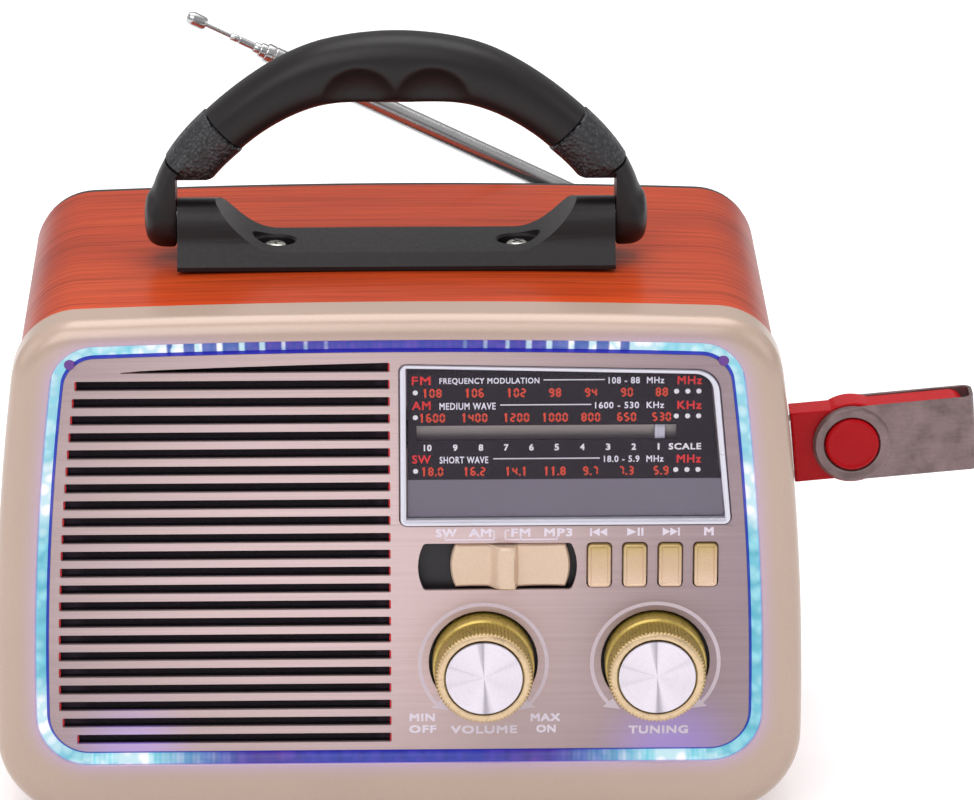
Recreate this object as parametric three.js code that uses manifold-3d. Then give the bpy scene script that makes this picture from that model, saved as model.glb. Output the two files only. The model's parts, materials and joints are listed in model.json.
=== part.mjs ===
// Tabletop radio with a swivel aerial, folding handle, lit front and a swivel memory stick in its side port.
// Millimetres, +Z up, front towards -Y. The origin is the middle of the wooden wrap's underside.
import * as THREE from 'three';
import { mergeVertices } from 'three/addons/utils/BufferGeometryUtils.js';
import Module from 'manifold-3d';

const wasm = await Module();
wasm.setup();

// ---------------------------------------------------------------- driving dimensions
const GAP = 0.3; // between neighbouring pieces
const FOOT_HEIGHT = 3;
const FOOT_RADIUS = 6.5;
const FOOT_SIDE = 29; // from the side of the housing to the middle of a foot
const FOOT_MARGIN = 3; // wood left in front of and behind the feet

// Housing
const BODY_WIDTH = 178;
const BODY_TOP_WIDTH = 168;
const BODY_HEIGHT = 117.5;
const BODY_DEPTH = 104;
const LOW_RADIUS = 19;
const HIGH_RADIUS = 15;
const SIDE_RADIUS = 600;
const CROWN_RADIUS = 1900;
const BEZEL_DEPTH = 12;
const BEZEL_EDGE = 4.8;
const BEZEL_WALL = 2.2;
const WOOD_INSET = 1;
const WOOD_WALL = 4;
const TONGUE_WALL = 1.8;
const TONGUE_DEPTH = 4;
const REAR_THICKNESS = 3;
const REAR_EDGE = 2;

// Lit groove and facing
const LIGHT_SIDE = 8.4; // housing edge to groove, at the foot of the sides
const LIGHT_TOP_SIDE = 9.6; // the same, at the top of the sides
const LIGHT_LOW = 12.8;
const LIGHT_HIGH = 6.2;
const LIGHT_LOW_RADIUS = 11;
const LIGHT_HIGH_RADIUS = 8.5;
const LIGHT_WIDTH = 2.8;
const LIGHT_RECESS = 4.4;
const LIGHT_THICKNESS = 2;
const LED_COUNT = 8; // along the top, and again along the bottom
const LED_BOARD = 1;
const PANEL_FRONT = 1;
const PANEL_THICKNESS = 2.6;
const BAFFLE_THICKNESS = 2.4;
const CLOTH_THICKNESS = 0.5;
const GROOVE_FLOOR = 8.2;

// Grille
const SLOT_PITCH = 3.93;
const SLOT_HEIGHT = 1.9;
const SLOT_BELOW = 4.6; // facing below the middle of the lowest slot
const SLOT_ABOVE = 1.7; // least facing above the middle of the highest slot
const SLOT_EDGE = 2.4; // facing left beside the slots
const SLOT_RIGHT = -1.8;
const TOP_SLOT_INDENT = 24; // from the side of the housing's top to the short top slot

// Speaker
const SPEAKER_DROP = 1.05; // below the middle of the facing
const SPEAKER_SHARE = 0.46; // the speaker's radius, as a part of the facing's half width beside it
const SPEAKER_DEPTH = 26;
const MAGNET_RADIUS = 19;
const SPEAKER_FLANGE = 5; // outside the cone
const CONE_TRAVEL = 0.5;

// Dial
const DIAL_LEFT = 0.4;
const DIAL_SIDE = 2.88; // facing left beside the dial's lower right corner
const DIAL_TOP_SIDE = 2.33; // facing left beside its upper right corner
const DIAL_ABOVE = 0.49; // facing left above its right shoulder
const DIAL_HEIGHT = 0.32 * BODY_HEIGHT;
const DIAL_CORNER = 1.5;
const DIAL_BIG_CORNER = 8;
const DIAL_RIM = 1.3;
const DIAL_PROUD = 0.7;
const WINDOW_THICKNESS = 0.8;
const PLATE_THICKNESS = 0.8;
const POINTER_SLOT_LEFT = 4;
const POINTER_SLOT_SIDE = 11.8; // from the right of the dial to the end of the pointer's slot
const POINTER_RISE = 0.5692; // height of the slot in the dial, as a part of the dial's height
const POINTER_SLOT_HEIGHT = 3.4;
const POINTER_WIDTH = 2.2;
const POINTER_INDENT = 3.6; // of the pointer at rest, from the end of its slot

// Dial cord, drum and pulleys
const CORD_DEPTH = 16.2; // behind the front of the housing
const CORD_DIAMETER = 0.8;
const DRUM_RADIUS = 16.4; // of the cord's middle line
const DRUM_WIDTH = 3.8;
const FLANGE = 1.1;
const PULLEY_RADIUS = 3;
const PULLEY_WIDTH = 2.4;
const PULLEY_LEFT_X = 1.5;
const PULLEY_SIDE = 6.4; // from the right of the dial to the right pulley's middle

// Knobs
const KNOB_RISE = 0.2325; // height of the knobs' middles, as a part of the facing's height
const VOLUME_INDENT = 18.1; // from the left of the dial
const TUNING_INDENT = 16; // from the right of the dial
const KNOB_HOLE_RADIUS = 12;
const KNOB_RADIUS = 10.8;
const KNOB_SKIRT_RADIUS = 11.2;
const KNOB_PROUD = 10;
const KNURL_COUNT = 36;
const KNURL_DEPTH = 0.45;
const KNURL_LENGTH = 5;
const CAP_RADIUS = 8.55;
const CAP_SEAT = 1.6; // how deep the cap's seat lies in the knob
const SHAFT_RADIUS = 3;
const CAPACITOR_SIDE = 20;

// Band switch and keys
const SWITCH_RISE = 0.48; // height of the switch's middle, as a part of the facing's height
const SWITCH_INDENT = 3.8; // from the left of the dial
const SWITCH_TO_KEY = 4.9; // from the slot's end to the middle of the first key
const SWITCH_HEIGHT = 11;
const SLIDER_ROOM = 1.5; // right of the slider at rest
const SLIDER_END = 0.8; // gap left of the slider at the end of its travel
const SLIDER_TRAVEL = 6.3;
const KEY_COUNT = 4;
const KEY_INDENT = 5.19; // from the right of the dial to the middle of the last key
const KEY_PITCH = 7.77;
const KEY_WIDTH = 5.2;
const KEY_HEIGHT = 10.5;
const KEY_TRAVEL = 0.8;
const KEY_BOARD_DEPTH = 12.4;
const KEY_BOARD_BELOW = 10; // under the switch's middle
const KEY_BOARD_ABOVE = 11;
const KEY_BOARD_LEFT = 3.4; // left of the switch's slot
const KEY_BOARD_SIDE = 5; // right of the last key's middle
const MAIN_BOARD_DEPTH = 32;
const BOARD_THICKNESS = 1.2;
const MAIN_BOARD_LEFT = 2;
const MAIN_BOARD_SIDE = 14; // from the side of the housing's top
const MAIN_BOARD_MARGIN = 12; // between the board and the housing's outline, above and below

// Handle
const HANDLE_DEPTH = 48.5; // middle of the handle behind the front of the housing
const HANDLE_BASE_DEPTH = 17;
const HANDLE_BASE_THICKNESS = 3.7;
const HANDLE_BLOCK_LENGTH = 8;
const HANDLE_SWEEP = 11; // height and length of the hollow curve down from each block
const PIVOT_RISE = 9.2; // above the top of the wood
const BLOCK_RADIUS = 5.6;
const BLOCK_FLARE = 0.8; // where a block meets the foot
const BLOCK_ROOM = 1; // between a block and the bow's notch round it
const KNUCKLE_RADIUS = 7;
const KNUCKLE_LENGTH = 7.53; // from the end of the base to the dome of the knuckle
const FOLD_ANGLE = 80; // how far the bow folds down to either side
const FOLD_SLACK = 2; // beyond it, before bow and base would touch
const BOW_RADIUS = 60;
const BOW_RISE = 52.5; // crown of the bow above the top of the wood
const BOW_THICKNESS = 11;
const BOW_GRIP_THICKNESS = 16;
const BOW_DEPTH = 15;
const GRIP_SPREAD = 42; // degrees to either side of the crown over which the grip thins out
const FINGER_RADIUS = 8.4; // of the hollows in the grip
const FINGER_X = 9;
const SLEEVE_RISE = 13.45; // round the outside of the bow, from its foot to a sleeve
const SLEEVE_LENGTH = 16.75;
const SLEEVE_WALL = 1.2;
const PIN_RADIUS = 2;
const PIN_LENGTH = 14;
const SCREW_INDENT = 21.5; // from the end of the base
const SCREW_RADIUS = 1.5;
const SCREW_HEAD_RADIUS = 2.6;
const SCREW_LENGTH = 12;

// Aerial
const AERIAL_SIDE = 17.5; // from the side of the housing's top
const AERIAL_BELOW = 18.5; // under the crown
const AERIAL_ANGLE = 26; // above the horizontal, pointing left
const AERIAL_STAND_OFF = 5.2;
const AERIAL_ELBOW = 7;
const TUBE_RADII = [2.3, 1.8, 1.3, 0.9, 0.5];
const TUBE_BORES = [2, 1.5, 1.05, 0.65, 0];
const TUBE_LENGTH = 100;
const TUBE_REST = [0, 1.5, 1.5, 6, 6]; // how far each section stands out of the one before it
const TUBE_TIP = 5;
const TUBE_FOOT = 5; // from the elbow to the foot of the widest section

// Side port and memory stick
const PORT_DEPTH = 28;
const PORT_BELOW = 39.5; // under the crown
const PORT_PLATE_WIDTH = 12;
const PORT_PLATE_HEIGHT = 22;
const PORT_PLATE_THICKNESS = 1.4;
const STICK_LENGTH = 41;
const STICK_HEIGHT = 17.3;
const STICK_THICKNESS = 8;
const STICK_HUB_FROM_END = 27.5;
const STICK_HUB_RADIUS = 8.4;
const COVER_THICKNESS = 0.8;
const PLUG_LENGTH = 12;
const PLUG_WIDTH = 12;
const PLUG_THICKNESS = 4.5;

// Rear
const TRAY_WIDTH = 58;
const TRAY_HEIGHT = 38;
const TRAY_DEPTH = 9;
const TRAY_LOW = 14;
const TRAY_WALL = 1.6;
const DC_SIDE = 31; // from the side of the housing
const DC_Z = 30;
const DC_RADIUS = 4;

// ---------------------------------------------------------------- materials
const finish = (color, roughness, metalness) =>
  new THREE.MeshStandardMaterial({ color, roughness, metalness });
const WOOD = finish(0xc9552c, 0.35, 0);
const CREAM = finish(0xc8b3a2, 0.5, 0);
const FACING = finish(0xc7a9a8, 0.38, 0.6);
const LIGHT = finish(0xd8f0ff, 0.3, 0);
const CLOTH = finish(0x121014, 0.95, 0);
const SILVER = finish(0xc4c4d2, 0.25, 0.8);
const DIAL_BLACK = finish(0x17121e, 0.35, 0);
const CLEAR = finish(0xdfe6ee, 0.05, 0);
const BLACK_PLASTIC = finish(0x2a2829, 0.45, 0);
const RUBBER = finish(0x1c1b1c, 0.85, 0);
const GOLD = finish(0xb99a52, 0.35, 0.7);
const CHAMPAGNE = finish(0xdcbd9c, 0.4, 0.4);
const SPUN = finish(0xe6e4ea, 0.22, 0.95);
const CHROME = finish(0xd5d8dc, 0.1, 1);
const STEEL = finish(0xa8a29e, 0.35, 0.9);
const RED = finish(0xb01218, 0.25, 0);
const BOARD = finish(0x1f6b3a, 0.5, 0);
const WHITE = finish(0xeceae6, 0.45, 0);
const FERRITE = finish(0x35302e, 0.7, 0);
const PAPER = finish(0x1d1b1c, 0.9, 0);
const BATTERY = finish(0x3b6fa8, 0.45, 0);

// ---------------------------------------------------------------- solids
const degrees = (angle) => (angle * Math.PI) / 180;
const point = (x, y) => new THREE.Vector2(x, y);

// A closed geometry as a manifold solid: shared corners merged, and triangles without area left out.
function solid(geometry) {
  const bare = geometry.clone();
  bare.deleteAttribute('normal');
  bare.deleteAttribute('uv');
  const merged = mergeVertices(bare, 1e-4);
  const corners = merged.index.array;
  const kept = [];
  for (let i = 0; i < corners.length; i += 3) {
    const [a, b, c] = [corners[i], corners[i + 1], corners[i + 2]];
    if (a !== b && b !== c && c !== a) kept.push(a, b, c);
  }
  const vertProperties = new Float32Array(merged.attributes.position.array);
  return new wasm.Manifold(new wasm.Mesh({ numProp: 3, vertProperties, triVerts: new Uint32Array(kept) }));
}

function geometryOf(body) {
  const mesh = body.getMesh();
  const geometry = new THREE.BufferGeometry();
  geometry.setAttribute('position', new THREE.BufferAttribute(mesh.vertProperties, 3));
  geometry.setIndex(new THREE.BufferAttribute(mesh.triVerts, 1));
  geometry.computeVertexNormals();
  return geometry;
}

const joined = (bodies) => bodies.reduce((all, body) => all.add(body));
const without = (body, cuts) => cuts.reduce((rest, cut) => rest.subtract(cut), body);

// Depth behind the front of the housing, as a place along Y.
const FRONT = -BODY_DEPTH / 2;
const behind = (depth) => FRONT + depth;

const extruded = (shape, depth) => new THREE.ExtrudeGeometry(shape, { depth, bevelEnabled: false });

// An outline seen from the front, as a plate between two depths.
function plate(outline, from, to, holes = []) {
  const shape = new THREE.Shape(outline);
  shape.holes = holes.map((hole) => new THREE.Path(hole));
  const geometry = extruded(shape, to - from);
  geometry.rotateX(Math.PI / 2);
  geometry.translate(0, behind(to), 0);
  return solid(geometry);
}

// An outline seen from above, between two heights.
function slab(outline, from, to) {
  const geometry = extruded(new THREE.Shape(outline), to - from);
  geometry.translate(0, 0, from);
  return solid(geometry);
}

// An outline seen from the left end, drawn as (Y, Z), between two places along X.
function bar(outline, from, to) {
  const geometry = extruded(new THREE.Shape(outline), to - from);
  const turn = new THREE.Matrix4().makeBasis(
    new THREE.Vector3(0, 1, 0),
    new THREE.Vector3(0, 0, 1),
    new THREE.Vector3(1, 0, 0),
  );
  geometry.applyMatrix4(turn);
  geometry.translate(from, 0, 0);
  return solid(geometry);
}

function box(x0, x1, y0, y1, z0, z1) {
  const geometry = new THREE.BoxGeometry(x1 - x0, y1 - y0, z1 - z0);
  geometry.translate((x0 + x1) / 2, (y0 + y1) / 2, (z0 + z1) / 2);
  return solid(geometry);
}

// A profile of (radius, distance) pairs turned round the Y axis, and then laid along X, Y or Z.
function turned(profile, segments, along = 'y') {
  const geometry = new THREE.LatheGeometry(profile.map(([radius, reach]) => point(radius, reach)), segments);
  if (along === 'x') geometry.rotateZ(-Math.PI / 2);
  if (along === 'z') geometry.rotateX(Math.PI / 2);
  return solid(geometry);
}

// The same with its distances as depths behind the front of the housing.
const turnedBehind = (profile, segments) =>
  turned(profile.map(([radius, depth]) => [radius, behind(depth)]), segments);

const rod = (radius, from, to, segments, along = 'y') =>
  turned([[0, from], [radius, from], [radius, to], [0, to]], segments, along);

// Loops with equally many corners, skinned one after the other and closed with a cap at each end. The
// first loop runs counter-clockwise as seen from outside.
function loft(loops) {
  const count = loops[0].length;
  const positions = loops.flat().flatMap((corner) => [corner.x, corner.y, corner.z]);
  const faces = [];
  for (let ring = 0; ring + 1 < loops.length; ring++) {
    for (let i = 0; i < count; i++) {
      const a = ring * count + i;
      const b = ring * count + ((i + 1) % count);
      faces.push(a, b + count, b, a, a + count, b + count);
    }
  }
  const flat = flattened(loops[0]);
  const cap = THREE.ShapeUtils.triangulateShape(flat, []);
  const last = (loops.length - 1) * count;
  for (const [a, b, c] of cap) {
    faces.push(a, b, c, last + a, last + c, last + b);
  }
  const geometry = new THREE.BufferGeometry();
  geometry.setAttribute('position', new THREE.Float32BufferAttribute(positions, 3));
  geometry.setIndex(faces);
  return solid(geometry);
}

// The corners of a flat loop in its own plane, running counter-clockwise.
function flattened(loop) {
  const middle = loop.reduce((sum, corner) => sum.add(corner), new THREE.Vector3()).divideScalar(loop.length);
  const across = loop[0].clone().sub(middle).normalize();
  const normal = new THREE.Vector3();
  for (let i = 0; i < loop.length; i++) {
    const a = loop[i].clone().sub(middle);
    normal.add(a.cross(loop[(i + 1) % loop.length].clone().sub(middle)));
  }
  const up = normal.normalize().clone().cross(across);
  return loop.map((corner) => {
    const arm = corner.clone().sub(middle);
    return point(arm.dot(across), arm.dot(up));
  });
}

// ---------------------------------------------------------------- outlines
function arc(centre, radius, from, to, steps) {
  const points = [];
  for (let i = 0; i <= steps; i++) {
    const angle = from + ((to - from) * i) / steps;
    points.push(point(centre.x + radius * Math.cos(angle), centre.y + radius * Math.sin(angle)));
  }
  return points;
}

const circle = (x, z, radius, steps) => arc(point(x, z), radius, 0, 2 * Math.PI, steps).slice(0, -1);

const rectangle = (x0, x1, z0, z1) => [point(x0, z0), point(x1, z0), point(x1, z1), point(x0, z1)];

// Straight edges joined by round corners, counter-clockwise. Each corner is [x, z, radius].
function filleted(corners, steps = 3) {
  return corners.flatMap(([x, z, radius], i) => {
    const here = point(x, z);
    const [px, pz] = corners[(i + corners.length - 1) % corners.length];
    const [nx, nz] = corners[(i + 1) % corners.length];
    const back = point(px, pz).sub(here).normalize();
    const on = point(nx, nz).sub(here).normalize();
    const half = Math.acos(THREE.MathUtils.clamp(back.dot(on), -1, 1)) / 2;
    const middle = back.clone().add(on).normalize();
    const centre = here.clone().addScaledVector(middle, radius / Math.sin(half));
    const towards = Math.atan2(-middle.y, -middle.x);
    const sweep = Math.PI / 2 - half;
    return arc(centre, radius, towards - sweep, towards + sweep, steps);
  });
}

const roundedBox = (x0, x1, z0, z1, radius, steps) =>
  filleted([[x0, z0, radius], [x1, z0, radius], [x1, z1, radius], [x0, z1, radius]], steps);

const bearing = (from, to) => Math.atan2(to.y - from.y, to.x - from.x);

// The point at two given distances from two others that lies further to the left.
function leftCentre(first, firstDistance, second, secondDistance) {
  const along = second.clone().sub(first);
  const span = along.length();
  const reach = (firstDistance ** 2 - secondDistance ** 2 + span ** 2) / (2 * span);
  along.normalize();
  const aside = Math.sqrt(firstDistance ** 2 - reach ** 2);
  return first.clone().addScaledVector(along, reach).add(point(-along.y, along.x).multiplyScalar(aside));
}

// A rounded trapezoid with slightly bowed sides and crown, as arcs that run into each other without a
// kink. The function that comes back gives the outline moved in by any distance, with as many corners.
function roundedTrapezoid({ width, topWidth, base, height, lowRadius, highRadius }) {
  const crown = point(0, base + height - CROWN_RADIUS);
  const highX = topWidth / 2 - highRadius;
  const high = point(highX, crown.y + Math.sqrt((CROWN_RADIUS - highRadius) ** 2 - highX ** 2));
  const low = point(width / 2 - lowRadius, base + lowRadius);
  const side = leftCentre(low, SIDE_RADIUS - lowRadius, high, SIDE_RADIUS - highRadius);
  const lowEnd = bearing(side, low);
  const highStart = bearing(side, high);
  const highEnd = bearing(crown, high);
  return (inset) => {
    const right = [
      ...arc(low, lowRadius - inset, -Math.PI / 2, lowEnd, 4),
      ...arc(side, SIDE_RADIUS - inset, lowEnd, highStart, 2).slice(1),
      ...arc(high, highRadius - inset, highStart, highEnd, 4).slice(1),
      ...arc(crown, CROWN_RADIUS - inset, highEnd, Math.PI / 2, 2).slice(1),
    ];
    const left = right.slice(0, -1).reverse().map(({ x, y }) => point(-x, y));
    return [...right, ...left];
  };
}

// Half the width of an outline at a height, on its left side.
function leftEdge(outline, z) {
  for (let i = 0; i < outline.length; i++) {
    const a = outline[i];
    const b = outline[(i + 1) % outline.length];
    if (a.x < 0 && b.x < 0 && (a.y - z) * (b.y - z) <= 0 && a.y !== b.y) {
      return a.x + ((b.x - a.x) * (z - a.y)) / (b.y - a.y);
    }
  }
  return 0;
}

const housing = roundedTrapezoid({
  width: BODY_WIDTH,
  topWidth: BODY_TOP_WIDTH,
  base: FOOT_HEIGHT,
  height: BODY_HEIGHT,
  lowRadius: LOW_RADIUS,
  highRadius: HIGH_RADIUS,
});

const groove = roundedTrapezoid({
  width: BODY_WIDTH - 2 * LIGHT_SIDE,
  topWidth: BODY_TOP_WIDTH - 2 * LIGHT_TOP_SIDE,
  base: FOOT_HEIGHT + LIGHT_LOW,
  height: BODY_HEIGHT - LIGHT_LOW - LIGHT_HIGH,
  lowRadius: LIGHT_LOW_RADIUS,
  highRadius: LIGHT_HIGH_RADIUS,
});

// An outline at a depth, as a loop in space.
const atDepth = (outline, depth) => outline.map(({ x, y }) => new THREE.Vector3(x, behind(depth), y));
const housingLoop = (inset, depth) => atDepth(housing(inset), depth);

// ---------------------------------------------------------------- shared places
const RIGHT = BODY_WIDTH / 2;
const TOP_RIGHT = BODY_TOP_WIDTH / 2;
const CROWN = FOOT_HEIGHT + BODY_HEIGHT;
const TOP = CROWN - WOOD_INSET; // top of the wood
const FACING_LOW = FOOT_HEIGHT + LIGHT_LOW + LIGHT_WIDTH;
const FACING_HIGH = CROWN - LIGHT_HIGH - LIGHT_WIDTH;
const FACING_HEIGHT = FACING_HIGH - FACING_LOW;
const facingEdge = (z) => -leftEdge(groove(LIGHT_WIDTH), z);
const FOOT_X = RIGHT - FOOT_SIDE;
const SLOT_LOW = FACING_LOW + SLOT_BELOW; // middle of the lowest slot
const SLOT_COUNT = Math.floor((FACING_HIGH - SLOT_ABOVE - SLOT_LOW) / SLOT_PITCH) + 1;
const TOP_SLOT_LEFT = TOP_SLOT_INDENT - TOP_RIGHT;
const SPEAKER_Z = (FACING_LOW + FACING_HIGH) / 2 - SPEAKER_DROP;
const SPEAKER_X = -facingEdge(SPEAKER_Z) / 2;
const SPEAKER_RADIUS = SPEAKER_SHARE * facingEdge(SPEAKER_Z);
const CONE_RADIUS = SPEAKER_RADIUS - SPEAKER_FLANGE;
const DIAL_SHOULDER = TOP_RIGHT - 2.6 * DIAL_BIG_CORNER - 1.2;
const DIAL_HIGH = FACING_HIGH - DIAL_SHOULDER ** 2 / (2 * CROWN_RADIUS) - DIAL_ABOVE;
const DIAL_LOW = DIAL_HIGH - DIAL_HEIGHT;
const DIAL_RIGHT = facingEdge(DIAL_LOW) - DIAL_SIDE;
const DIAL_TOP_RIGHT = facingEdge(DIAL_HIGH - DIAL_BIG_CORNER) - DIAL_TOP_SIDE;
const POINTER_SLOT_RIGHT = DIAL_RIGHT - POINTER_SLOT_SIDE;
const POINTER_Z = DIAL_LOW + POINTER_RISE * DIAL_HEIGHT;
const POINTER_REST = POINTER_SLOT_RIGHT - POINTER_INDENT;
const PULLEY_RIGHT_X = DIAL_RIGHT - PULLEY_SIDE;
const KNOB_Z = FACING_LOW + KNOB_RISE * FACING_HEIGHT;
const VOLUME_X = DIAL_LEFT + VOLUME_INDENT;
const TUNING_X = DIAL_RIGHT - TUNING_INDENT;
const SWITCH_Z = FACING_LOW + SWITCH_RISE * FACING_HEIGHT;
const KEY_FIRST_X = DIAL_RIGHT - KEY_INDENT - (KEY_COUNT - 1) * KEY_PITCH;
const SWITCH_LEFT = DIAL_LEFT + SWITCH_INDENT;
const SWITCH_RIGHT = KEY_FIRST_X - SWITCH_TO_KEY;
const SLIDER_WIDTH = SWITCH_RIGHT - SWITCH_LEFT - SLIDER_TRAVEL - SLIDER_ROOM - SLIDER_END;
const MAIN_BOARD_RIGHT = TOP_RIGHT - MAIN_BOARD_SIDE;
const AERIAL_X = TOP_RIGHT - AERIAL_SIDE;
const AERIAL_Z = CROWN - AERIAL_BELOW;
const PORT_Z = CROWN - PORT_BELOW;
const DC_X = DC_SIDE - RIGHT;
const PANEL_BACK = PANEL_FRONT + PANEL_THICKNESS;
const BAFFLE_FRONT = PANEL_BACK + GAP;
const BAFFLE_BACK = BAFFLE_FRONT + BAFFLE_THICKNESS;
const WOOD_FRONT = BEZEL_DEPTH + GAP;
const REAR_FRONT = BODY_DEPTH - REAR_THICKNESS;
const WOOD_BACK = REAR_FRONT - GAP;
const TONGUE_INSET = WOOD_INSET + WOOD_WALL + GAP;
const KEY_CENTRES = Array.from({ length: KEY_COUNT }, (_, i) => KEY_FIRST_X + i * KEY_PITCH);
const PULLEY_Z = POINTER_Z - PULLEY_RADIUS;

const dialOutline = (inset) => filleted([
  [DIAL_LEFT + inset, DIAL_LOW + inset, Math.max(DIAL_CORNER - inset, 0.2)],
  [DIAL_RIGHT - inset, DIAL_LOW + inset, Math.max(DIAL_CORNER - inset, 0.2)],
  [DIAL_TOP_RIGHT - inset, DIAL_HIGH - inset, DIAL_BIG_CORNER - inset],
  [DIAL_LEFT + inset, DIAL_HIGH - inset, Math.max(DIAL_CORNER - inset, 0.2)],
], 5);

// Posts on the back of the baffle that carry the boards.
const KEY_POSTS = [
  [SWITCH_LEFT - 1.4, SWITCH_Z + 9],
  [SWITCH_LEFT - 1.4, SWITCH_Z - 8],
  [SWITCH_RIGHT + 1.6, SWITCH_Z + 9],
  [KEY_CENTRES[KEY_COUNT - 1] + 3, SWITCH_Z + 9],
];
const MAIN_POSTS = [
  [MAIN_BOARD_LEFT + 6, FOOT_HEIGHT + MAIN_BOARD_MARGIN + 9],
  [MAIN_BOARD_LEFT + 32, FOOT_HEIGHT + MAIN_BOARD_MARGIN + 7],
  [MAIN_BOARD_LEFT + 6, CROWN - MAIN_BOARD_MARGIN - 4.5],
  [MAIN_BOARD_RIGHT - 10, CROWN - MAIN_BOARD_MARGIN - 4.5],
];
const POST_RADIUS = 2;

// ---------------------------------------------------------------- housing pieces
// Moulded front: rounded rim, groove for the light, baffle behind the facing and posts for what it carries.
function frontBezel() {
  const loops = [];
  const steps = 4;
  for (let i = 0; i <= steps; i++) {
    const turn = (Math.PI / 2) * (i / steps);
    loops.push(housingLoop(BEZEL_EDGE * (1 - Math.sin(turn)), BEZEL_EDGE * (1 - Math.cos(turn))));
  }
  loops.push(housingLoop(0, BEZEL_DEPTH - 0.6), housingLoop(0.6, BEZEL_DEPTH));
  const cut = [
    plate(groove(0), -1, BAFFLE_FRONT),
    plate(groove(0), BAFFLE_FRONT - 1, GROOVE_FLOOR, [groove(LIGHT_WIDTH)]),
    plate(groove(LIGHT_WIDTH + BEZEL_WALL), BAFFLE_BACK, BEZEL_DEPTH + 1),
    plate(housing(BEZEL_WALL), BEZEL_EDGE, BEZEL_DEPTH + 1, [housing(BEZEL_WALL + 2.4)]),
    plate(circle(SPEAKER_X, SPEAKER_Z, CONE_RADIUS + 1, 20), 0, BEZEL_DEPTH),
    plate(clothOutline(-GAP), 0, BAFFLE_FRONT + CLOTH_THICKNESS + GAP),
    plate(rectangle(...pointerSpan(3), POINTER_Z - 4.5, POINTER_Z + 4.5), 0, BEZEL_DEPTH),
    plate(rectangle(...stemSpan(1.2), SWITCH_Z - 2.4, SWITCH_Z + 2.4), 0, BEZEL_DEPTH),
    plate(keyOpening(), 0, BEZEL_DEPTH),
    plate(circle(VOLUME_X, KNOB_Z, SHAFT_RADIUS + 0.5, 16), 0, BEZEL_DEPTH),
    plate(circle(TUNING_X, KNOB_Z, SHAFT_RADIUS + 0.5, 16), 0, BEZEL_DEPTH),
  ];
  const tongue = plate(housing(TONGUE_INSET), BEZEL_DEPTH - 1, BEZEL_DEPTH + TONGUE_DEPTH, [
    housing(TONGUE_INSET + TONGUE_WALL),
  ]);
  const posts = [
    ...KEY_POSTS.map(([x, z]) => post(x, z, KEY_BOARD_DEPTH - GAP)),
    ...MAIN_POSTS.map(([x, z]) => post(x, z, MAIN_BOARD_DEPTH - GAP)),
    ...[PULLEY_LEFT_X, PULLEY_RIGHT_X].flatMap((x) => pulleyPost(x)),
  ];
  return joined([without(loft(loops), cut), tongue, ...posts]);
}

const post = (x, z, end) => plate(circle(x, z, POST_RADIUS, 8), BAFFLE_BACK - 1, end);

// Post with a shoulder for the pulley and a thinner spindle through it.
function pulleyPost(x) {
  const shoulder = CORD_DEPTH - PULLEY_WIDTH / 2 - GAP;
  return [
    post(x, PULLEY_Z, shoulder),
    plate(circle(x, PULLEY_Z, 1, 8), shoulder - 1, CORD_DEPTH + PULLEY_WIDTH / 2 + 1),
  ];
}

// Left and right ends of the space that the pointer's arm moves in.
function pointerSpan(margin) {
  return [POINTER_SLOT_LEFT - margin, POINTER_SLOT_RIGHT + margin];
}

// Left and right ends of the space that the band slider's stem moves in.
function stemSpan(margin) {
  const middle = sliderMiddle();
  return [middle - 2 - SLIDER_TRAVEL - margin, middle + 2 + margin];
}

const sliderMiddle = () => SWITCH_RIGHT - SLIDER_ROOM - SLIDER_WIDTH / 2;

function keyOpening() {
  const side = KEY_WIDTH / 2 + 1.4;
  const rise = KEY_HEIGHT / 2 + 1.4;
  return rectangle(
    KEY_CENTRES[0] - side,
    KEY_CENTRES[KEY_COUNT - 1] + side,
    SWITCH_Z - rise,
    SWITCH_Z + rise,
  );
}

// Black cloth area behind the slots.
function clothOutline(inset) {
  const edge = groove(LIGHT_WIDTH + SLOT_EDGE - 1.4 + inset);
  const left = edge.filter(({ x }) => x < SLOT_RIGHT - 3);
  const right = SLOT_RIGHT + 1.2 - inset;
  const low = edge[edge.length - 1].y;
  return [point(right, low), point(right, left[0].y), ...left];
}

// Wrap of veneered board, open at both ends, with the port's hole in its right wall.
function cabinetShell() {
  const edge = 0.8;
  const outer = loft([
    housingLoop(WOOD_INSET + edge / 2, WOOD_FRONT),
    housingLoop(WOOD_INSET, WOOD_FRONT + edge),
    housingLoop(WOOD_INSET, WOOD_BACK - edge),
    housingLoop(WOOD_INSET + edge / 2, WOOD_BACK),
  ]);
  const inner = plate(housing(WOOD_INSET + WOOD_WALL), WOOD_FRONT - 1, WOOD_BACK + 1);
  const screws = screwHoles(TOP - WOOD_WALL - 3, TOP + 1);
  return without(outer, [inner, inPort(box(-20, 20, ...portSpan(GAP), ...portRise(GAP))), ...screws]);
}

function placed(body, x, y, z) {
  return body.translate([x, y, z]);
}

// ---------------------------------------------------------------- feet
const FOOT_PLACES = [
  ['foot_front_left', -1, -1],
  ['foot_front_right', 1, -1],
  ['foot_rear_left', -1, 1],
  ['foot_rear_right', 1, 1],
];

function foot(x, y) {
  const top = FOOT_HEIGHT + WOOD_INSET - GAP;
  const profile = [[0, 0], [FOOT_RADIUS - 0.8, 0], [FOOT_RADIUS, 0.8], [FOOT_RADIUS, top], [0, top]];
  return placed(turned(profile, 20, 'z'), x, y, 0);
}

// ---------------------------------------------------------------- lit ring
function lightGuide() {
  return plate(groove(GAP), LIGHT_RECESS, LIGHT_RECESS + LIGHT_THICKNESS, [groove(LIGHT_WIDTH - GAP)]);
}

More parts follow.
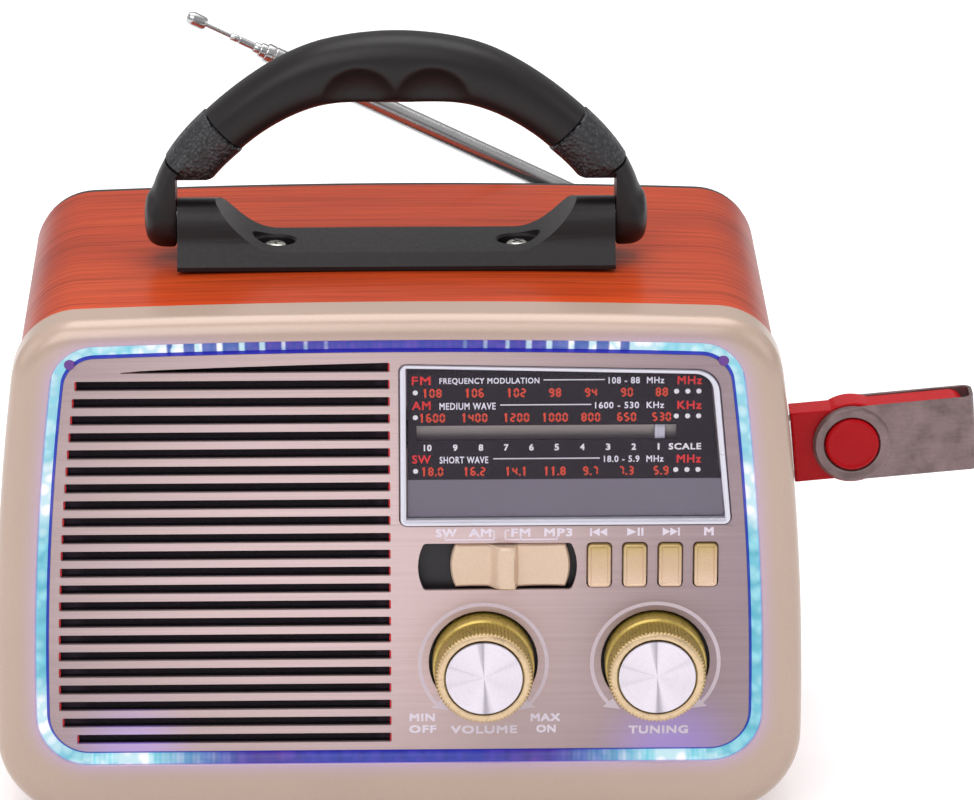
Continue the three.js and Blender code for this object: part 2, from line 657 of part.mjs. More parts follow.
// Narrow ring board with a row of lamps along its top and its bottom.
function ledBoard() {
  const back = GROOVE_FLOOR - GAP;
  const ring = plate(groove(GAP), back - LED_BOARD, back, [groove(LIGHT_WIDTH - GAP)]);
  const front = LIGHT_RECESS + LIGHT_THICKNESS + GAP;
  const low = FOOT_HEIGHT + LIGHT_LOW + LIGHT_WIDTH / 2;
  const high = CROWN - LIGHT_HIGH - LIGHT_WIDTH / 2;
  const reach = BODY_TOP_WIDTH / 2 - LIGHT_TOP_SIDE - 2 * LIGHT_HIGH_RADIUS;
  const lamps = [];
  for (let i = 0; i < LED_COUNT; i++) {
    const x = -reach + (2 * reach * i) / (LED_COUNT - 1);
    const drop = x ** 2 / (2 * CROWN_RADIUS);
    for (const z of [low, high - drop]) {
      lamps.push(box(x - 1.4, x + 1.4, behind(front), behind(back - LED_BOARD / 2), z - 0.8, z + 0.8));
    }
  }
  return joined([ring, ...lamps]);
}

// ---------------------------------------------------------------- facing and grille
function slotOutline(index) {
  const z = SLOT_LOW + index * SLOT_PITCH;
  const edge = groove(LIGHT_WIDTH + SLOT_EDGE);
  const half = SLOT_HEIGHT / 2;
  if (index === SLOT_COUNT - 1) {
    return [
      point(TOP_SLOT_LEFT, z - half),
      ...arc(point(SLOT_RIGHT - half, z), half, -Math.PI / 2, Math.PI / 2, 2),
      point(TOP_SLOT_LEFT, z - half + 0.3),
    ];
  }
  const left = Math.max(leftEdge(edge, z), leftEdge(edge, z - half), leftEdge(edge, z + half));
  return [
    ...arc(point(SLOT_RIGHT - half, z), half, -Math.PI / 2, Math.PI / 2, 2),
    ...arc(point(left + half, z), half, Math.PI / 2, 1.5 * Math.PI, 2),
  ];
}

function frontPanel() {
  const slots = Array.from({ length: SLOT_COUNT }, (_, i) => slotOutline(i));
  const holes = [
    ...slots,
    dialOutline(-GAP),
    switchOutline(0),
    ...KEY_CENTRES.map((x) => keyOutline(x, -0.35)),
    circle(VOLUME_X, KNOB_Z, KNOB_HOLE_RADIUS, 24),
    circle(TUNING_X, KNOB_Z, KNOB_HOLE_RADIUS, 24),
  ];
  return plate(groove(LIGHT_WIDTH), PANEL_FRONT, PANEL_BACK, holes);
}

const speakerCloth = () => plate(clothOutline(0), BAFFLE_FRONT, BAFFLE_FRONT + CLOTH_THICKNESS);

// ---------------------------------------------------------------- dial
function dialFrame() {
  const back = PANEL_BACK;
  const ring = plate(dialOutline(0), PANEL_FRONT - DIAL_PROUD + 0.3, back, [dialOutline(DIAL_RIM)]);
  const lip = plate(dialOutline(0.3), PANEL_FRONT - DIAL_PROUD, PANEL_FRONT, [dialOutline(DIAL_RIM)]);
  return ring.add(lip);
}

const WINDOW_FRONT = PANEL_FRONT;
const PLATE_FRONT = WINDOW_FRONT + WINDOW_THICKNESS + GAP;
const POINTER_FRONT = PLATE_FRONT + PLATE_THICKNESS + GAP;

const dialWindow = () => plate(dialOutline(DIAL_RIM + GAP), WINDOW_FRONT, WINDOW_FRONT + WINDOW_THICKNESS);

function dialPlate() {
  const half = POINTER_SLOT_HEIGHT / 2;
  const slot = rectangle(POINTER_SLOT_LEFT, POINTER_SLOT_RIGHT, POINTER_Z - half, POINTER_Z + half);
  return plate(dialOutline(DIAL_RIM + GAP), PLATE_FRONT, PLATE_FRONT + PLATE_THICKNESS, [slot]);
}

// White flag behind the slot, an arm back to the cord, and a clip round the cord.
function dialPointer() {
  const half = POINTER_WIDTH / 2;
  const flagBack = POINTER_FRONT + 0.9;
  const clipFront = CORD_DEPTH - 1.6;
  const clipBack = CORD_DEPTH + 1.6;
  const hollow = CORD_DIAMETER / 2 + GAP;
  const flag = plate(rectangle(-half, half, POINTER_Z - 3.2, POINTER_Z + 3.2), POINTER_FRONT, flagBack);
  const arm = plate(rectangle(-half, half, POINTER_Z - 2.6, POINTER_Z - 1), flagBack - 0.3, clipBack);
  const clip = plate(rectangle(-half, half, POINTER_Z - 2, POINTER_Z + 1.6), clipFront, clipBack);
  const channel = box(
    -half - 1,
    half + 1,
    behind(CORD_DEPTH - hollow),
    behind(clipBack + 1),
    POINTER_Z - hollow,
    POINTER_Z + hollow,
  );
  return placed(joined([flag, arm, clip]).subtract(channel), POINTER_REST, 0, 0);
}

// ---------------------------------------------------------------- dial cord mechanism
// A wheel with a groove for the cord, whose middle line runs at the given radius.
function cordWheel(x, z, radius, width, bore, segments) {
  const bed = radius - CORD_DIAMETER / 2 - GAP;
  const rim = radius + FLANGE;
  const half = width / 2;
  const slot = CORD_DIAMETER / 2 + 0.5;
  const profile = [
    [bore, -half],
    [rim, -half],
    [rim, -slot],
    [bed, -slot],
    [bed, slot],
    [rim, slot],
    [rim, half],
    [bore, half],
    [bore, -half],
  ];
  return placed(turned(profile, segments), x, behind(CORD_DEPTH), z);
}

// Drum on the tuning shaft, lightened by three round windows.
function tuningDrum() {
  const wheel = cordWheel(TUNING_X, KNOB_Z, DRUM_RADIUS, DRUM_WIDTH, SHAFT_RADIUS + GAP, 20);
  const windows = [0, 1, 2].map((i) => {
    const angle = (i * 2 * Math.PI) / 3 + Math.PI / 2;
    const reach = DRUM_RADIUS * 0.58;
    const x = TUNING_X + reach * Math.cos(angle);
    const z = KNOB_Z + reach * Math.sin(angle);
    return plate(circle(x, z, DRUM_RADIUS * 0.24, 10), 0, CORD_DEPTH + DRUM_WIDTH);
  });
  return without(wheel, windows);
}

const pulley = (x) => cordWheel(x, PULLEY_Z, PULLEY_RADIUS, PULLEY_WIDTH, 1 + GAP, 12);

// Where a straight run leaves one round wheel and meets the next, both on the same side of it.
function tangent(first, firstRadius, second, secondRadius, side) {
  const along = second.clone().sub(first);
  const base = along.angle();
  const lean = Math.acos((firstRadius - secondRadius) / along.length());
  return base + side * lean;
}

// The cord's route: up from the drum, over both pulleys and back round the drum, with a gap at its ties.
function cordRoute() {
  const drum = point(TUNING_X, KNOB_Z);
  const left = point(PULLEY_LEFT_X, PULLEY_Z);
  const right = point(PULLEY_RIGHT_X, PULLEY_Z);
  const up = tangent(drum, DRUM_RADIUS, left, PULLEY_RADIUS, 1);
  const down = tangent(drum, DRUM_RADIUS, right, PULLEY_RADIUS, -1);
  const tie = -Math.PI / 2;
  const flat = [
    ...arc(drum, DRUM_RADIUS, tie - 0.12, up - 2 * Math.PI, 7),
    ...arc(left, PULLEY_RADIUS, up, Math.PI / 2, 4),
    ...arc(right, PULLEY_RADIUS, Math.PI / 2, down, 4),
    ...arc(drum, DRUM_RADIUS, down, tie + 0.12, 7),
  ];
  return flat.map(({ x, y }) => new THREE.Vector3(x, behind(CORD_DEPTH), y));
}

// The cord's section carried along its route, corner by corner.
function dialCord() {
  const route = cordRoute();
  const sides = 5;
  const loops = route.map((here, i) => {
    const before = route[Math.max(i - 1, 0)];
    const after = route[Math.min(i + 1, route.length - 1)];
    const along = after.clone().sub(before).normalize();
    const across = new THREE.Vector3(0, 1, 0);
    const outward = across.clone().cross(along);
    return Array.from({ length: sides }, (_, k) => {
      const angle = (2 * Math.PI * k) / sides;
      return here
        .clone()
        .addScaledVector(across, (CORD_DIAMETER / 2) * Math.cos(angle))
        .addScaledVector(outward, (CORD_DIAMETER / 2) * Math.sin(angle));
    });
  });
  return loft(loops);
}

const CAPACITOR_FRONT = CORD_DEPTH + DRUM_WIDTH / 2 + 2;
const SHAFT_INTO = 6;

// Square variable capacitor behind the drum, with a bore for the tuning shaft.
function tuningCapacitor() {
  const side = CAPACITOR_SIDE / 2;
  const can = plate(
    roundedBox(TUNING_X - side, TUNING_X + side, KNOB_Z - side, KNOB_Z + side, 1.5, 2),
    CAPACITOR_FRONT,
    MAIN_BOARD_DEPTH - GAP,
  );
  const bore = plate(circle(TUNING_X, KNOB_Z, SHAFT_RADIUS + GAP, 14), 0, CAPACITOR_FRONT + SHAFT_INTO + GAP);
  return can.subtract(bore);
}

// ---------------------------------------------------------------- knobs
const VOLUME_FRONT = BAFFLE_BACK + GAP;

function volumeControl() {
  const can = placed(rod(8.5, behind(VOLUME_FRONT + 2), behind(VOLUME_FRONT + 11), 20), VOLUME_X, 0, KNOB_Z);
  const collar = placed(rod(5, behind(VOLUME_FRONT), behind(VOLUME_FRONT + 3), 14), VOLUME_X, 0, KNOB_Z);
  const lugs = box(
    VOLUME_X - 5,
    VOLUME_X + 5,
    behind(VOLUME_FRONT + 8),
    behind(VOLUME_FRONT + 9),
    KNOB_Z - 13,
    KNOB_Z,
  );
  const bore = plate(circle(VOLUME_X, KNOB_Z, SHAFT_RADIUS + GAP, 14), 0, VOLUME_FRONT + SHAFT_INTO + GAP);
  return joined([can, collar, lugs]).subtract(bore);
}

// Plain skirt, knurled grip, smooth front ring round the cap's seat, and the shaft behind.
function knob(x, shaftEnd) {
  const front = PANEL_FRONT - KNOB_PROUD;
  const knurlFront = front + 1.2;
  const knurlBack = knurlFront + KNURL_LENGTH;
  const back = BAFFLE_FRONT - 0.5;
  const seat = CAP_RADIUS + GAP;
  const profile = [
    [0, front + CAP_SEAT],
    [seat, front + CAP_SEAT],
    [seat, front],
    [KNOB_RADIUS - 0.9, front],
    [KNOB_RADIUS - 0.2, front + 0.5],
    [KNOB_RADIUS - 0.2, knurlBack],
    [KNOB_SKIRT_RADIUS, knurlBack + 0.6],
    [KNOB_SKIRT_RADIUS, back],
    [SHAFT_RADIUS, back],
    [SHAFT_RADIUS, shaftEnd],
    [0, shaftEnd],
  ];
  const body = turnedBehind(profile, 24);
  return placed(body.add(knurl(knurlFront, knurlBack)), x, 0, KNOB_Z);
}

function knurl(from, to) {
  const outline = [];
  for (let i = 0; i < 2 * KNURL_COUNT; i++) {
    const angle = (Math.PI * i) / KNURL_COUNT;
    const radius = i % 2 ? KNOB_RADIUS - KNURL_DEPTH : KNOB_RADIUS;
    outline.push(point(radius * Math.cos(angle), radius * Math.sin(angle)));
  }
  return plate(outline, from, to).subtract(plate(circle(0, 0, CAP_RADIUS + 1, 16), from - 1, to + 1));
}

// Spun disc let into the front of a knob, dished towards its middle.
function knobCap(x) {
  const front = behind(PANEL_FRONT - KNOB_PROUD);
  const profile = [
    [0, front + 0.55],
    [CAP_RADIUS - 0.5, front + 0.1],
    [CAP_RADIUS, front + 0.5],
    [CAP_RADIUS, front + CAP_SEAT - GAP],
    [0, front + CAP_SEAT - GAP],
  ];
  return placed(turned(profile, 24), x, 0, KNOB_Z);
}

// ---------------------------------------------------------------- band switch and keys
// Straight top and bottom, and ends bowed outward.
function switchOutline(inset) {
  const low = SWITCH_Z - SWITCH_HEIGHT / 2 + inset;
  const high = SWITCH_Z + SWITCH_HEIGHT / 2 - inset;
  return bowedEnds(SWITCH_LEFT + inset, SWITCH_RIGHT - inset, low, high, 1.3);
}

function bowedEnds(left, right, low, high, bow) {
  const rise = (high - low) / 2;
  const radius = (rise ** 2 + bow ** 2) / (2 * bow);
  const lean = Math.asin(rise / radius);
  const middle = (low + high) / 2;
  return [
    ...arc(point(right - radius, middle), radius, -lean, lean, 6),
    ...arc(point(left + radius, middle), radius, Math.PI - lean, Math.PI + lean, 6),
  ];
}

// Two finger pads with a ridge between them, sliding in the facing's slot, and a stem to the switch.
function bandSlider() {
  const middle = sliderMiddle();
  const rise = SWITCH_HEIGHT / 2 - GAP;
  const outline = bowedEnds(
    middle - SLIDER_WIDTH / 2,
    middle + SLIDER_WIDTH / 2,
    SWITCH_Z - rise,
    SWITCH_Z + rise,
    1.1,
  );
  const block = plate(outline, PANEL_FRONT - 2.6, PANEL_BACK - 0.2);
  const across = SWITCH_HEIGHT;
  const padFront = behind(PANEL_FRONT + 0.3);
  const ridge = behind(PANEL_FRONT - 2.2);
  const half = SLIDER_WIDTH / 2;
  // The front as seen from above: two hollows either side of a blunt ridge.
  const cutter = [
    point(-half - 2, ridge - 2),
    point(half + 2, ridge - 2),
    point(half + 2, padFront - 0.4),
    ...hollow(half + 0.2, 1.4, padFront, ridge),
    ...hollow(-half - 0.2, -1.4, padFront, ridge).reverse(),
    point(-half - 2, padFront - 0.4),
  ];
  const cut = placed(slab(cutter, SWITCH_Z - across, SWITCH_Z + across), middle, 0, 0);
  const stem = box(
    middle - 2,
    middle + 2,
    behind(PANEL_BACK - 1),
    behind(SWITCH_BODY_FRONT + 1.2),
    SWITCH_Z - 1.5,
    SWITCH_Z + 1.5,
  );
  return block.subtract(cut).add(stem);
}

// Half of the slider's front from its outer end in towards the ridge: flat, then a quarter curve up to it.
function hollow(outer, inner, low, high) {
  const steps = 5;
  const side = Math.sign(outer);
  const points = [point(outer, low - 0.4)];
  const reach = 2.6;
  for (let i = 0; i <= steps; i++) {
    const turn = (Math.PI / 2) * (i / steps);
    const x = inner + side * reach * (1 - Math.sin(turn));
    points.push(point(x, low + (high - low) * (1 - Math.cos(turn))));
  }
  return points;
}

const SWITCH_BODY_FRONT = BAFFLE_BACK + 2.4;

function bandSwitch() {
  const [left, right] = stemSpan(GAP + 0.3);
  const body = box(
    SWITCH_LEFT + 2,
    SWITCH_RIGHT - 2,
    behind(SWITCH_BODY_FRONT),
    behind(KEY_BOARD_DEPTH - GAP),
    SWITCH_Z - 4.5,
    SWITCH_Z + 4.5,
  );
  const track = box(left, right, behind(0), behind(SWITCH_BODY_FRONT + 1.5), SWITCH_Z - 1.9, SWITCH_Z + 1.9);
  return body.subtract(track);
}

const keyOutline = (x, inset) => roundedBox(
  x - KEY_WIDTH / 2 + inset,
  x + KEY_WIDTH / 2 - inset,
  SWITCH_Z - KEY_HEIGHT / 2 + inset,
  SWITCH_Z + KEY_HEIGHT / 2 - inset,
  Math.max(0.8 - inset, 0.2),
  2,
);

const KEY_FRONT = PANEL_FRONT - 0.9;
const KEY_BACK = KEY_BOARD_DEPTH - 4.4;

// Bar-shaped cap with softened front edges, a flange behind the facing and a stem to its switch.
function key(x) {
  const loop = (inset, depth) => atDepth(keyOutline(x, inset), depth);
  const cap = loft([
    loop(0.45, KEY_FRONT),
    loop(0.1, KEY_FRONT + 0.25),
    loop(0, KEY_FRONT + 0.6),
    loop(0, PANEL_BACK + 1),
  ]);
  const flange = plate(keyOutline(x, -0.8), PANEL_BACK + GAP, PANEL_BACK + 1.2);
  const stem = box(x - 1.3, x + 1.3, behind(PANEL_BACK), behind(KEY_BACK), SWITCH_Z - 1.3, SWITCH_Z + 1.3);
  return joined([cap, flange, stem]);
}

// Board behind the switch and keys, with a push switch for each key.
function keyBoard() {
  const board = plate(
    rectangle(
      SWITCH_LEFT - KEY_BOARD_LEFT,
      KEY_CENTRES[KEY_COUNT - 1] + KEY_BOARD_SIDE,
      SWITCH_Z - KEY_BOARD_BELOW,
      SWITCH_Z + KEY_BOARD_ABOVE,
    ),
    KEY_BOARD_DEPTH,
    KEY_BOARD_DEPTH + BOARD_THICKNESS,
  );
  const can = KEY_BOARD_DEPTH - 2.7;
  const switches = KEY_CENTRES.flatMap((x) => [
    plate(rectangle(x - 3, x + 3, SWITCH_Z - 3, SWITCH_Z + 3), can, KEY_BOARD_DEPTH + 0.4),
    placed(rod(1.6, behind(KEY_BACK + KEY_TRAVEL + GAP), behind(can + 0.7), 12), x, 0, SWITCH_Z),
  ]);
  return joined([board, ...switches]);
}

// ---------------------------------------------------------------- inside
const FERRITE_RADIUS = 4;
const FERRITE_BELOW = 20; // under the crown
const FERRITE_Z = CROWN - FERRITE_BELOW;
const FERRITE_DEPTH = MAIN_BOARD_DEPTH + BOARD_THICKNESS + FERRITE_RADIUS + 3;
const FERRITE_FROM = 6;
const FERRITE_TO = 62;
const SADDLES = [FERRITE_FROM + 8, FERRITE_TO - 8];
const MAIN_CHIPS = [[12, 40, 14, 10], [40, 56, 10, 8], [30, 70, 4, 10]]; // left, low, width and height
const MAIN_TINS = [[16, 66], [24, 66], [58, 34]];

// Upright circuit board with its larger parts and two saddles for the ferrite rod.
function mainBoard() {
  const back = MAIN_BOARD_DEPTH + BOARD_THICKNESS;
  const low = FOOT_HEIGHT + MAIN_BOARD_MARGIN;
  const high = CROWN - MAIN_BOARD_MARGIN;
  const board = plate(roundedBox(MAIN_BOARD_LEFT, MAIN_BOARD_RIGHT, low, high, 2, 2), MAIN_BOARD_DEPTH, back);
  const root = back - 0.4;
  const chips = MAIN_CHIPS.map(([x, z, width, height]) =>
    plate(rectangle(x, x + width, z, z + height), root, back + 2));
  const tins = MAIN_TINS.map(([x, z]) => placed(rod(3, behind(root), behind(back + 9), 14), x, 0, z));
  const saddles = SADDLES.map((x) => box(
    x - 2,
    x + 2,
    behind(root),
    behind(FERRITE_DEPTH + 3),
    FERRITE_Z - FERRITE_RADIUS - 1.8,
    FERRITE_Z + FERRITE_RADIUS + 1.8,
  ));
  const hollow = rod(FERRITE_RADIUS + GAP, FERRITE_FROM - 4, FERRITE_TO + 4, 16, 'x');
  const bore = placed(hollow, 0, behind(FERRITE_DEPTH), FERRITE_Z);
  return joined([board, ...chips, ...tins, ...saddles]).subtract(bore);
}

// Ferrite rod with its wound coil between the saddles.
function ferriteRod() {
  const profile = [
    [0, FERRITE_FROM],
    [FERRITE_RADIUS, FERRITE_FROM],
    [FERRITE_RADIUS, 26],
    [FERRITE_RADIUS + 1.2, 26],
    [FERRITE_RADIUS + 1.2, 42],
    [FERRITE_RADIUS, 42],
    [FERRITE_RADIUS, FERRITE_TO],
    [0, FERRITE_TO],
  ];
  return placed(turned(profile, 16, 'x'), 0, behind(FERRITE_DEPTH), FERRITE_Z);
}

const SPEAKER_FRONT = BAFFLE_BACK + GAP;

function speakerBasket() {
  const inner = CONE_RADIUS + GAP;
  const yoke = SPEAKER_FRONT + SPEAKER_DEPTH;
  const profile = [
    [0, yoke - 10],
    [MAGNET_RADIUS - 3, yoke - 10],
    [inner, SPEAKER_FRONT + 3.6],
    [inner, SPEAKER_FRONT],
    [SPEAKER_RADIUS, SPEAKER_FRONT],
    [SPEAKER_RADIUS, SPEAKER_FRONT + 1.5],
    [inner + 1.8, SPEAKER_FRONT + 1.8],
    [inner + 1.6, SPEAKER_FRONT + 4.2],
    [MAGNET_RADIUS - 1.4, yoke - 8.6],
    [MAGNET_RADIUS, yoke - 8.6],
    [MAGNET_RADIUS, yoke],
    [0, yoke],
  ];
  return placed(turnedBehind(profile, 18), SPEAKER_X, 0, SPEAKER_Z);
}

// Paper cone with its dust cap and rolled edge.
function speakerCone() {
  const front = SPEAKER_FRONT + CONE_TRAVEL + 0.2;
  const neck = SPEAKER_FRONT + SPEAKER_DEPTH - 10 - CONE_TRAVEL - 2;
  const profile = [
    [0, neck - 5],
    [5, neck - 4.2],
    [8, neck - 2],
    [CONE_RADIUS - 5, front + 1.2],
    [CONE_RADIUS - 3.5, front],
    [CONE_RADIUS - 1.5, front],
    [CONE_RADIUS, front + 1],
    [CONE_RADIUS, front + 1.6],
    [CONE_RADIUS - 2, front + 1],
    [CONE_RADIUS - 3.2, front + 1],
    [CONE_RADIUS - 4.6, front + 2.2],
    [8.4, neck - 0.6],
    [8.4, neck],
    [0, neck],
  ];
  return placed(turnedBehind(profile, 18), SPEAKER_X, 0, SPEAKER_Z);
}

// ---------------------------------------------------------------- handle
const HANDLE_Y = behind(HANDLE_DEPTH);
const PIVOT_Z = TOP + PIVOT_RISE;
const BASE_LOW = TOP + GAP;
const BOW_CENTRE_Z = TOP + BOW_RISE - BOW_RADIUS;
const BOW_FOOT = Math.asin((PIVOT_Z - BOW_CENTRE_Z) / BOW_RADIUS);
const KNUCKLE_OUT = BOW_RADIUS * Math.cos(BOW_FOOT) - 1.6;
const BLOCK_HALF = KNUCKLE_OUT - KNUCKLE_LENGTH; // half the length of the base
const SCREW_X = BLOCK_HALF - SCREW_INDENT;
const onPivot = (body) => placed(body, 0, HANDLE_Y, PIVOT_Z);

// Bracket seen from the front: a thin strap between two blocks, joined by hollow curves.
function handleBase() {
  const high = PIVOT_Z + BLOCK_RADIUS;
  const strap = BASE_LOW + HANDLE_BASE_THICKNESS;
  const inner = BLOCK_HALF - HANDLE_BLOCK_LENGTH;
  const curve = (side) => {
    const steps = 7;
    const points = [];
    for (let i = 0; i <= steps; i++) {
      const turn = (Math.PI / 2) * (i / steps);
      const x = inner - HANDLE_SWEEP * Math.sin(turn) * 1.15 - 2.2 * (i > 0 ? 1 : 0) * (i / steps);
      points.push(point(side * x, strap + (high - strap) * (1 - Math.sin(turn)) ** 1.25));
    }
    return points;
  };
  const outline = [
    point(-BLOCK_HALF, BASE_LOW),
    point(BLOCK_HALF, BASE_LOW),
    point(BLOCK_HALF, high),
    ...curve(1),
    ...curve(-1).reverse(),
    point(-BLOCK_HALF, high),
  ];
  const depth = HANDLE_DEPTH - HANDLE_BASE_DEPTH / 2;
  const bracket = plate(outline, depth, depth + HANDLE_BASE_DEPTH);
  // From the end: a foot as deep as the bracket under a narrower block with a round head on the pivot.
  const half = HANDLE_BASE_DEPTH / 2;
  const head = arc(point(HANDLE_Y, PIVOT_Z), BLOCK_RADIUS, 0, Math.PI, 10);
  const side = [
    point(HANDLE_Y - half, BASE_LOW - 1),
    point(HANDLE_Y + half, BASE_LOW - 1),
    point(HANDLE_Y + half, strap),
    point(HANDLE_Y + BLOCK_RADIUS + BLOCK_FLARE, strap),
    point(HANDLE_Y + BLOCK_RADIUS, strap + BLOCK_FLARE),
    ...head,
    point(HANDLE_Y - BLOCK_RADIUS, strap + BLOCK_FLARE),
    point(HANDLE_Y - BLOCK_RADIUS - BLOCK_FLARE, strap),
    point(HANDLE_Y - half, strap),
  ];
  const envelope = bar(side, -BLOCK_HALF - 1, BLOCK_HALF + 1);
  const recess = [-SCREW_X, SCREW_X].map((x) => screwRecess(x, strap));
  const holes = screwHoles(BASE_LOW - 1, strap + 1);
  const bores = [-1, 1].map((end) => {
    const reach = BLOCK_HALF - PIN_LENGTH / 2 - GAP;
    const from = end > 0 ? reach : -BLOCK_HALF - 1;
    return onPivot(rod(PIN_RADIUS + GAP, from, from + PIN_LENGTH / 2 + 1 + GAP, 14, 'x'));
  });
  return without(bracket.intersect(envelope), [...recess, ...holes, ...bores]);
}

// Clearance holes for the handle's two screws.
const screwHoles = (low, high) =>
  [-SCREW_X, SCREW_X].map((x) => placed(rod(SCREW_RADIUS + GAP, low, high, 12, 'z'), x, HANDLE_Y, 0));

// Oval pocket that the screw's head lies in.
function screwRecess(x, strap) {
  const outline = [
    ...arc(point(x + 2, HANDLE_Y), 3.4, -Math.PI / 2, Math.PI / 2, 8),
    ...arc(point(x - 2, HANDLE_Y), 3.4, Math.PI / 2, 1.5 * Math.PI, 8),
  ];
  return slab(outline, strap - SCREW_POCKET, strap + 9);
}

const SCREW_POCKET = 2;

// Pan-head screw with a cross in its head.
function handleScrew(x) {
  const seat = BASE_LOW + HANDLE_BASE_THICKNESS - SCREW_POCKET + GAP;
  const head = turned([
    [0, seat - SCREW_LENGTH],
    [1, seat - SCREW_LENGTH],
    [SCREW_RADIUS, seat - SCREW_LENGTH + 1],
    [SCREW_RADIUS, seat],
    [SCREW_HEAD_RADIUS, seat],
    [SCREW_HEAD_RADIUS, seat + 0.7],
    [SCREW_HEAD_RADIUS - 0.8, seat + 1.4],
    [0, seat + 1.6],
  ], 16, 'z');
  const cross = [
    box(-1.5, 1.5, -0.25, 0.25, seat + 0.7, seat + 3),
    box(-0.25, 0.25, -1.5, 1.5, seat + 0.7, seat + 3),
  ];
  return placed(without(head, cross), x, HANDLE_Y, 0);
}

// The bow's section at an angle round its arc: flat-sided oval, thicker over the grip.
function bowLoop(angle, inset) {
  const away = Math.min(Math.abs(angle - Math.PI / 2) / degrees(GRIP_SPREAD), 1);
  const middle = 0.5 + 0.5 * Math.cos(away * Math.PI);
  const thickness = BOW_THICKNESS + (BOW_GRIP_THICKNESS - BOW_THICKNESS) * middle;
  const radial = thickness / 2 - inset;
  const deep = BOW_DEPTH / 2 - inset;
  const centre = BOW_RADIUS - thickness / 2;
  const sides = 10;
  return Array.from({ length: sides }, (_, k) => {
    const turn = (2 * Math.PI * k) / sides;
    const squareness = 0.72;
    const reach = centre + radial * Math.sign(Math.cos(turn)) * Math.abs(Math.cos(turn)) ** squareness;
    const aside = -deep * Math.sign(Math.sin(turn)) * Math.abs(Math.sin(turn)) ** squareness;
    return new THREE.Vector3(
      reach * Math.cos(angle),
      HANDLE_Y + aside,
      BOW_CENTRE_Z + reach * Math.sin(angle),
    );
  });
}

function bowPart(from, to, inset, steps) {
  const loops = [];
  for (let i = 0; i <= steps; i++) {
    loops.push(bowLoop(from + ((to - from) * i) / steps, inset));
  }
  return loft(loops);
}

// Knuckle round the pivot, with a domed outer end.
function knuckle(side) {
  const inner = BLOCK_HALF + GAP;
  const profile = [
    [0, inner],
    [KNUCKLE_RADIUS, inner],
    [KNUCKLE_RADIUS, KNUCKLE_OUT - 4],
    [KNUCKLE_RADIUS * 0.9, KNUCKLE_OUT - 1.8],
    [KNUCKLE_RADIUS * 0.62, KNUCKLE_OUT - 0.4],
    [0, KNUCKLE_OUT],
  ];
  const piece = onPivot(turned(profile, 16, 'x'));
  return side > 0 ? piece : piece.mirror([1, 0, 0]);
}

// From the end: what the foot of the base sweeps round the pivot as the bow folds to either side.
function foldNotch() {
  const half = HANDLE_BASE_DEPTH / 2;
  const corner = Math.atan2(half, PIVOT_Z - BASE_LOW - HANDLE_BASE_THICKNESS);
  const open = Math.PI - corner - degrees(FOLD_ANGLE + FOLD_SLACK);
  const reach = 2 * BOW_DEPTH;
  const rise = PIVOT_Z + reach * Math.cos(open);
  return [
    point(HANDLE_Y, PIVOT_Z),
    point(HANDLE_Y - reach * Math.sin(open), rise),
    point(HANDLE_Y - reach, rise),
    point(HANDLE_Y - reach, PIVOT_Z - reach),
    point(HANDLE_Y + reach, PIVOT_Z - reach),
    point(HANDLE_Y + reach, rise),
    point(HANDLE_Y + reach * Math.sin(open), rise),
  ];
}

// Carrying bow: an arc over the hand gap, arms stepped round the blocks and two finger hollows below.
function handleBow() {
  const arch = bowPart(BOW_FOOT - 0.02, Math.PI - BOW_FOOT + 0.02, 0, 18);
  const bands = [1, -1].map((side) => {
    const [from, to] = sleeveSpan(side, GAP);
    return bowPart(from, to, -2, 2).subtract(bowPart(from - 0.1, to + 0.1, SLEEVE_WALL + GAP, 2));
  });
  const notches = [-1, 1].flatMap((side) => {
    const inner = side > 0 ? BLOCK_HALF - HANDLE_BLOCK_LENGTH - 6 : -BLOCK_HALF - GAP;
    const outer = inner + HANDLE_BLOCK_LENGTH + 6 + GAP;
    return [
      onPivot(rod(BLOCK_RADIUS + BLOCK_ROOM, inner, outer, 18, 'x')),
      bar(foldNotch(), inner, outer),
    ];
  });
  const bores = [-1, 1].map((side) => {
    const end = BLOCK_HALF + PIN_LENGTH / 2 + GAP;
    const from = side > 0 ? BLOCK_HALF - 1 : -end;
    return onPivot(rod(PIN_RADIUS + GAP, from, from + end - BLOCK_HALF + 1, 14, 'x'));
  });
  const bow = joined([without(arch, bands), knuckle(1), knuckle(-1)]);
  return without(bow, [...notches, ...bores, ...fingerHollows()]);
}

// Two shallow hollows for the fingers in the lower front of the grip.
function fingerHollows() {
  const lowest = BOW_CENTRE_Z + BOW_RADIUS - BOW_GRIP_THICKNESS;
  return [-1, 1].map((side) => {
    const geometry = new THREE.SphereGeometry(1, 10, 6);
    geometry.scale(FINGER_RADIUS, 7, FINGER_RADIUS);
    geometry.translate(side * FINGER_X, HANDLE_Y - BOW_DEPTH / 2 - 3.4, lowest - 0.8);
    return solid(geometry);
  });
}

// The angles that a sleeve covers, on the right for side 1 and on the left for side -1.
function sleeveSpan(side, margin) {
  const slack = margin / BOW_RADIUS;
  const from = BOW_FOOT + SLEEVE_RISE / BOW_RADIUS - slack;
  const to = BOW_FOOT + (SLEEVE_RISE + SLEEVE_LENGTH) / BOW_RADIUS + slack;
  return side > 0 ? [from, to] : [Math.PI - to, Math.PI - from];
}

function handleSleeve(side) {
  const [from, to] = sleeveSpan(side, 0);
  return bowPart(from, to, -0.25, 2).subtract(bowPart(from - 0.05, to + 0.05, SLEEVE_WALL, 2));
}

function handlePin(side) {
  const from = side > 0 ? BLOCK_HALF - PIN_LENGTH / 2 : -BLOCK_HALF - PIN_LENGTH / 2;
  return onPivot(rod(PIN_RADIUS, from, from + PIN_LENGTH, 14, 'x'));
}

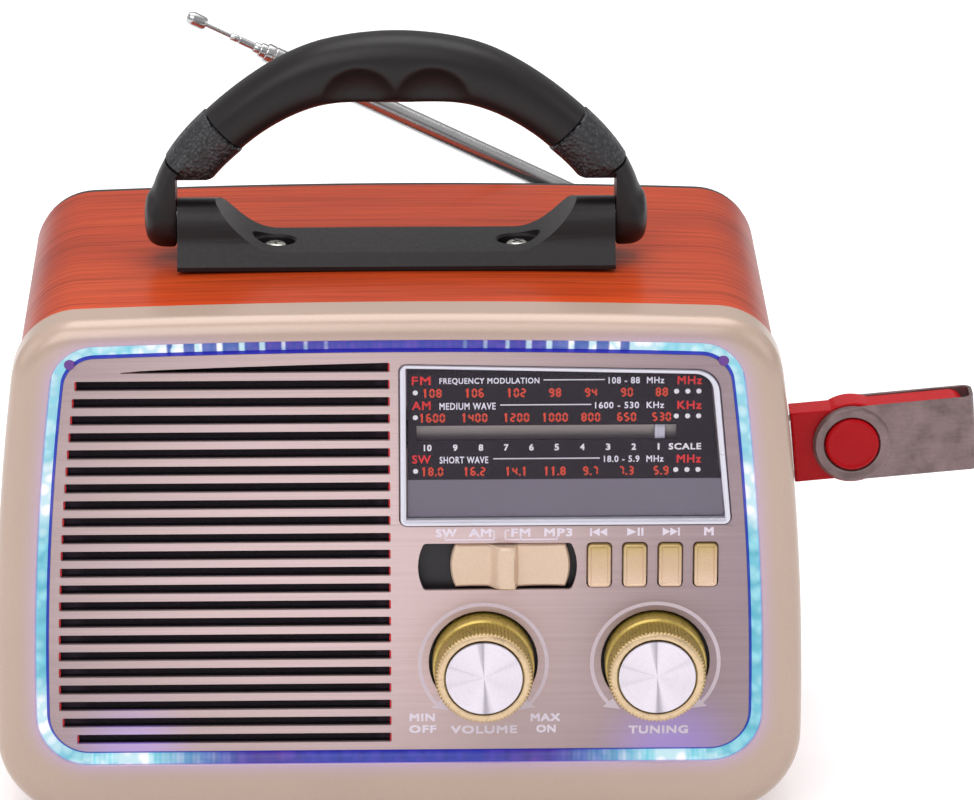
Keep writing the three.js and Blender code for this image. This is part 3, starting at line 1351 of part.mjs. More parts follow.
// ---------------------------------------------------------------- side port and memory stick
// The right wall of the wood at the port: its place and how far it leans back.
function portWall() {
  const outline = housing(WOOD_INSET);
  const rise = 4;
  const low = -leftEdge(outline, PORT_Z - rise);
  const high = -leftEdge(outline, PORT_Z + rise);
  return { x: (low + high) / 2, lean: Math.atan2(low - high, 2 * rise) };
}

// A solid drawn round the port's mouth, with +X out of the wall, carried to its place.
function inPort(body) {
  const { x, lean } = portWall();
  return body.rotate([0, -THREE.MathUtils.radToDeg(lean), 0]).translate([x, behind(PORT_DEPTH), PORT_Z]);
}

const portSpan = (margin) => [-PLUG_THICKNESS / 2 - 1.6 - margin, PLUG_THICKNESS / 2 + 1.6 + margin];
const portRise = (margin) => [-PLUG_WIDTH / 2 - 1.6 - margin, PLUG_WIDTH / 2 + 1.6 + margin];

// Plate round the mouth of the port, let onto the wood.
function portPlate() {
  const [across, up] = [PORT_PLATE_WIDTH / 2, PORT_PLATE_HEIGHT / 2];
  const outline = roundedBox(-across, across, -up, up, 2, 3);
  const geometry = extruded(new THREE.Shape(outline), PORT_PLATE_THICKNESS);
  geometry.rotateX(Math.PI / 2);
  geometry.rotateZ(Math.PI / 2);
  geometry.translate(GAP, 0, 0);
  const mouth = box(-5, 5, ...portSpan(GAP), ...portRise(GAP));
  return inPort(solid(geometry).subtract(mouth));
}

// Socket: a metal shell open to the right, with its tongue inside, on a small board.
function usbSocket() {
  const mouth = GAP + PORT_PLATE_THICKNESS - 0.2;
  const shell = box(mouth - 15, mouth, ...portSpan(0), ...portRise(0));
  const room = box(
    mouth - PLUG_LENGTH - 1,
    mouth + 1,
    -PLUG_THICKNESS / 2 - GAP,
    PLUG_THICKNESS / 2 + GAP,
    -PLUG_WIDTH / 2 - GAP,
    PLUG_WIDTH / 2 + GAP,
  );
  const side = PLUG_WIDTH / 2 - 1.4;
  const tongue = box(mouth - PLUG_LENGTH - 2, mouth - 2, -0.2, 1, -side, side);
  return inPort(shell.subtract(room).add(tongue));
}

const STICK_START = GAP + PORT_PLATE_THICKNESS + GAP;

// Outline of the stick's body from the front: a bar with a round swelling at its hub.
function stickOutline() {
  const half = STICK_HEIGHT / 2 - 0.9;
  const hub = STICK_START + STICK_LENGTH - STICK_HUB_FROM_END;
  const end = STICK_START + STICK_LENGTH;
  const swell = STICK_HUB_RADIUS + 0.6;
  const lean = Math.acos(half / swell);
  return [
    point(STICK_START, -half),
    ...arc(point(hub, 0), swell, -Math.PI / 2 - lean, -Math.PI / 2 + lean, 5),
    ...arc(point(end - 2, -half + 2), 2, -Math.PI / 2, 0, 3),
    ...arc(point(end - 2, half - 2), 2, 0, Math.PI / 2, 3),
    ...arc(point(hub, 0), swell, Math.PI / 2 - lean, Math.PI / 2 + lean, 5),
    point(STICK_START, half),
  ];
}

const stickHubX = () => STICK_START + STICK_LENGTH - STICK_HUB_FROM_END;

// A plate in the stick's own frame, drawn as (along, up), from y0 to y1 across it.
function across(outline, y0, y1) {
  return plate(outline, y0 - FRONT, y1 - FRONT);
}

// Body of the memory stick with its plug, and the two round hubs that the cover turns on.
function stickBody() {
  const half = STICK_THICKNESS / 2;
  const hub = circle(stickHubX(), 0, STICK_HUB_RADIUS - 2.4, 24);
  const body = across(stickOutline(), -half, half);
  const hubs = across(hub, -half - COVER_THICKNESS - GAP - 0.7, half + COVER_THICKNESS + GAP + 0.7);
  const mouth = GAP + PORT_PLATE_THICKNESS - 0.2;
  const plug = box(
    mouth - PLUG_LENGTH,
    STICK_START + 1,
    -PLUG_THICKNESS / 2,
    PLUG_THICKNESS / 2,
    -PLUG_WIDTH / 2,
    PLUG_WIDTH / 2,
  );
  const hollow = box(
    mouth - PLUG_LENGTH - 1,
    STICK_START - 0.8,
    -0.5,
    PLUG_THICKNESS / 2 - 0.5,
    -PLUG_WIDTH / 2 + 0.7,
    PLUG_WIDTH / 2 - 0.7,
  );
  return inPort(joined([body, hubs, plug]).subtract(hollow));
}

// Folded metal cover: a leaf on each face of the stick, a ring round each hub and a bend at the far end.
function stickCover() {
  const half = STICK_THICKNESS / 2 + GAP;
  const hub = stickHubX();
  const bend = STICK_START + STICK_LENGTH + 1.2;
  const rise = STICK_HEIGHT / 2 - 0.2;
  const ring = STICK_HUB_RADIUS + 0.1;
  const lean = Math.acos(rise / (ring + 0.2));
  const leafOutline = [
    ...arc(point(hub, 0), ring + 0.2, Math.PI / 2 - lean, 1.5 * Math.PI + lean, 14),
    point(bend, -rise),
    point(bend, rise),
  ];
  const bore = circle(hub, 0, STICK_HUB_RADIUS - 2.4 + GAP, 24);
  const leaves = [-1, 1].map((side) => {
    const near = side > 0 ? half : -half - COVER_THICKNESS;
    return across(leafOutline, near, near + COVER_THICKNESS);
  });
  const outside = half + COVER_THICKNESS;
  const fold = across(rectangle(bend - 0.2, bend + COVER_THICKNESS, -rise, rise), -outside, outside);
  const eye = across(
    [...arc(point(bend + COVER_THICKNESS, 0), 2.4, -Math.PI / 2, Math.PI / 2, 8)],
    -0.5,
    0.5,
  );
  const eyeHole = across(circle(bend + COVER_THICKNESS + 0.7, 0, 1, 10), -2, 2);
  const holes = across(bore, -half - 5, half + 5);
  return inPort(without(joined([...leaves, fold, eye]), [holes, eyeHole]));
}

// ---------------------------------------------------------------- rear
const TRAY_FRONT = BODY_DEPTH - TRAY_DEPTH - 3.4;
const DOOR_THICKNESS = 1.8;
const DOOR_WIDTH = TRAY_WIDTH + 4;
const DOOR_HEIGHT = TRAY_HEIGHT + 4;
const DOOR_LOW = FOOT_HEIGHT + TRAY_LOW - 2;
const VENT_COUNT = 5;

// Rear cover with its tongue, battery tray, vents, socket hole and a boss for the aerial.
function rearCover() {
  const cover = loft([
    housingLoop(WOOD_INSET + 0.3, REAR_FRONT),
    housingLoop(WOOD_INSET + 0.3, BODY_DEPTH - REAR_EDGE),
    housingLoop(WOOD_INSET + 0.3 + REAR_EDGE * 0.3, BODY_DEPTH - REAR_EDGE * 0.3),
    housingLoop(WOOD_INSET + 0.3 + REAR_EDGE, BODY_DEPTH),
  ]);
  const tongue = plate(housing(TONGUE_INSET), REAR_FRONT - TONGUE_DEPTH, REAR_FRONT + 1, [
    housing(TONGUE_INSET + TONGUE_WALL),
  ]);
  const half = TRAY_WIDTH / 2;
  const low = FOOT_HEIGHT + TRAY_LOW;
  const tray = box(
    -half - TRAY_WALL,
    half + TRAY_WALL,
    behind(TRAY_FRONT - TRAY_WALL),
    behind(REAR_FRONT + 1),
    low - TRAY_WALL,
    low + TRAY_HEIGHT + TRAY_WALL,
  );
  const cavity = box(-half, half, behind(TRAY_FRONT), behind(BODY_DEPTH + 1), low, low + TRAY_HEIGHT);
  const rebate = box(
    -DOOR_WIDTH / 2 - GAP,
    DOOR_WIDTH / 2 + GAP,
    behind(BODY_DEPTH - DOOR_THICKNESS - GAP),
    behind(BODY_DEPTH + 1),
    DOOR_LOW - GAP,
    DOOR_LOW + DOOR_HEIGHT + GAP,
  );
  const vents = Array.from({ length: VENT_COUNT }, (_, i) => {
    const z = SPEAKER_Z + 8 + i * 6;
    const slot = roundedBox(SPEAKER_X - 20, SPEAKER_X + 20, z - 1.2, z + 1.2, 1, 2);
    return plate(slot, REAR_FRONT - 1, BODY_DEPTH + 1);
  });
  const socket = plate(circle(DC_X, DC_Z, DC_RADIUS + GAP, 20), REAR_FRONT - 1, BODY_DEPTH + 1);
  const screw = plate(circle(AERIAL_X, AERIAL_Z, 1.5 + GAP, 12), REAR_FRONT - 1, BODY_DEPTH + 1);
  return without(joined([cover, tongue, tray]), [cavity, rebate, ...vents, socket, screw]);
}

// Flat cell in the tray, lying on the tray's floor.
function batteryPack() {
  const low = FOOT_HEIGHT + TRAY_LOW + GAP;
  return plate(
    roundedBox(-TRAY_WIDTH / 2 + GAP, TRAY_WIDTH / 2 - GAP, low, low + TRAY_HEIGHT - 2 * GAP, 1.5, 2),
    TRAY_FRONT + GAP,
    BODY_DEPTH - DOOR_THICKNESS - 2 * GAP - 1,
  );
}

// Door over the tray, with a round knuckle along its lower edge and a finger catch at its top.
function batteryDoor() {
  const half = DOOR_WIDTH / 2;
  const round = DOOR_THICKNESS / 2;
  const high = DOOR_LOW + DOOR_HEIGHT;
  const leaf = plate(rectangle(-half, half, DOOR_LOW + round, high), BODY_DEPTH - DOOR_THICKNESS, BODY_DEPTH);
  const edge = placed(rod(round, -half, half, 12, 'x'), 0, behind(BODY_DEPTH - round), DOOR_LOW + round);
  const grip = plate(roundedBox(-8, 8, high - 7, high - 3, 1.8, 3), BODY_DEPTH - 0.8, BODY_DEPTH + 1);
  const ribs = [0, 1, 2].map((i) => {
    const z = high - 6.2 + i * 1.2;
    return box(-6, 6, behind(BODY_DEPTH - 1), behind(BODY_DEPTH - 0.2), z - 0.25, z + 0.25);
  });
  return joined([leaf.subtract(grip), edge, ...ribs]);
}

// Round inlet for a direct-current plug.
function dcSocket() {
  const barrel = placed(rod(DC_RADIUS, behind(BODY_DEPTH - 9), behind(BODY_DEPTH - 0.2), 20), DC_X, 0, DC_Z);
  const block = rectangle(DC_X - 4.5, DC_X + 4.5, DC_Z - 5.5, DC_Z + 4.5);
  const back = plate(block, BODY_DEPTH - 14, REAR_FRONT - GAP);
  const bore = placed(rod(2.8, behind(BODY_DEPTH - 8), behind(BODY_DEPTH + 1), 20), DC_X, 0, DC_Z);
  const pin = placed(rod(1, behind(BODY_DEPTH - 9), behind(BODY_DEPTH - 1.5), 10), DC_X, 0, DC_Z);
  return barrel.add(back).subtract(bore).add(pin);
}

// ---------------------------------------------------------------- aerial
const AERIAL_PIVOT_DEPTH = BODY_DEPTH + AERIAL_STAND_OFF;
const RIVET_RADIUS = 0.7;

// Round bracket on the rear cover that the aerial's foot turns in.
function antennaMount() {
  const profile = [
    [1.5 + GAP, BODY_DEPTH + GAP],
    [6, BODY_DEPTH + GAP],
    [6, BODY_DEPTH + 0.9],
    [5.2, BODY_DEPTH + 1.5],
    [1.5 + GAP, BODY_DEPTH + 1.5],
    [1.5 + GAP, BODY_DEPTH + GAP],
  ];
  return placed(turnedBehind(profile, 24), AERIAL_X, 0, AERIAL_Z);
}

// A solid drawn with +X along the aerial from its swivel, carried to its place.
function onAerial(body) {
  return body
    .rotate([0, 180 + AERIAL_ANGLE, 0])
    .translate([AERIAL_X, behind(AERIAL_PIVOT_DEPTH), AERIAL_Z]);
}

// Swivel foot: a pin through the rear cover, a round head and a fork at the elbow.
function antennaKnuckle() {
  const head = BODY_DEPTH + 1.5 + GAP - AERIAL_PIVOT_DEPTH;
  const pin = rod(1.5, REAR_FRONT - 3 - AERIAL_PIVOT_DEPTH, 0, 12);
  const nut = rod(3, REAR_FRONT - 3 - AERIAL_PIVOT_DEPTH, REAR_FRONT - GAP - AERIAL_PIVOT_DEPTH, 6);
  const disc = rod(4.6, head, 2.4, 16);
  const fork = slab([
    point(0, -2.4),
    ...arc(point(AERIAL_ELBOW, 0), 2.4, -Math.PI / 2, Math.PI / 2, 8),
    point(0, 2.4),
  ], -2.3, 2.3);
  const slot = box(AERIAL_ELBOW - 3.4, AERIAL_ELBOW + 4, -4, 4, -0.6 - GAP, 0.6 + GAP);
  const rivet = placed(rod(RIVET_RADIUS, -2.7, 2.7, 10, 'z'), AERIAL_ELBOW, 0, 0);
  return onAerial(joined([pin, nut, disc, fork]).subtract(slot).add(rivet));
}

// Distances of each section's mouth from the swivel.
function tubeEnds() {
  let end = AERIAL_ELBOW + TUBE_LENGTH;
  return TUBE_REST.map((rest) => {
    end += rest;
    return end;
  });
}

// Distances of each section's foot from the swivel, clear of the one before it when pushed right in.
function tubeStarts() {
  let start = AERIAL_ELBOW + TUBE_FOOT;
  return TUBE_REST.map((rest) => {
    start += rest;
    return start;
  });
}

// One section: hollow but for the last, closed at the foot of the first by a flat tongue with a round end.
function antennaTube(index) {
  const end = tubeEnds()[index];
  const radius = TUBE_RADII[index];
  const bore = TUBE_BORES[index];
  const start = tubeStarts()[index];
  if (index === TUBE_RADII.length - 1) {
    const tip = end + TUBE_TIP;
    return onAerial(turned([
      [0, start],
      [radius, start],
      [radius, end],
      [1.5, end + 0.4],
      [1.7, tip - 1.2],
      [1.1, tip],
      [0, tip],
    ], 8, 'x'));
  }
  const wall = turned([[bore, start], [radius, start], [radius, end], [bore, end], [bore, start]], 10, 'x');
  if (index > 0) return onAerial(wall);
  const plug = rod(radius, start - 2, start + 0.6, 10, 'x');
  const tongue = elbowTongue(start);
  return onAerial(joined([wall, plug, tongue]));
}

// Flat tongue between the fork's cheeks, round at the elbow, with a hole for the rivet.
function elbowTongue(start) {
  const half = 0.6;
  const outline = [
    ...arc(point(AERIAL_ELBOW, 0), 2, Math.PI / 2, 1.5 * Math.PI, 8),
    point(start - 1, -2),
    point(start - 1, 2),
  ];
  const hole = placed(rod(RIVET_RADIUS + GAP, -3, 3, 10, 'z'), AERIAL_ELBOW, 0, 0);
  return slab(outline, -half, half).subtract(hole);
}

// ---------------------------------------------------------------- the assembly
const standing = new THREE.Group(); // everything, measured from the table
standing.position.z = -FOOT_HEIGHT - WOOD_INSET;

function add(name, body, material) {
  const mesh = new THREE.Mesh(geometryOf(body), material);
  mesh.name = name;
  standing.add(mesh);
}

add('cabinet_shell', cabinetShell(), WOOD);
add('front_bezel', frontBezel(), CREAM);
add('rear_cover', rearCover(), BLACK_PLASTIC);
for (const [name, sideX, sideY] of FOOT_PLACES) {
  const depth = sideY < 0 ? WOOD_FRONT + FOOT_RADIUS + FOOT_MARGIN : WOOD_BACK - FOOT_RADIUS - FOOT_MARGIN;
  add(name, foot(sideX * FOOT_X, behind(depth)), RUBBER);
}

add('light_guide', lightGuide(), LIGHT);
add('led_board', ledBoard(), WHITE);
add('front_panel', frontPanel(), FACING);
add('speaker_cloth', speakerCloth(), CLOTH);
add('speaker_basket', speakerBasket(), STEEL);
add('speaker_cone', speakerCone(), PAPER);

add('dial_frame', dialFrame(), SILVER);
add('dial_window', dialWindow(), CLEAR);
add('dial_plate', dialPlate(), DIAL_BLACK);
add('dial_pointer', dialPointer(), WHITE);
add('dial_cord', dialCord(), WHITE);
add('tuning_drum', tuningDrum(), WHITE);
add('pulley_left', pulley(PULLEY_LEFT_X), WHITE);
add('pulley_right', pulley(PULLEY_RIGHT_X), WHITE);
add('tuning_capacitor', tuningCapacitor(), WHITE);

add('volume_control', volumeControl(), STEEL);
add('volume_knob', knob(VOLUME_X, VOLUME_FRONT + SHAFT_INTO), GOLD);
add('volume_knob_cap', knobCap(VOLUME_X), SPUN);
add('tuning_knob', knob(TUNING_X, CAPACITOR_FRONT + SHAFT_INTO), GOLD);
add('tuning_knob_cap', knobCap(TUNING_X), SPUN);

add('band_slider', bandSlider(), CHAMPAGNE);
add('band_switch', bandSwitch(), STEEL);
['key_previous', 'key_play', 'key_next', 'key_mode'].forEach((name, i) => {
  add(name, key(KEY_CENTRES[i]), CHAMPAGNE);
});
add('key_board', keyBoard(), BOARD);
add('main_board', mainBoard(), BOARD);
add('ferrite_rod', ferriteRod(), FERRITE);

add('handle_base', handleBase(), BLACK_PLASTIC);
add('handle_screw_left', handleScrew(-SCREW_X), CHROME);
add('handle_screw_right', handleScrew(SCREW_X), CHROME);
add('handle_bow', handleBow(), BLACK_PLASTIC);
add('handle_sleeve_left', handleSleeve(-1), RUBBER);
add('handle_sleeve_right', handleSleeve(1), RUBBER);
add('handle_pin_left', handlePin(-1), STEEL);
add('handle_pin_right', handlePin(1), STEEL);

add('port_plate', portPlate(), CREAM);
add('usb_socket', usbSocket(), STEEL);
add('usb_stick_body', stickBody(), RED);
add('usb_stick_cover', stickCover(), STEEL);

add('battery_pack', batteryPack(), BATTERY);
add('battery_door', batteryDoor(), BLACK_PLASTIC);
add('dc_socket', dcSocket(), BLACK_PLASTIC);

add('antenna_mount', antennaMount(), BLACK_PLASTIC);
add('antenna_knuckle', antennaKnuckle(), CHROME);
TUBE_RADII.forEach((_, i) => {
  add(`antenna_tube_${i + 1}`, antennaTube(i), CHROME);
});

const radio = new THREE.Group();
radio.add(standing);

export default radio;
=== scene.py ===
"""Tabletop radio with a lit front, swivel aerial, folding handle and swivel memory stick.

Every length in the functions is in millimetres, in the frame's own axes: X to the right, Y to the back
and Z up. A piece is turned to metres when its mesh is made.
"""

import json
from math import acos, asin, atan2, copysign, cos, hypot, pi, radians, sin, sqrt, tan

import bmesh
import bpy
from bpy.props import FloatProperty, FloatVectorProperty, IntProperty, PointerProperty
from bpy.types import Operator, PropertyGroup
from mathutils import Matrix, Vector
from mathutils.geometry import tessellate_polygon


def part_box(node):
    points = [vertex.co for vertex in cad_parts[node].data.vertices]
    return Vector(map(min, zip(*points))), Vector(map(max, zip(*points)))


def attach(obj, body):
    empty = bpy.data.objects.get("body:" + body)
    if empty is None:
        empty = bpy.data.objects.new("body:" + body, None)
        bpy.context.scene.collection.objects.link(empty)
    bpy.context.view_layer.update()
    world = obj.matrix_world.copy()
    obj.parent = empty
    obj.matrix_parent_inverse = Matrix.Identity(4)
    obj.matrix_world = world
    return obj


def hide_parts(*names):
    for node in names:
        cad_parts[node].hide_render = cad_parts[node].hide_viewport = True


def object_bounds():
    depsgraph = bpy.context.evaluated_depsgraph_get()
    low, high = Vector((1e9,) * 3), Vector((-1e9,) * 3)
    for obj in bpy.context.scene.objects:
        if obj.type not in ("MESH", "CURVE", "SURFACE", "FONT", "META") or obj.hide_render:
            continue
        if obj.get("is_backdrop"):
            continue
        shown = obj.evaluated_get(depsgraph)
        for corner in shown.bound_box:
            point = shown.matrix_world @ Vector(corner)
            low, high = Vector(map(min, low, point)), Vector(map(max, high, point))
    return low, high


bl_info = {
    "name": "Tabletop Radio",
    "version": (1, 0, 0),
    "blender": (4, 5, 0),
    "location": "3D View > Sidebar > Radio",
    "description": "Builds the visible pieces of a tabletop radio around its packed model",
    "category": "Object",
}

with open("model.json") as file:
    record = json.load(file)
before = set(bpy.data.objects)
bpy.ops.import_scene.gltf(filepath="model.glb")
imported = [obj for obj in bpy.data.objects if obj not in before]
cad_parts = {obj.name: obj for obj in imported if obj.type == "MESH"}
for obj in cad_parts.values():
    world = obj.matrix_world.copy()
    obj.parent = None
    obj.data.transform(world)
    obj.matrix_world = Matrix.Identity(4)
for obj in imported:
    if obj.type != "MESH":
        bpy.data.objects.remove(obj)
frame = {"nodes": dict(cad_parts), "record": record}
CAD_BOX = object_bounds()
NODES = frame["nodes"]


def edges(node):
    """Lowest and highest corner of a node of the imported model, in millimetres."""
    low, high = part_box(node)
    return low * 1000, high * 1000


def middle(node):
    """Middle of a node's box, in millimetres."""
    low, high = edges(node)
    return (low + high) / 2


# ---- sizes that every piece shares
GAP = 0.3
BEZEL_LOW, BEZEL_HIGH = edges("front_bezel")
FRONT = BEZEL_LOW.y
BASE = BEZEL_LOW.z
CROWN = BEZEL_HIGH.z
WIDTH = BEZEL_HIGH.x - BEZEL_LOW.x
TOP_WIDTH = WIDTH - 10
DEPTH = 104
BEZEL_DEPTH = 12
REAR_PANEL = 3  # thickness
WOOD_INSET = 1
WOOD_WALL = 4
LIGHT_LOW = 13.65
LIGHT_HIGH = 5.2
LIGHT_WIDTH = 2.8
GROOVE_TOP = CROWN - LIGHT_HIGH
# depths behind the front of the housing
PANEL_FRONT = 1
PANEL_BACK = 3.6
BAFFLE_FRONT = 3.9
BAFFLE_BACK = 6.3
GROOVE_FLOOR = 8.2
# the grille
SLOT_PITCH = 3.93
SLOT_COUNT = 23
SLOT_RIGHT = -1.8
SLOT_EDGE = 2.2
SLOT_LOW = BASE + LIGHT_LOW + LIGHT_WIDTH
# knobs, switch, keys and dial
KNOB_VOLUME = middle("volume_knob_cap")
KNOB_TUNING = middle("tuning_knob_cap")
KNOB_HOLE = 12
KNOB_FRONT = edges("volume_knob")[0].y
LAMPS = (-59, 60)
LAMP_Z = BASE + LIGHT_LOW + LIGHT_WIDTH / 2
SWITCH_Z = middle("band_slider").z
SWITCH_LOW = 4.2
SWITCH_HIGH = edges("band_slider")[1].x + 1.5
SWITCH_BOW = 1.3
KEYS = {name: middle(name).x for name in ("key_previous", "key_play", "key_next", "key_mode")}
KEY_WIDTH = 5
KEY_HEIGHT = 9.9
POINTER_SLOT = (4, edges("dial_pointer")[1].x + 2.5)
POINTER_Z = middle("dial_pointer").z
PIVOT = Vector((0, middle("handle_base").y, edges("handle_pin_left")[0].z + 2))
SIDES = ((-1, "left"), (1, "right"))


def behind(depth):
    """Place along Y of a depth behind the front of the housing."""
    return FRONT + depth


def shade(*parts):
    """A colour as it looks on a screen, red, green and blue from 0 to 255, as the shaders take it."""
    shares = (part / 255 for part in parts)
    return Vector([v / 12.92 if v <= 0.04045 else ((v + 0.055) / 1.055) ** 2.4 for v in shares])


def held(value):
    """A value held between 0 and 1."""
    return min(max(value, 0), 1)


# ---- outlines, as (x, z) pairs seen from the front
def arc(centre, radius, start, end, steps):
    turns = [start + (end - start) * i / steps for i in range(steps + 1)]
    return [(centre[0] + radius * cos(t), centre[1] + radius * sin(t)) for t in turns]


def quarter(steps):
    """Shares of a round edge's radius from its two faces, going round it."""
    turns = [pi / 2 * i / steps for i in range(steps + 1)]
    return [(1 - sin(turn), 1 - cos(turn)) for turn in turns]


def circle(x, z, radius, steps=48):
    return arc((x, z), radius, 0, 2 * pi, steps)[:-1]


def rectangle(x0, x1, z0, z1):
    return [(x0, z0), (x1, z0), (x1, z1), (x0, z1)]


def upright(x, z0, z1, half):
    """A thin rectangle round an upright line."""
    return rectangle(x - half, x + half, z0, z1)


def filleted(corners, steps):
    """Straight edges joined by round corners, counter-clockwise. Each corner is (x, z, radius)."""
    points = []
    for i, (x, z, radius) in enumerate(corners):
        here = Vector((x, z))
        back = (Vector(corners[i - 1][:2]) - here).normalized()
        on = (Vector(corners[(i + 1) % len(corners)][:2]) - here).normalized()
        half = back.angle(on) / 2
        to_middle = (back + on).normalized()
        centre = here + to_middle * (radius / sin(half))
        towards = atan2(-to_middle.y, -to_middle.x)
        sweep = pi / 2 - half
        points += arc(centre, radius, towards - sweep, towards + sweep, steps)
    return points


def rounded_box(x0, x1, z0, z1, radius, steps):
    return filleted([(x, z, radius) for x, z in rectangle(x0, x1, z0, z1)], steps)


def bearing(start, end):
    return atan2(end[1] - start[1], end[0] - start[0])


def rounded_trapezoid(width, top_width, low, high, low_radius, high_radius):
    """Outline with bowed sides and crown, whose arcs run into each other without a kink.

    The function that comes back gives the outline moved in by any distance, with as many corners.
    """
    side_radius = 600
    crown_radius = 1900
    crown = Vector((0, high - crown_radius))
    high_x = top_width / 2 - high_radius
    corner = Vector((high_x, crown.y + sqrt((crown_radius - high_radius) ** 2 - high_x**2)))
    foot = Vector((width / 2 - low_radius, low + low_radius))
    along = corner - foot
    near, far = side_radius - low_radius, side_radius - high_radius
    reach = (near**2 - far**2 + along.length_squared) / (2 * along.length)
    along.normalize()
    side = foot + along * reach + Vector((-along.y, along.x)) * sqrt(near**2 - reach**2)
    turns = (-pi / 2, bearing(side, foot), bearing(side, corner), bearing(crown, corner), pi / 2)
    arcs = [(foot, low_radius, 14), (side, side_radius, 18)]
    arcs += [(corner, high_radius, 14), (crown, crown_radius, 18)]

    def outline(inset):
        right = []
        for (centre, radius, steps), start, end in zip(arcs, turns, turns[1:]):
            right += arc(centre, radius - inset, start, end, steps)[1 if right else 0 :]
        return right + [(-x, z) for x, z in right[-2::-1]]

    return outline


housing = rounded_trapezoid(WIDTH, TOP_WIDTH, BASE, CROWN, 19, 15)
groove = rounded_trapezoid(WIDTH - 18, TOP_WIDTH - 17.2, BASE + LIGHT_LOW, GROOVE_TOP, 11.5, 10)


def pairs_round(loop):
    """Each corner of a loop with the one after it."""
    return list(zip(loop, loop[1:] + loop[:1]))


def left_edge(outline, z):
    """Place along X where the left side of an outline crosses a height."""
    for (ax, az), (bx, bz) in pairs_round(outline):
        if ax < 0 and bx < 0 and az != bz and (az - z) * (bz - z) <= 0:
            return ax + (bx - ax) * (z - az) / (bz - az)
    raise ValueError(f"the outline has no left side at height {z}")


def moved_in(loop, distance):
    """A counter-clockwise loop with each corner moved in, away from the loop's outside."""
    points = []
    for i, here in enumerate(loop):
        here = Vector(here)
        back = (here - Vector(loop[i - 1])).normalized()
        on = (Vector(loop[(i + 1) % len(loop)]) - here).normalized()
        inward = Vector((-on.y, on.x))
        aside = Vector((-back.y, back.x)) + inward
        if aside.length < 1e-6:
            aside = inward * 2
        aside.normalize()
        points.append(tuple(here + aside * distance / max(aside.dot(inward), 0.4)))
    return points


def resampled(loop, count):
    """The same loop with a given number of corners, as far apart as they go round it."""
    points = [Vector(point) for point in loop]
    points.append(points[0])
    spans = [(b - a).length for a, b in zip(points, points[1:])]
    step = sum(spans) / count
    found, index, start = [], 0, 0
    for i in range(count):
        goal = i * step
        while start + spans[index] < goal:
            start += spans[index]
            index += 1
        found.append(tuple(points[index].lerp(points[index + 1], (goal - start) / spans[index])))
    return found


def nearest_on(outline):
    """Gives how far a place lies inside an outline, less than 0 outside it, and the length round it there."""
    runs, total = [], 0
    for start, end in pairs_round([Vector(point) for point in outline]):
        runs.append((start, end - start, total))
        total += (end - start).length

    def nearest(x, z):
        here = Vector((x, z))
        found = []
        for start, run, before in runs:
            share = held((here - start).dot(run) / run.length_squared)
            away = here - start - run * share
            inside = run.x * away.y - run.y * away.x > 0
            found.append((away.length, before + share * run.length, inside))
        off, length, inside = min(found, key=lambda item: item[0])
        return (off if inside else -off), length

    return nearest


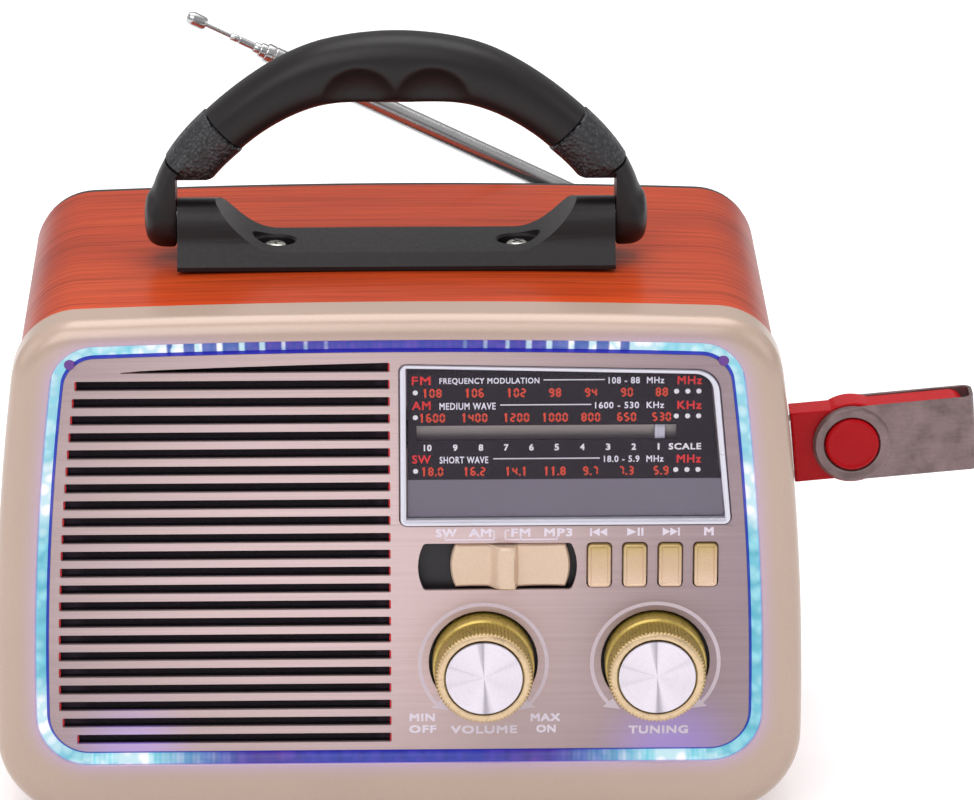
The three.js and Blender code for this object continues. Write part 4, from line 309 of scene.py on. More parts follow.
# ---- meshes
class Form:
    """Corners and faces of one piece, in millimetres, gathered before its mesh is made."""

    def __init__(self):
        self.corners = []
        self.faces = []
        self.kinds = []
        self.kind = 0

    def ring(self, points):
        start = len(self.corners)
        self.corners += [Vector(point) for point in points]
        return list(range(start, len(self.corners)))

    def loop(self, outline, depth):
        """A ring of an outline seen from the front, at a depth behind the front of the housing."""
        return self.ring((x, behind(depth), z) for x, z in outline)

    def face(self, *corners):
        self.faces.append(corners)
        self.kinds.append(self.kind)

    def band(self, first, second):
        """Faces between two rings, one of which may be a single corner."""
        count = max(len(first), len(second))
        for i in range(count):
            j = (i + 1) % count
            quad = [ring[k % len(ring)] for ring, k in ((first, i), (first, j), (second, j), (second, i))]
            self.face(*dict.fromkeys(quad))

    def skin(self, rings, closed=False):
        """Faces from ring to ring, and from the last to the first where the skin closes on itself."""
        for first, second in zip(rings, rings[1:] + rings[:1] if closed else rings[1:]):
            self.band(first, second)
        return self

    def cap(self, *rings):
        """A flat face inside the first ring and outside the others."""
        flat = [index for ring in rings for index in ring]
        for corners in tessellate_polygon([[self.corners[i] for i in ring] for ring in rings]):
            self.face(*(flat[i] for i in corners))

    def solid(self, rings):
        """A closed body with rings from end to end."""
        self.skin(rings)
        for end in (rings[0], rings[-1]):
            if len(end) > 2:
                self.cap(end)
        return self

    def plate(self, outline, front, back, holes=(), edge=0.0, steps=3, back_edge=0.0):
        """A plate between two depths with rounded front edges and any number of holes."""
        fronts, backs = [], []
        for loop, way in [(outline, 1)] + [(hole, -1) for hole in holes]:
            bend = quarter(steps)[:-1] if edge else []
            rings = [self.loop(moved_in(loop, way * edge * off), front + edge * on) for off, on in bend]
            rings += [self.loop(loop, front + edge), self.loop(loop, back - back_edge)]
            if back_edge:
                rings.append(self.loop(moved_in(loop, way * back_edge), back))
            self.skin(rings)
            fronts.append(rings[0])
            backs.append(rings[-1])
        self.cap(*fronts)
        self.cap(*backs)
        return self

    def box(self, x0, x1, y0, y1, z0, z1, edge=0.0):
        """A block with its edges along the axes cut back."""
        outline = rounded_box(x0, x1, z0, z1, edge, 2) if edge else rectangle(x0, x1, z0, z1)
        rings = [(outline, y0 + edge), (outline, y1 - edge)]
        if edge:
            small = moved_in(outline, edge * 0.7)
            rings = [(small, y0), *rings, (small, y1)]
        return self.solid([self.ring((x, y, z) for x, z in points) for points, y in rings])

    def turned(self, profile, centre, along, segments, closed=False):
        """A profile of (radius, reach) pairs turned round a line through the centre, along X, Y or Z."""
        rings = []
        for radius, reach in profile:
            ring = []
            for i in range(1 if radius < 1e-6 else segments):
                turn = 2 * pi * i / segments
                u, v = radius * cos(turn), radius * sin(turn)
                offset = {"x": (reach, u, v), "y": (u, reach, v), "z": (u, v, reach)}[along]
                ring.append(Vector(centre) + Vector(offset))
            rings.append(self.ring(ring))
        return self.skin(rings, True) if closed else self.solid(rings)

    def moved(self, matrix):
        """Carries the form to another place."""
        for corner in self.corners:
            corner.xyz = matrix @ corner
        return self


def shaded(mesh, angle):
    mesh.shade_smooth()
    mesh.set_sharp_from_angle(angle=radians(angle))


def raw_object(name, form):
    """An object of a form's corners and faces, in metres, its faces turned outward."""
    mesh = bpy.data.meshes.new(name)
    mesh.from_pydata([corner / 1000 for corner in form.corners], [], form.faces)
    mesh.polygons.foreach_set("material_index", form.kinds)
    work = bmesh.new()
    work.from_mesh(mesh)
    bmesh.ops.remove_doubles(work, verts=work.verts, dist=1e-7)
    bmesh.ops.dissolve_degenerate(work, edges=work.edges, dist=1e-8)
    bmesh.ops.recalc_face_normals(work, faces=work.faces)
    work.to_mesh(mesh)
    work.free()
    return in_scene(name, mesh)


def in_scene(name, data):
    """An object in the scene for a mesh, lamp, camera or text."""
    thing = bpy.data.objects.new(name, data)
    bpy.context.scene.collection.objects.link(thing)
    return thing


def worked_mesh(thing):
    """A new mesh of a thing with its modifiers worked in."""
    return bpy.data.meshes.new_from_object(thing.evaluated_get(bpy.context.evaluated_depsgraph_get()))


def worked(piece):
    """Works the modifiers of a piece into its mesh."""
    mesh, old = worked_mesh(piece), piece.data
    piece.modifiers.clear()
    piece.data = mesh
    bpy.data.meshes.remove(old)


def bevelled(piece, width, segments, angle):
    """A modifier that cuts back the sharp edges of a piece by a width in millimetres."""
    soft = piece.modifiers.new("soft edges", "BEVEL")
    soft.width = width / 1000
    soft.segments = segments
    soft.limit_method = "ANGLE"
    soft.angle_limit = radians(angle)
    soft.use_clamp_overlap = True
    return soft


def shut(piece):
    """Whether every edge of a piece has a face on each side, so that it holds a volume."""
    sides = {}
    for face in piece.data.polygons:
        for edge in face.edge_keys:
            sides[edge] = sides.get(edge, 0) + 1
    return all(count == 2 for count in sides.values())


def joined(piece, tool, operation):
    """Adds another piece to a piece, cuts it away, or keeps what both share, and drops the other."""
    work = piece.modifiers.new("join", "BOOLEAN")
    work.operation = operation
    work.solver = "MANIFOLD" if shut(piece) and shut(tool) else "EXACT"
    work.object = tool
    worked(piece)
    if len(piece.data.polygons) < 6:
        raise ValueError(f"{piece.name} is lost where {tool.name} meets it")
    bpy.data.objects.remove(tool)


def carved(piece, *cutters):
    """Takes cutters, as forms, out of a piece."""
    for cutter in cutters:
        joined(piece, raw_object("cutter", cutter), "DIFFERENCE")


def settle(piece, body, finishes, replaces, sharp):
    """Gives a piece its finishes, shading and body, and puts it in the place of a node."""
    piece.data.materials.clear()
    for finish in finishes if isinstance(finishes, list) else [finishes]:
        piece.data.materials.append(finish)
    shaded(piece.data, sharp)
    piece.modifiers.new("flat faces", "WEIGHTED_NORMAL").keep_sharp = True
    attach(piece, body)
    if replaces:
        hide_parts(replaces)
    return piece


def made(name, form, body, finishes, replaces=None, sharp=32):
    return settle(raw_object(name, form), body, finishes, replaces, sharp)


def kept(node, finish, bevel=0.15):
    """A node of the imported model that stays, with its finish and softened edges."""
    piece = NODES[node]
    piece.data.materials.clear()
    piece.data.materials.append(finish)
    shaded(piece.data, 32)
    if bevel:
        piece.modifiers.new("weld", "WELD").merge_threshold = 1e-6
        bevelled(piece, bevel, 2, 40).harden_normals = True


# ---- finishes
class Nodes:
    """Short ways to add nodes to a tree and to join them."""

    def __init__(self, owner):
        owner.use_nodes = True
        self.tree = owner.node_tree
        self.tree.nodes.clear()

    def add(self, kind, inputs=(), **settings):
        """A node with its settings, and its inputs as (socket, value) pairs."""
        node = self.tree.nodes.new("ShaderNode" + kind)
        for key, value in settings.items():
            setattr(node, key, value)
        for socket, value in inputs:
            self.feed(node.inputs[socket], value)
        return node

    def feed(self, socket, value):
        """Gives a socket a number, a colour or what another node puts out."""
        if isinstance(value, bpy.types.NodeSocket):
            self.tree.links.new(value, socket)
        elif hasattr(value, "__len__"):
            socket.default_value = (*value, 1)[: len(socket.default_value)]
        else:
            socket.default_value = value

    def calc(self, first, second, operation="MULTIPLY"):
        return self.add("Math", enumerate((first, second)), operation=operation).outputs[0]

    def span(self, value, low, high, to_low, to_high, kind="LINEAR"):
        """A value carried from one span to another, and held at its ends."""
        inputs = {"Value": value, "From Min": low, "From Max": high, "To Min": to_low, "To Max": to_high}
        return self.add("MapRange", inputs.items(), interpolation_type=kind).outputs["Result"]

    def ray(self, *kinds):
        """1 for a ray of any of the kinds, and 0 for the rest."""
        path = self.add("LightPath")
        found = path.outputs[f"Is {kinds[0]} Ray"]
        for kind in kinds[1:]:
            found = self.calc(found, path.outputs[f"Is {kind} Ray"], "MAXIMUM")
        return found


class Wiring(Nodes):
    """The nodes of one finish: a principled shader, and short ways to add what feeds it."""

    def __init__(self, name, colour, roughness, metallic=0.0, **sockets):
        self.material = bpy.data.materials.new(name)
        super().__init__(self.material)
        self.shader = self.add("BsdfPrincipled")
        self.add("OutputMaterial", [("Surface", self.shader.outputs[0])])
        self.set("Base Color", colour)
        self.set("Roughness", roughness)
        self.set("Metallic", metallic)
        for socket, value in sockets.items():
            self.set(socket.replace("_", " ").title().replace("Ior", "IOR"), value)

    def set(self, socket, value):
        self.feed(self.shader.inputs[socket], value)

    def here(self):
        """Place on the piece in metres."""
        return self.add("TexCoord").outputs["Object"]

    def carried(self, name, kind="Vector"):
        """What the corners of the piece carry under a name."""
        return self.add("Attribute", attribute_name=name).outputs[kind]

    def stretched(self, stretch, start=None):
        """The place on the piece, or another, times a stretch."""
        return self.add("Mapping", [("Scale", stretch), ("Vector", start or self.here())]).outputs["Vector"]

    def noise(self, scale, detail, roughness=0.5, place=None, distortion=0.0):
        inputs = {"Scale": scale, "Detail": detail, "Roughness": roughness, "Distortion": distortion}
        inputs["Vector"] = place or self.stretched((1, 1, 1))
        return self.add("TexNoise", inputs.items()).outputs["Fac"]

    def cells(self, scale, place=None):
        inputs = [("Scale", scale), ("Randomness", 1), ("Vector", place or self.stretched((1, 1, 1)))]
        return self.add("TexVoronoi", inputs, feature="F1").outputs["Distance"]

    def ramp(self, value, *stops, ease=False):
        """A colour for each value, from (place, colour) stops."""
        node = self.add("ValToRGB", [("Fac", value)])
        node.color_ramp.interpolation = "EASE" if ease else "LINEAR"
        elements = node.color_ramp.elements
        while len(elements) < len(stops):
            elements.new(0.5)
        for element, (at, colour) in zip(elements, stops):
            element.position = at
            element.color = (*colour, 1) if hasattr(colour, "__len__") else (colour, colour, colour, 1)
        return node.outputs["Color"]

    def mix(self, share, first, second, blend="MIX"):
        """Two colours mixed. The share is a number or what another node puts out."""
        inputs = ((0, share), (6, first), (7, second))
        return self.add("Mix", inputs, data_type="RGBA", blend_type=blend).outputs[2]

    def tinted(self, colour, *shades, ease=False):
        """A colour times the ramp of each (value, stop, stop...) in turn."""
        for value, *stops in shades:
            colour = self.mix(1, colour, self.ramp(value, *stops, ease=ease), "MULTIPLY")
        return colour

    def axis(self, name, start=None):
        """One axis of the piece's own place, in metres, or of another."""
        return self.add("SeparateXYZ", [(0, start or self.here())]).outputs[name]

    def near(self, place, reach):
        """From 1 at a place in millimetres down to 0 at a reach around it."""
        inputs = ((0, self.here()), (1, Vector(place) / 1000))
        off = self.add("VectorMath", inputs, operation="DISTANCE").outputs["Value"]
        return self.span(off, 0, reach / 1000, 1, 0, "SMOOTHERSTEP")

    def bump(self, height, strength, distance):
        inputs = [("Strength", strength), ("Distance", distance), ("Height", height)]
        self.set("Normal", self.add("Bump", inputs).outputs["Normal"])

    def paint(self, colour, *shades, ease=False):
        self.set("Base Color", self.tinted(colour, *shades, ease=ease))

    def rough(self, value, low, high):
        self.set("Roughness", self.span(value, 0.3, 0.7, low, high))

    def glow(self, colour, strength):
        self.set("Emission Color", colour)
        self.set("Emission Strength", strength)


def lacquered_veneer(case):
    """Orange-red veneer with fine dark streaks along the wrap, under gloss lacquer, with painted light at its
    front and painted shade towards its back and on its sides.
    """
    veneer, dark = Vector(case.wood_colour), case.streaks
    w = Wiring("lacquered_veneer", veneer, 0.4, coat_weight=0.14, coat_roughness=0.2, specular_ior_level=0.14)

    def grain(along, across, detail, roughness=0.5, distortion=0.0):
        return w.noise(1, detail, roughness, w.stretched((along, across, 1), w.carried("wrap")), distortion)

    drift = grain(9, 60, 3, distortion=0.4)
    streaks = grain(16, 900, 5, 0.62, 0.6)
    pores = grain(60, 3600, 2)
    pale = Vector((veneer.x * 1.1, veneer.y * 1.28, veneer.z * 1.2))
    colour = w.ramp(drift, (0.3, veneer * 0.86), (0.5, veneer), (0.72, pale))
    line = (streaks, (0.36, 1 - dark), (0.47, 1 - dark * 0.35), (0.6, 1.0))
    colour = w.tinted(colour, line, (pores, (0.34, 0.82), (0.5, 1.0)))
    # Painted light and shade: the wrap is warmer and lighter at its front and darker towards its back. Its
    # sides are darker and browner than its top, with less coat there.
    back = w.span(w.axis("Y"), behind(12) / 1000, behind(62) / 1000, 0, 1)
    side = w.span(w.calc(w.axis("X"), 0, "ABSOLUTE"), 0.07, 0.085, 0, 1)
    away = (back, (0.0, (1.12, 1.0, 0.9)), (0.25, (1, 1, 1)), (1.0, (0.9, 0.82, 0.8)))
    w.paint(colour, away, (side, (0.0, 1.0), (1.0, (0.68, 0.48, 0.36))), ease=True)
    w.set("Coat Weight", w.span(side, 0, 1, 0.14, 0.04))
    w.rough(streaks, 0.42, 0.3)
    w.bump(streaks, 0.12, 0.0001)
    return w.material


def pearl_plastic(case, ring):
    """Pearl beige moulding, with the violet light of the ring beside it painted on as a glow."""
    base = Vector(case.bezel_colour)
    sockets = {"specular_ior_level": 0.5, "coat_weight": 0.25, "coat_roughness": 0.2}
    w = Wiring("pearl_plastic", base, 0.32, 0.12, **sockets)
    flakes = w.noise(2600, 2)
    colour = w.ramp(w.noise(22, 3), (0.3, base * 0.96), (0.7, base * 1.03))
    w.paint(colour, (flakes, (0.3, 0.97), (0.7, 1.03)))
    # Painted glow: the ring's light is stored on the corners and given off by the moulding itself.
    w.glow(w.carried("near_light", "Color"), ring.spill)
    w.bump(flakes, 0.04, 0.00005)
    return w.material


def brushed_facing(facing, ring):
    """Thin pinkish metal brushed from side to side, with a painted pool of light round a spot near its middle
    and a painted violet glow near the ring's lamps.
    """
    base = Vector(facing.metal_colour)
    w = Wiring("brushed_facing", base, 0.36, 0.55, anisotropic=0.5, specular_ior_level=0.4)
    lines = w.noise(1, 4, 0.6, w.stretched((26, 1, 5200)))
    long_lines = w.noise(1, 3, 0.5, w.stretched((5, 1, 900)))
    # Painted light: lighter round a spot left of the middle, darker towards the edges.
    far = Vector((base.x * 0.58, base.y * 0.58, base.z * 0.64))
    colour = w.ramp(w.near((-15, FRONT, 62), 112), (0.0, far), (0.5, base * 0.88), (1.0, base * 1.2))
    fine, coarse = (lines, (0.28, 0.9), (0.72, 1.08)), (long_lines, (0.3, 0.94), (0.7, 1.05))
    w.paint(colour, fine, coarse)
    w.rough(lines, 0.3, 0.44)
    # Painted glow of the lamps behind the ring, violet, on the facing near them.
    lamps = [w.near((x, FRONT, LAMP_Z), reach) for x, reach in zip(LAMPS, (19, 21))]
    w.glow(w.mix(w.calc(*lamps, "ADD"), (0, 0, 0), ring.violet), ring.spill)
    w.bump(lines, 0.25, 0.00003)
    return w.material


def ring_glow(ring):
    """Frosted guide, lit in the colours that its corners carry."""
    w = Wiring("lit_guide", (0.03, 0.04, 0.07), 0.35, specular_ior_level=0.2)
    facets = w.cells(360, w.stretched((1, 0.3, 1)))
    tint = (facets, (0.15, (1.12, 1.08, 1.05)), (0.4, (0.95, 0.98, 1)), (0.6, (0.6, 0.84, 0.9)))
    w.glow(w.tinted(w.carried("lit", "Color"), tint), ring.strength)
    return w.material


def even(name, colour, roughness, metallic=0.0, grain=600, depth=0.08, vary=0.06, **sockets):
    """A moulded or painted finish with a fine grain and a slight variation of its colour."""
    base = Vector(colour)
    w = Wiring(name, base, roughness, metallic, **sockets)
    fine = w.noise(grain, 3)
    w.paint(w.ramp(w.noise(40, 2), (0.3, base * (1 - vary)), (0.7, base * (1 + vary))))
    w.rough(fine, roughness * 0.9, min(roughness * 1.12, 1))
    w.bump(fine, depth, 0.0001)
    return w.material


def lit_print(name, colour, strength):
    """Screen print with a painted glow, which keeps it bright under the window."""
    base = Vector(colour)
    w = Wiring(name, base, 0.5)
    w.paint(w.ramp(w.noise(900, 1), (0.3, base * 0.94), (0.7, base)))
    w.glow(base, strength)
    return w.material


def brushed(name, colour, roughness, stretch, metallic=1.0, contrast=0.12):
    """Metal with fine lines along the axis that the stretch is smallest on."""
    base = Vector(colour)
    w = Wiring(name, base, roughness, metallic)
    lines = w.noise(1, 3, 0.6, w.stretched(stretch))
    w.paint(w.ramp(lines, (0.25, base * (1 - contrast)), (0.75, base * (1 + contrast))))
    w.rough(lines, roughness * 0.8, roughness * 1.25)
    w.bump(lines, 0.15, 0.00003)
    return w.material


def clear_sheet():
    """Thin clear plastic that shows what lies behind it."""
    w = Wiring("clear_plastic", (0.4, 0.36, 0.48), 0.04, alpha=0.03, specular_ior_level=0.35)
    w.rough(w.noise(300, 2), 0.03, 0.06)
    return w.material


def leather_grain(colour):
    """Soft black sleeve with a pebbled face."""
    base = Vector(colour)
    w = Wiring("grained_sleeve", base, 0.42, specular_ior_level=0.55)
    pebbles, creases = w.cells(1150), w.noise(1500, 3)
    tone = w.ramp(pebbles, (0.0, base * 2.4), (0.35, base * 1.2), (0.6, base * 0.5))
    w.paint(tone, (creases, (0.35, 0.5), (0.65, 1.8)))
    w.rough(creases, 0.34, 0.52)
    w.bump(w.calc(w.calc(pebbles, w.calc(creases, 0.4), "SUBTRACT"), -1), 0.8, 0.0004)
    return w.material


def worn_steel(colour):
    """Bare folded steel, stained and scuffed."""
    base = Vector(colour)
    w = Wiring("worn_cover", base, 0.36, 0.6)
    scuffs = w.noise(1, 4, 0.6, w.stretched((300, 1500, 2600)))
    tone = w.ramp(w.noise(220, 5, 0.65), (0.3, base * 0.66), (0.5, base), (0.75, base * 1.25))
    w.paint(tone, (scuffs, (0.3, 0.86), (0.7, 1.1)))
    w.rough(scuffs, 0.3, 0.5)
    w.bump(scuffs, 0.2, 0.00004)
    return w.material


def circuit_board():
    """Lacquered board with copper tracks showing through."""
    green = Vector((0.025, 0.13, 0.05))
    w = Wiring("green_board", green, 0.35, coat_weight=0.4)
    turned = w.add("Mapping", [("Rotation", (pi / 2, 0, 0)), ("Vector", w.here())]).outputs["Vector"]
    tracks = {"Scale": 220, "Mortar Size": 0.06, "Color1": green, "Color2": green * 0.8}
    tracks |= {"Mortar": (0.09, 0.24, 0.06), "Vector": turned}
    w.paint(w.add("TexBrick", tracks.items(), offset=0.37, squash=0.7).outputs["Color"])
    return w.material


# ---- what a user may change
def colour_prop(name, thing, default):
    return FloatVectorProperty(
        name=name,
        description=f"Colour of {thing}",
        default=tuple(default),
        subtype="COLOR",
        size=3,
        min=0,
        soft_max=1,
    )


def length_prop(name, description, default, low, high):
    return FloatProperty(
        name=name, description=description, default=default, min=low, max=high, unit="LENGTH"
    )


class StageSettings(PropertyGroup):
    floor_colour: colour_prop("Floor colour", "the floor under the radio", (0.82, 0.82, 0.83))
    lamp_power: FloatProperty(
        name="Lamp power", description="Power of the large soft lamp", default=16.0, min=0, unit="POWER"
    )
    lens: FloatProperty(
        name="Lens", description="Focal length of the camera", default=225.5, min=20, unit="CAMERA"
    )


class CaseSettings(PropertyGroup):
    wood_colour: colour_prop("Veneer colour", "the wrap's veneer", shade(206, 72, 26))
    streaks: FloatProperty(
        name="Streaks", description="Darkness of the streaks", default=0.42, min=0, max=1, subtype="FACTOR"
    )
    bezel_colour: colour_prop("Bezel colour", "the moulded front", shade(196, 170, 154))
    wood_edge: length_prop("Veneer edge", "Radius of the wrap's front and back edges", 0.0005, 0.0001, 0.001)


class RingSettings(PropertyGroup):
    bright: colour_prop("Lit colour", "the ring where it is lit", shade(138, 224, 236))
    dim: colour_prop("Unlit colour", "the ring between its lamps", shade(62, 58, 168))
    # The spill is painted: its colour and strength make a glow that the moulding and the facing give off
    # beside the ring.
    violet: colour_prop("Spill colour", "the light thrown beside the ring", shade(92, 60, 245))
    strength: FloatProperty(name="Light", description="Strength of the ring's light", default=0.95, min=0)
    spill: FloatProperty(name="Spill", description="Strength of its tint beside it", default=0.35, min=0)


class FacingSettings(PropertyGroup):
    metal_colour: colour_prop("Facing colour", "the brushed facing", shade(194, 170, 170))
    film_colour: colour_prop("Film colour", "the film that shows at the slots' ends", shade(225, 20, 34))
    slot_height: length_prop("Slot height", "Height of a slot in the grille", 0.0021, 0.001, 0.0025)


class DialSettings(PropertyGroup):
    plate_colour: colour_prop("Plate colour", "the dial behind its print", shade(27, 17, 24))
    number_colour: colour_prop("Number colour", "the printed frequencies", shade(208, 58, 10))
    label_colour: colour_prop("Label colour", "the printed words", shade(222, 218, 232))
    frame_colour: colour_prop("Frame colour", "the frame round the dial", shade(222, 220, 232))


class KnobSettings(PropertyGroup):
    teeth: IntProperty(name="Teeth", description="Number of teeth round a knob", default=76, min=24, max=120)
    tooth_depth: length_prop("Tooth depth", "Depth of a tooth", 0.00045, 0.0001, 0.0006)
    gold: colour_prop("Knob colour", "the knobs", shade(182, 160, 88))
    spun: colour_prop("Cap colour", "the spun discs", shade(216, 208, 218))
    slider: colour_prop("Slider colour", "the band slider", shade(224, 196, 172))
    key: colour_prop("Key colour", "the keys", shade(212, 180, 146))


class HandleSettings(PropertyGroup):
    black: colour_prop("Handle colour", "the handle's satin plastic", shade(27, 23, 25))
    sleeve: colour_prop("Sleeve colour", "the grained sleeves", shade(40, 40, 44))
    grip: length_prop("Grip", "Thickness of the bow over the hand", 0.0158, 0.012, 0.016)
    arm: length_prop("Arm", "Thickness of the bow's arms", 0.0108, 0.009, 0.011)


class StickSettings(PropertyGroup):
    red: colour_prop("Stick colour", "the memory stick's body", shade(184, 14, 24))
    steel: colour_prop("Cover colour", "the worn steel cover", shade(128, 108, 108))
    cream: colour_prop("Surround colour", "the port's surround", shade(214, 198, 172))


class RearSettings(PropertyGroup):
    black: colour_prop("Panel colour", "the rear panel and the battery door", shade(44, 43, 45))
    battery: colour_prop("Battery colour", "the battery's wrap", shade(36, 92, 150))


class AerialSettings(PropertyGroup):
    chrome: colour_prop("Chrome", "the aerial's plating", (0.55, 0.54, 0.55))


SETTINGS = {
    "radio_stage": StageSettings,
    "radio_case": CaseSettings,
    "radio_ring": RingSettings,
    "radio_facing": FacingSettings,
    "radio_dial": DialSettings,
    "radio_knobs": KnobSettings,
    "radio_handle": HandleSettings,
    "radio_stick": StickSettings,
    "radio_rear": RearSettings,
    "radio_aerial": AerialSettings,
}


# ---- stage
ROOM_LIGHT = 0.42  # what the white room gives as light and in reflections, of 1
FLOOR_LIFT = 0.42  # how much lighter the floor is seen, also in metal and through glass


def aimed(thing, place, way):
    """Puts a camera or a lamp at a place, in metres, looking along a way."""
    thing.location = place
    thing.rotation_euler = way.to_track_quat("-Z", "Y").to_euler()


class RADIO_OT_stage(Operator):
    """Sets the camera, the soft lamps, the pale floor and the white surroundings."""

    bl_idname = "radio.stage"
    bl_label = "Stage"

    def execute(self, context):
        scene = context.scene
        stage = scene.radio_stage
        lens = bpy.data.cameras.new("camera")
        lens.lens = stage.lens
        lens.sensor_width = 36
        lens.clip_end = 30
        scene.camera = in_scene("camera", lens)
        aimed(scene.camera, (-0.00558, -1.29981, 0.53475), Vector((0.0188, 0.9436, -0.3305)))
        scene.view_settings.view_transform = "Standard"

        lamps = {
            "soft_front": ((-0.5, -1.3, 1.5), 1.4, 1.0),
            "soft_top": ((0.1, 0.35, 1.5), 1.2, 0.8),
            "soft_right": ((1.4, -0.5, 0.8), 1.0, 0.2),
            "soft_left": ((-1.5, -0.1, 0.7), 1.0, 0.17),
        }
        for name, (place, size, share) in lamps.items():
            light = bpy.data.lights.new(name, "AREA")
            light.shape = "SQUARE"
            light.size = size
            light.energy = stage.lamp_power * share
            aimed(in_scene(name, light), place, Vector((0, 0, 0.06)) - Vector(place))

        ground = Form()
        reach = 4000
        ground.face(*ground.ring((x, y, 0) for x, y in rectangle(-reach, reach, -reach, reach)))
        floor = raw_object("floor", ground)
        floor.location.z = CAD_BOX[0].z - 0.00002
        paint = Wiring("pale_floor", stage.floor_colour, 1, specular_ior_level=0)
        paint.glow((1, 1, 1), paint.calc(paint.ray("Camera", "Glossy", "Transmission"), FLOOR_LIFT))
        floor.data.materials.append(paint.material)
        floor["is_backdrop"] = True

        scene.world = bpy.data.worlds.new("white_room")
        room = Nodes(scene.world)
        strength = room.span(room.ray("Camera", "Transmission"), 0, 1, ROOM_LIGHT, 1)
        back = room.add("Background", [("Color", (1, 1, 1)), ("Strength", strength)])
        room.add("OutputWorld", [("Surface", back.outputs[0])])
        return {"FINISHED"}


# ---- case
def port_wall():
    """Where the port's mouth lies, and how far the wall leans back there."""
    outline = housing(WOOD_INSET)
    port_z = middle("port_plate").z
    low, high = (-left_edge(outline, port_z + off) for off in (-4, 4))
    lean = Matrix.Rotation(-atan2(low - high, 8), 4, "Y")
    return Matrix.Translation(((low + high) / 2, behind(28), 77)) @ lean


def wooden_wrap(case):
    edge = case.wood_edge * 1000
    front, back = BEZEL_DEPTH + GAP, DEPTH - REAR_PANEL - GAP
    form = Form()
    rings = []
    for inner, end, way in ((False, front, 1), (False, back, -1), (True, back, -1), (True, front, 1)):
        inset = WOOD_INSET + WOOD_WALL if inner else WOOD_INSET
        for off, on in quarter(3)[:: -1 if inner == (way == 1) else 1]:
            off *= -edge if inner else edge
            rings.append(form.loop(housing(inset + off), end + way * edge * on))
    piece = raw_object("wooden_wrap", form.skin(rings, True))
    carved(piece, Form().box(-20, 20, -4.15, 4.15, -7.9, 7.9).moved(port_wall()))
    nearest = nearest_on(housing(WOOD_INSET))
    store = piece.data.attributes.new("wrap", "FLOAT_VECTOR", "POINT")
    for corner, value in zip(piece.data.vertices, store.data):
        x, y, z = corner.co * 1000
        value.vector = (nearest(x, z)[1] / 1000, y / 1000, 0)
    settle(piece, "housing", lacquered_veneer(case), "cabinet_shell", 40)


def light_at(x, z):
    """How brightly the ring is lit at a place, from 0 to 1."""
    across = z > GROOVE_TOP - 12 or z < BASE + LIGHT_LOW + 8
    return held((abs(x) - 30) / 22) if across else 1


def coloured(piece, name, colour_at):
    """Stores the colour at each corner of a piece under a name."""
    layer = piece.data.color_attributes.new(name, "FLOAT_COLOR", "POINT")
    for corner, store in zip(piece.data.vertices, layer.data):
        store.color = (*colour_at(*(corner.co * 1000)), 1)


def moulded_front(case, ring):
    """Rounded rim, groove for the light and the baffle behind the facing."""
    rim, crest, lip = 4.8, 0.12, 0.5
    form = Form()
    rings = [form.loop(housing(0.5), BEZEL_DEPTH), form.loop(housing(0), BEZEL_DEPTH - 0.5)]
    rings += [form.loop(housing(rim * aside), rim * on) for on, aside in quarter(9)]
    outer, inner = housing(rim), groove(-lip)
    for share in (0.3, 0.55, 0.72, 0.84, 0.93, 1):
        loop = [(a + (c - a) * share, b + (d - b) * share) for (a, b), (c, d) in zip(outer, inner)]
        rings.append(form.loop(loop, crest * share))
    rings += [form.loop(groove(-lip * aside), crest + lip * on) for aside, on in quarter(3)[1:]]
    wall = ((0, 0.63), (0, GROOVE_FLOOR), (LIGHT_WIDTH, GROOVE_FLOOR), (LIGHT_WIDTH, BAFFLE_FRONT))
    rings += [form.loop(groove(inset), depth) for inset, depth in wall]
    form.skin(rings)
    back = [form.loop(groove(5), depth) for depth in (BAFFLE_BACK, BEZEL_DEPTH)]
    form.skin([*back, rings[0]])
    speaker, (cone_low, cone_high) = middle("speaker_cone"), edges("speaker_cone")
    keys = list(KEYS.values())
    holes = [
        circle(speaker.x, speaker.z, (cone_high.x - cone_low.x) / 2 + 1),
        rectangle(POINTER_SLOT[0] - 3, POINTER_SLOT[1] + 3, POINTER_Z - 4.5, POINTER_Z + 4.5),
        rectangle(8, SWITCH_HIGH - 6, SWITCH_Z - 2.4, SWITCH_Z + 2.4),
        rectangle(keys[0] - 4, keys[-1] + 4, SWITCH_Z - 6.65, SWITCH_Z + 6.65),
        circle(KNOB_VOLUME.x, KNOB_VOLUME.z, 3.5, 24),
        circle(KNOB_TUNING.x, KNOB_TUNING.z, 3.5, 24),
    ]
    fronts, backs = ([form.loop(hole, depth) for hole in holes] for depth in (BAFFLE_FRONT, BAFFLE_BACK))
    for near, far in zip(fronts, backs):
        form.band(near, far)
    form.cap(rings[-1], *fronts)
    form.cap(back[0], *backs)
    piece = raw_object("moulded_front", form)
    nearest = nearest_on(groove(0))
    blue, violet = shade(46, 50, 176), Vector(ring.violet)

    # Painted glow of the ring: strong blue on the groove's walls, and violet on the moulding beside the
    # groove, fading within 4.5 mm of it.
    def tint(x, y, z):
        off, lit = nearest(x, z)[0], light_at(x, z)
        if behind(0.6) < y < behind(GROOVE_FLOOR + 1) and -0.2 < off < 2.7:
            return blue * (1.6 + lit)
        return violet * (0.12 + 0.55 * lit) * max(1 - abs(off) / 4.5, 0) ** 2

    coloured(piece, "near_light", tint)
    settle(piece, "housing", pearl_plastic(case, ring), "front_bezel", 40)


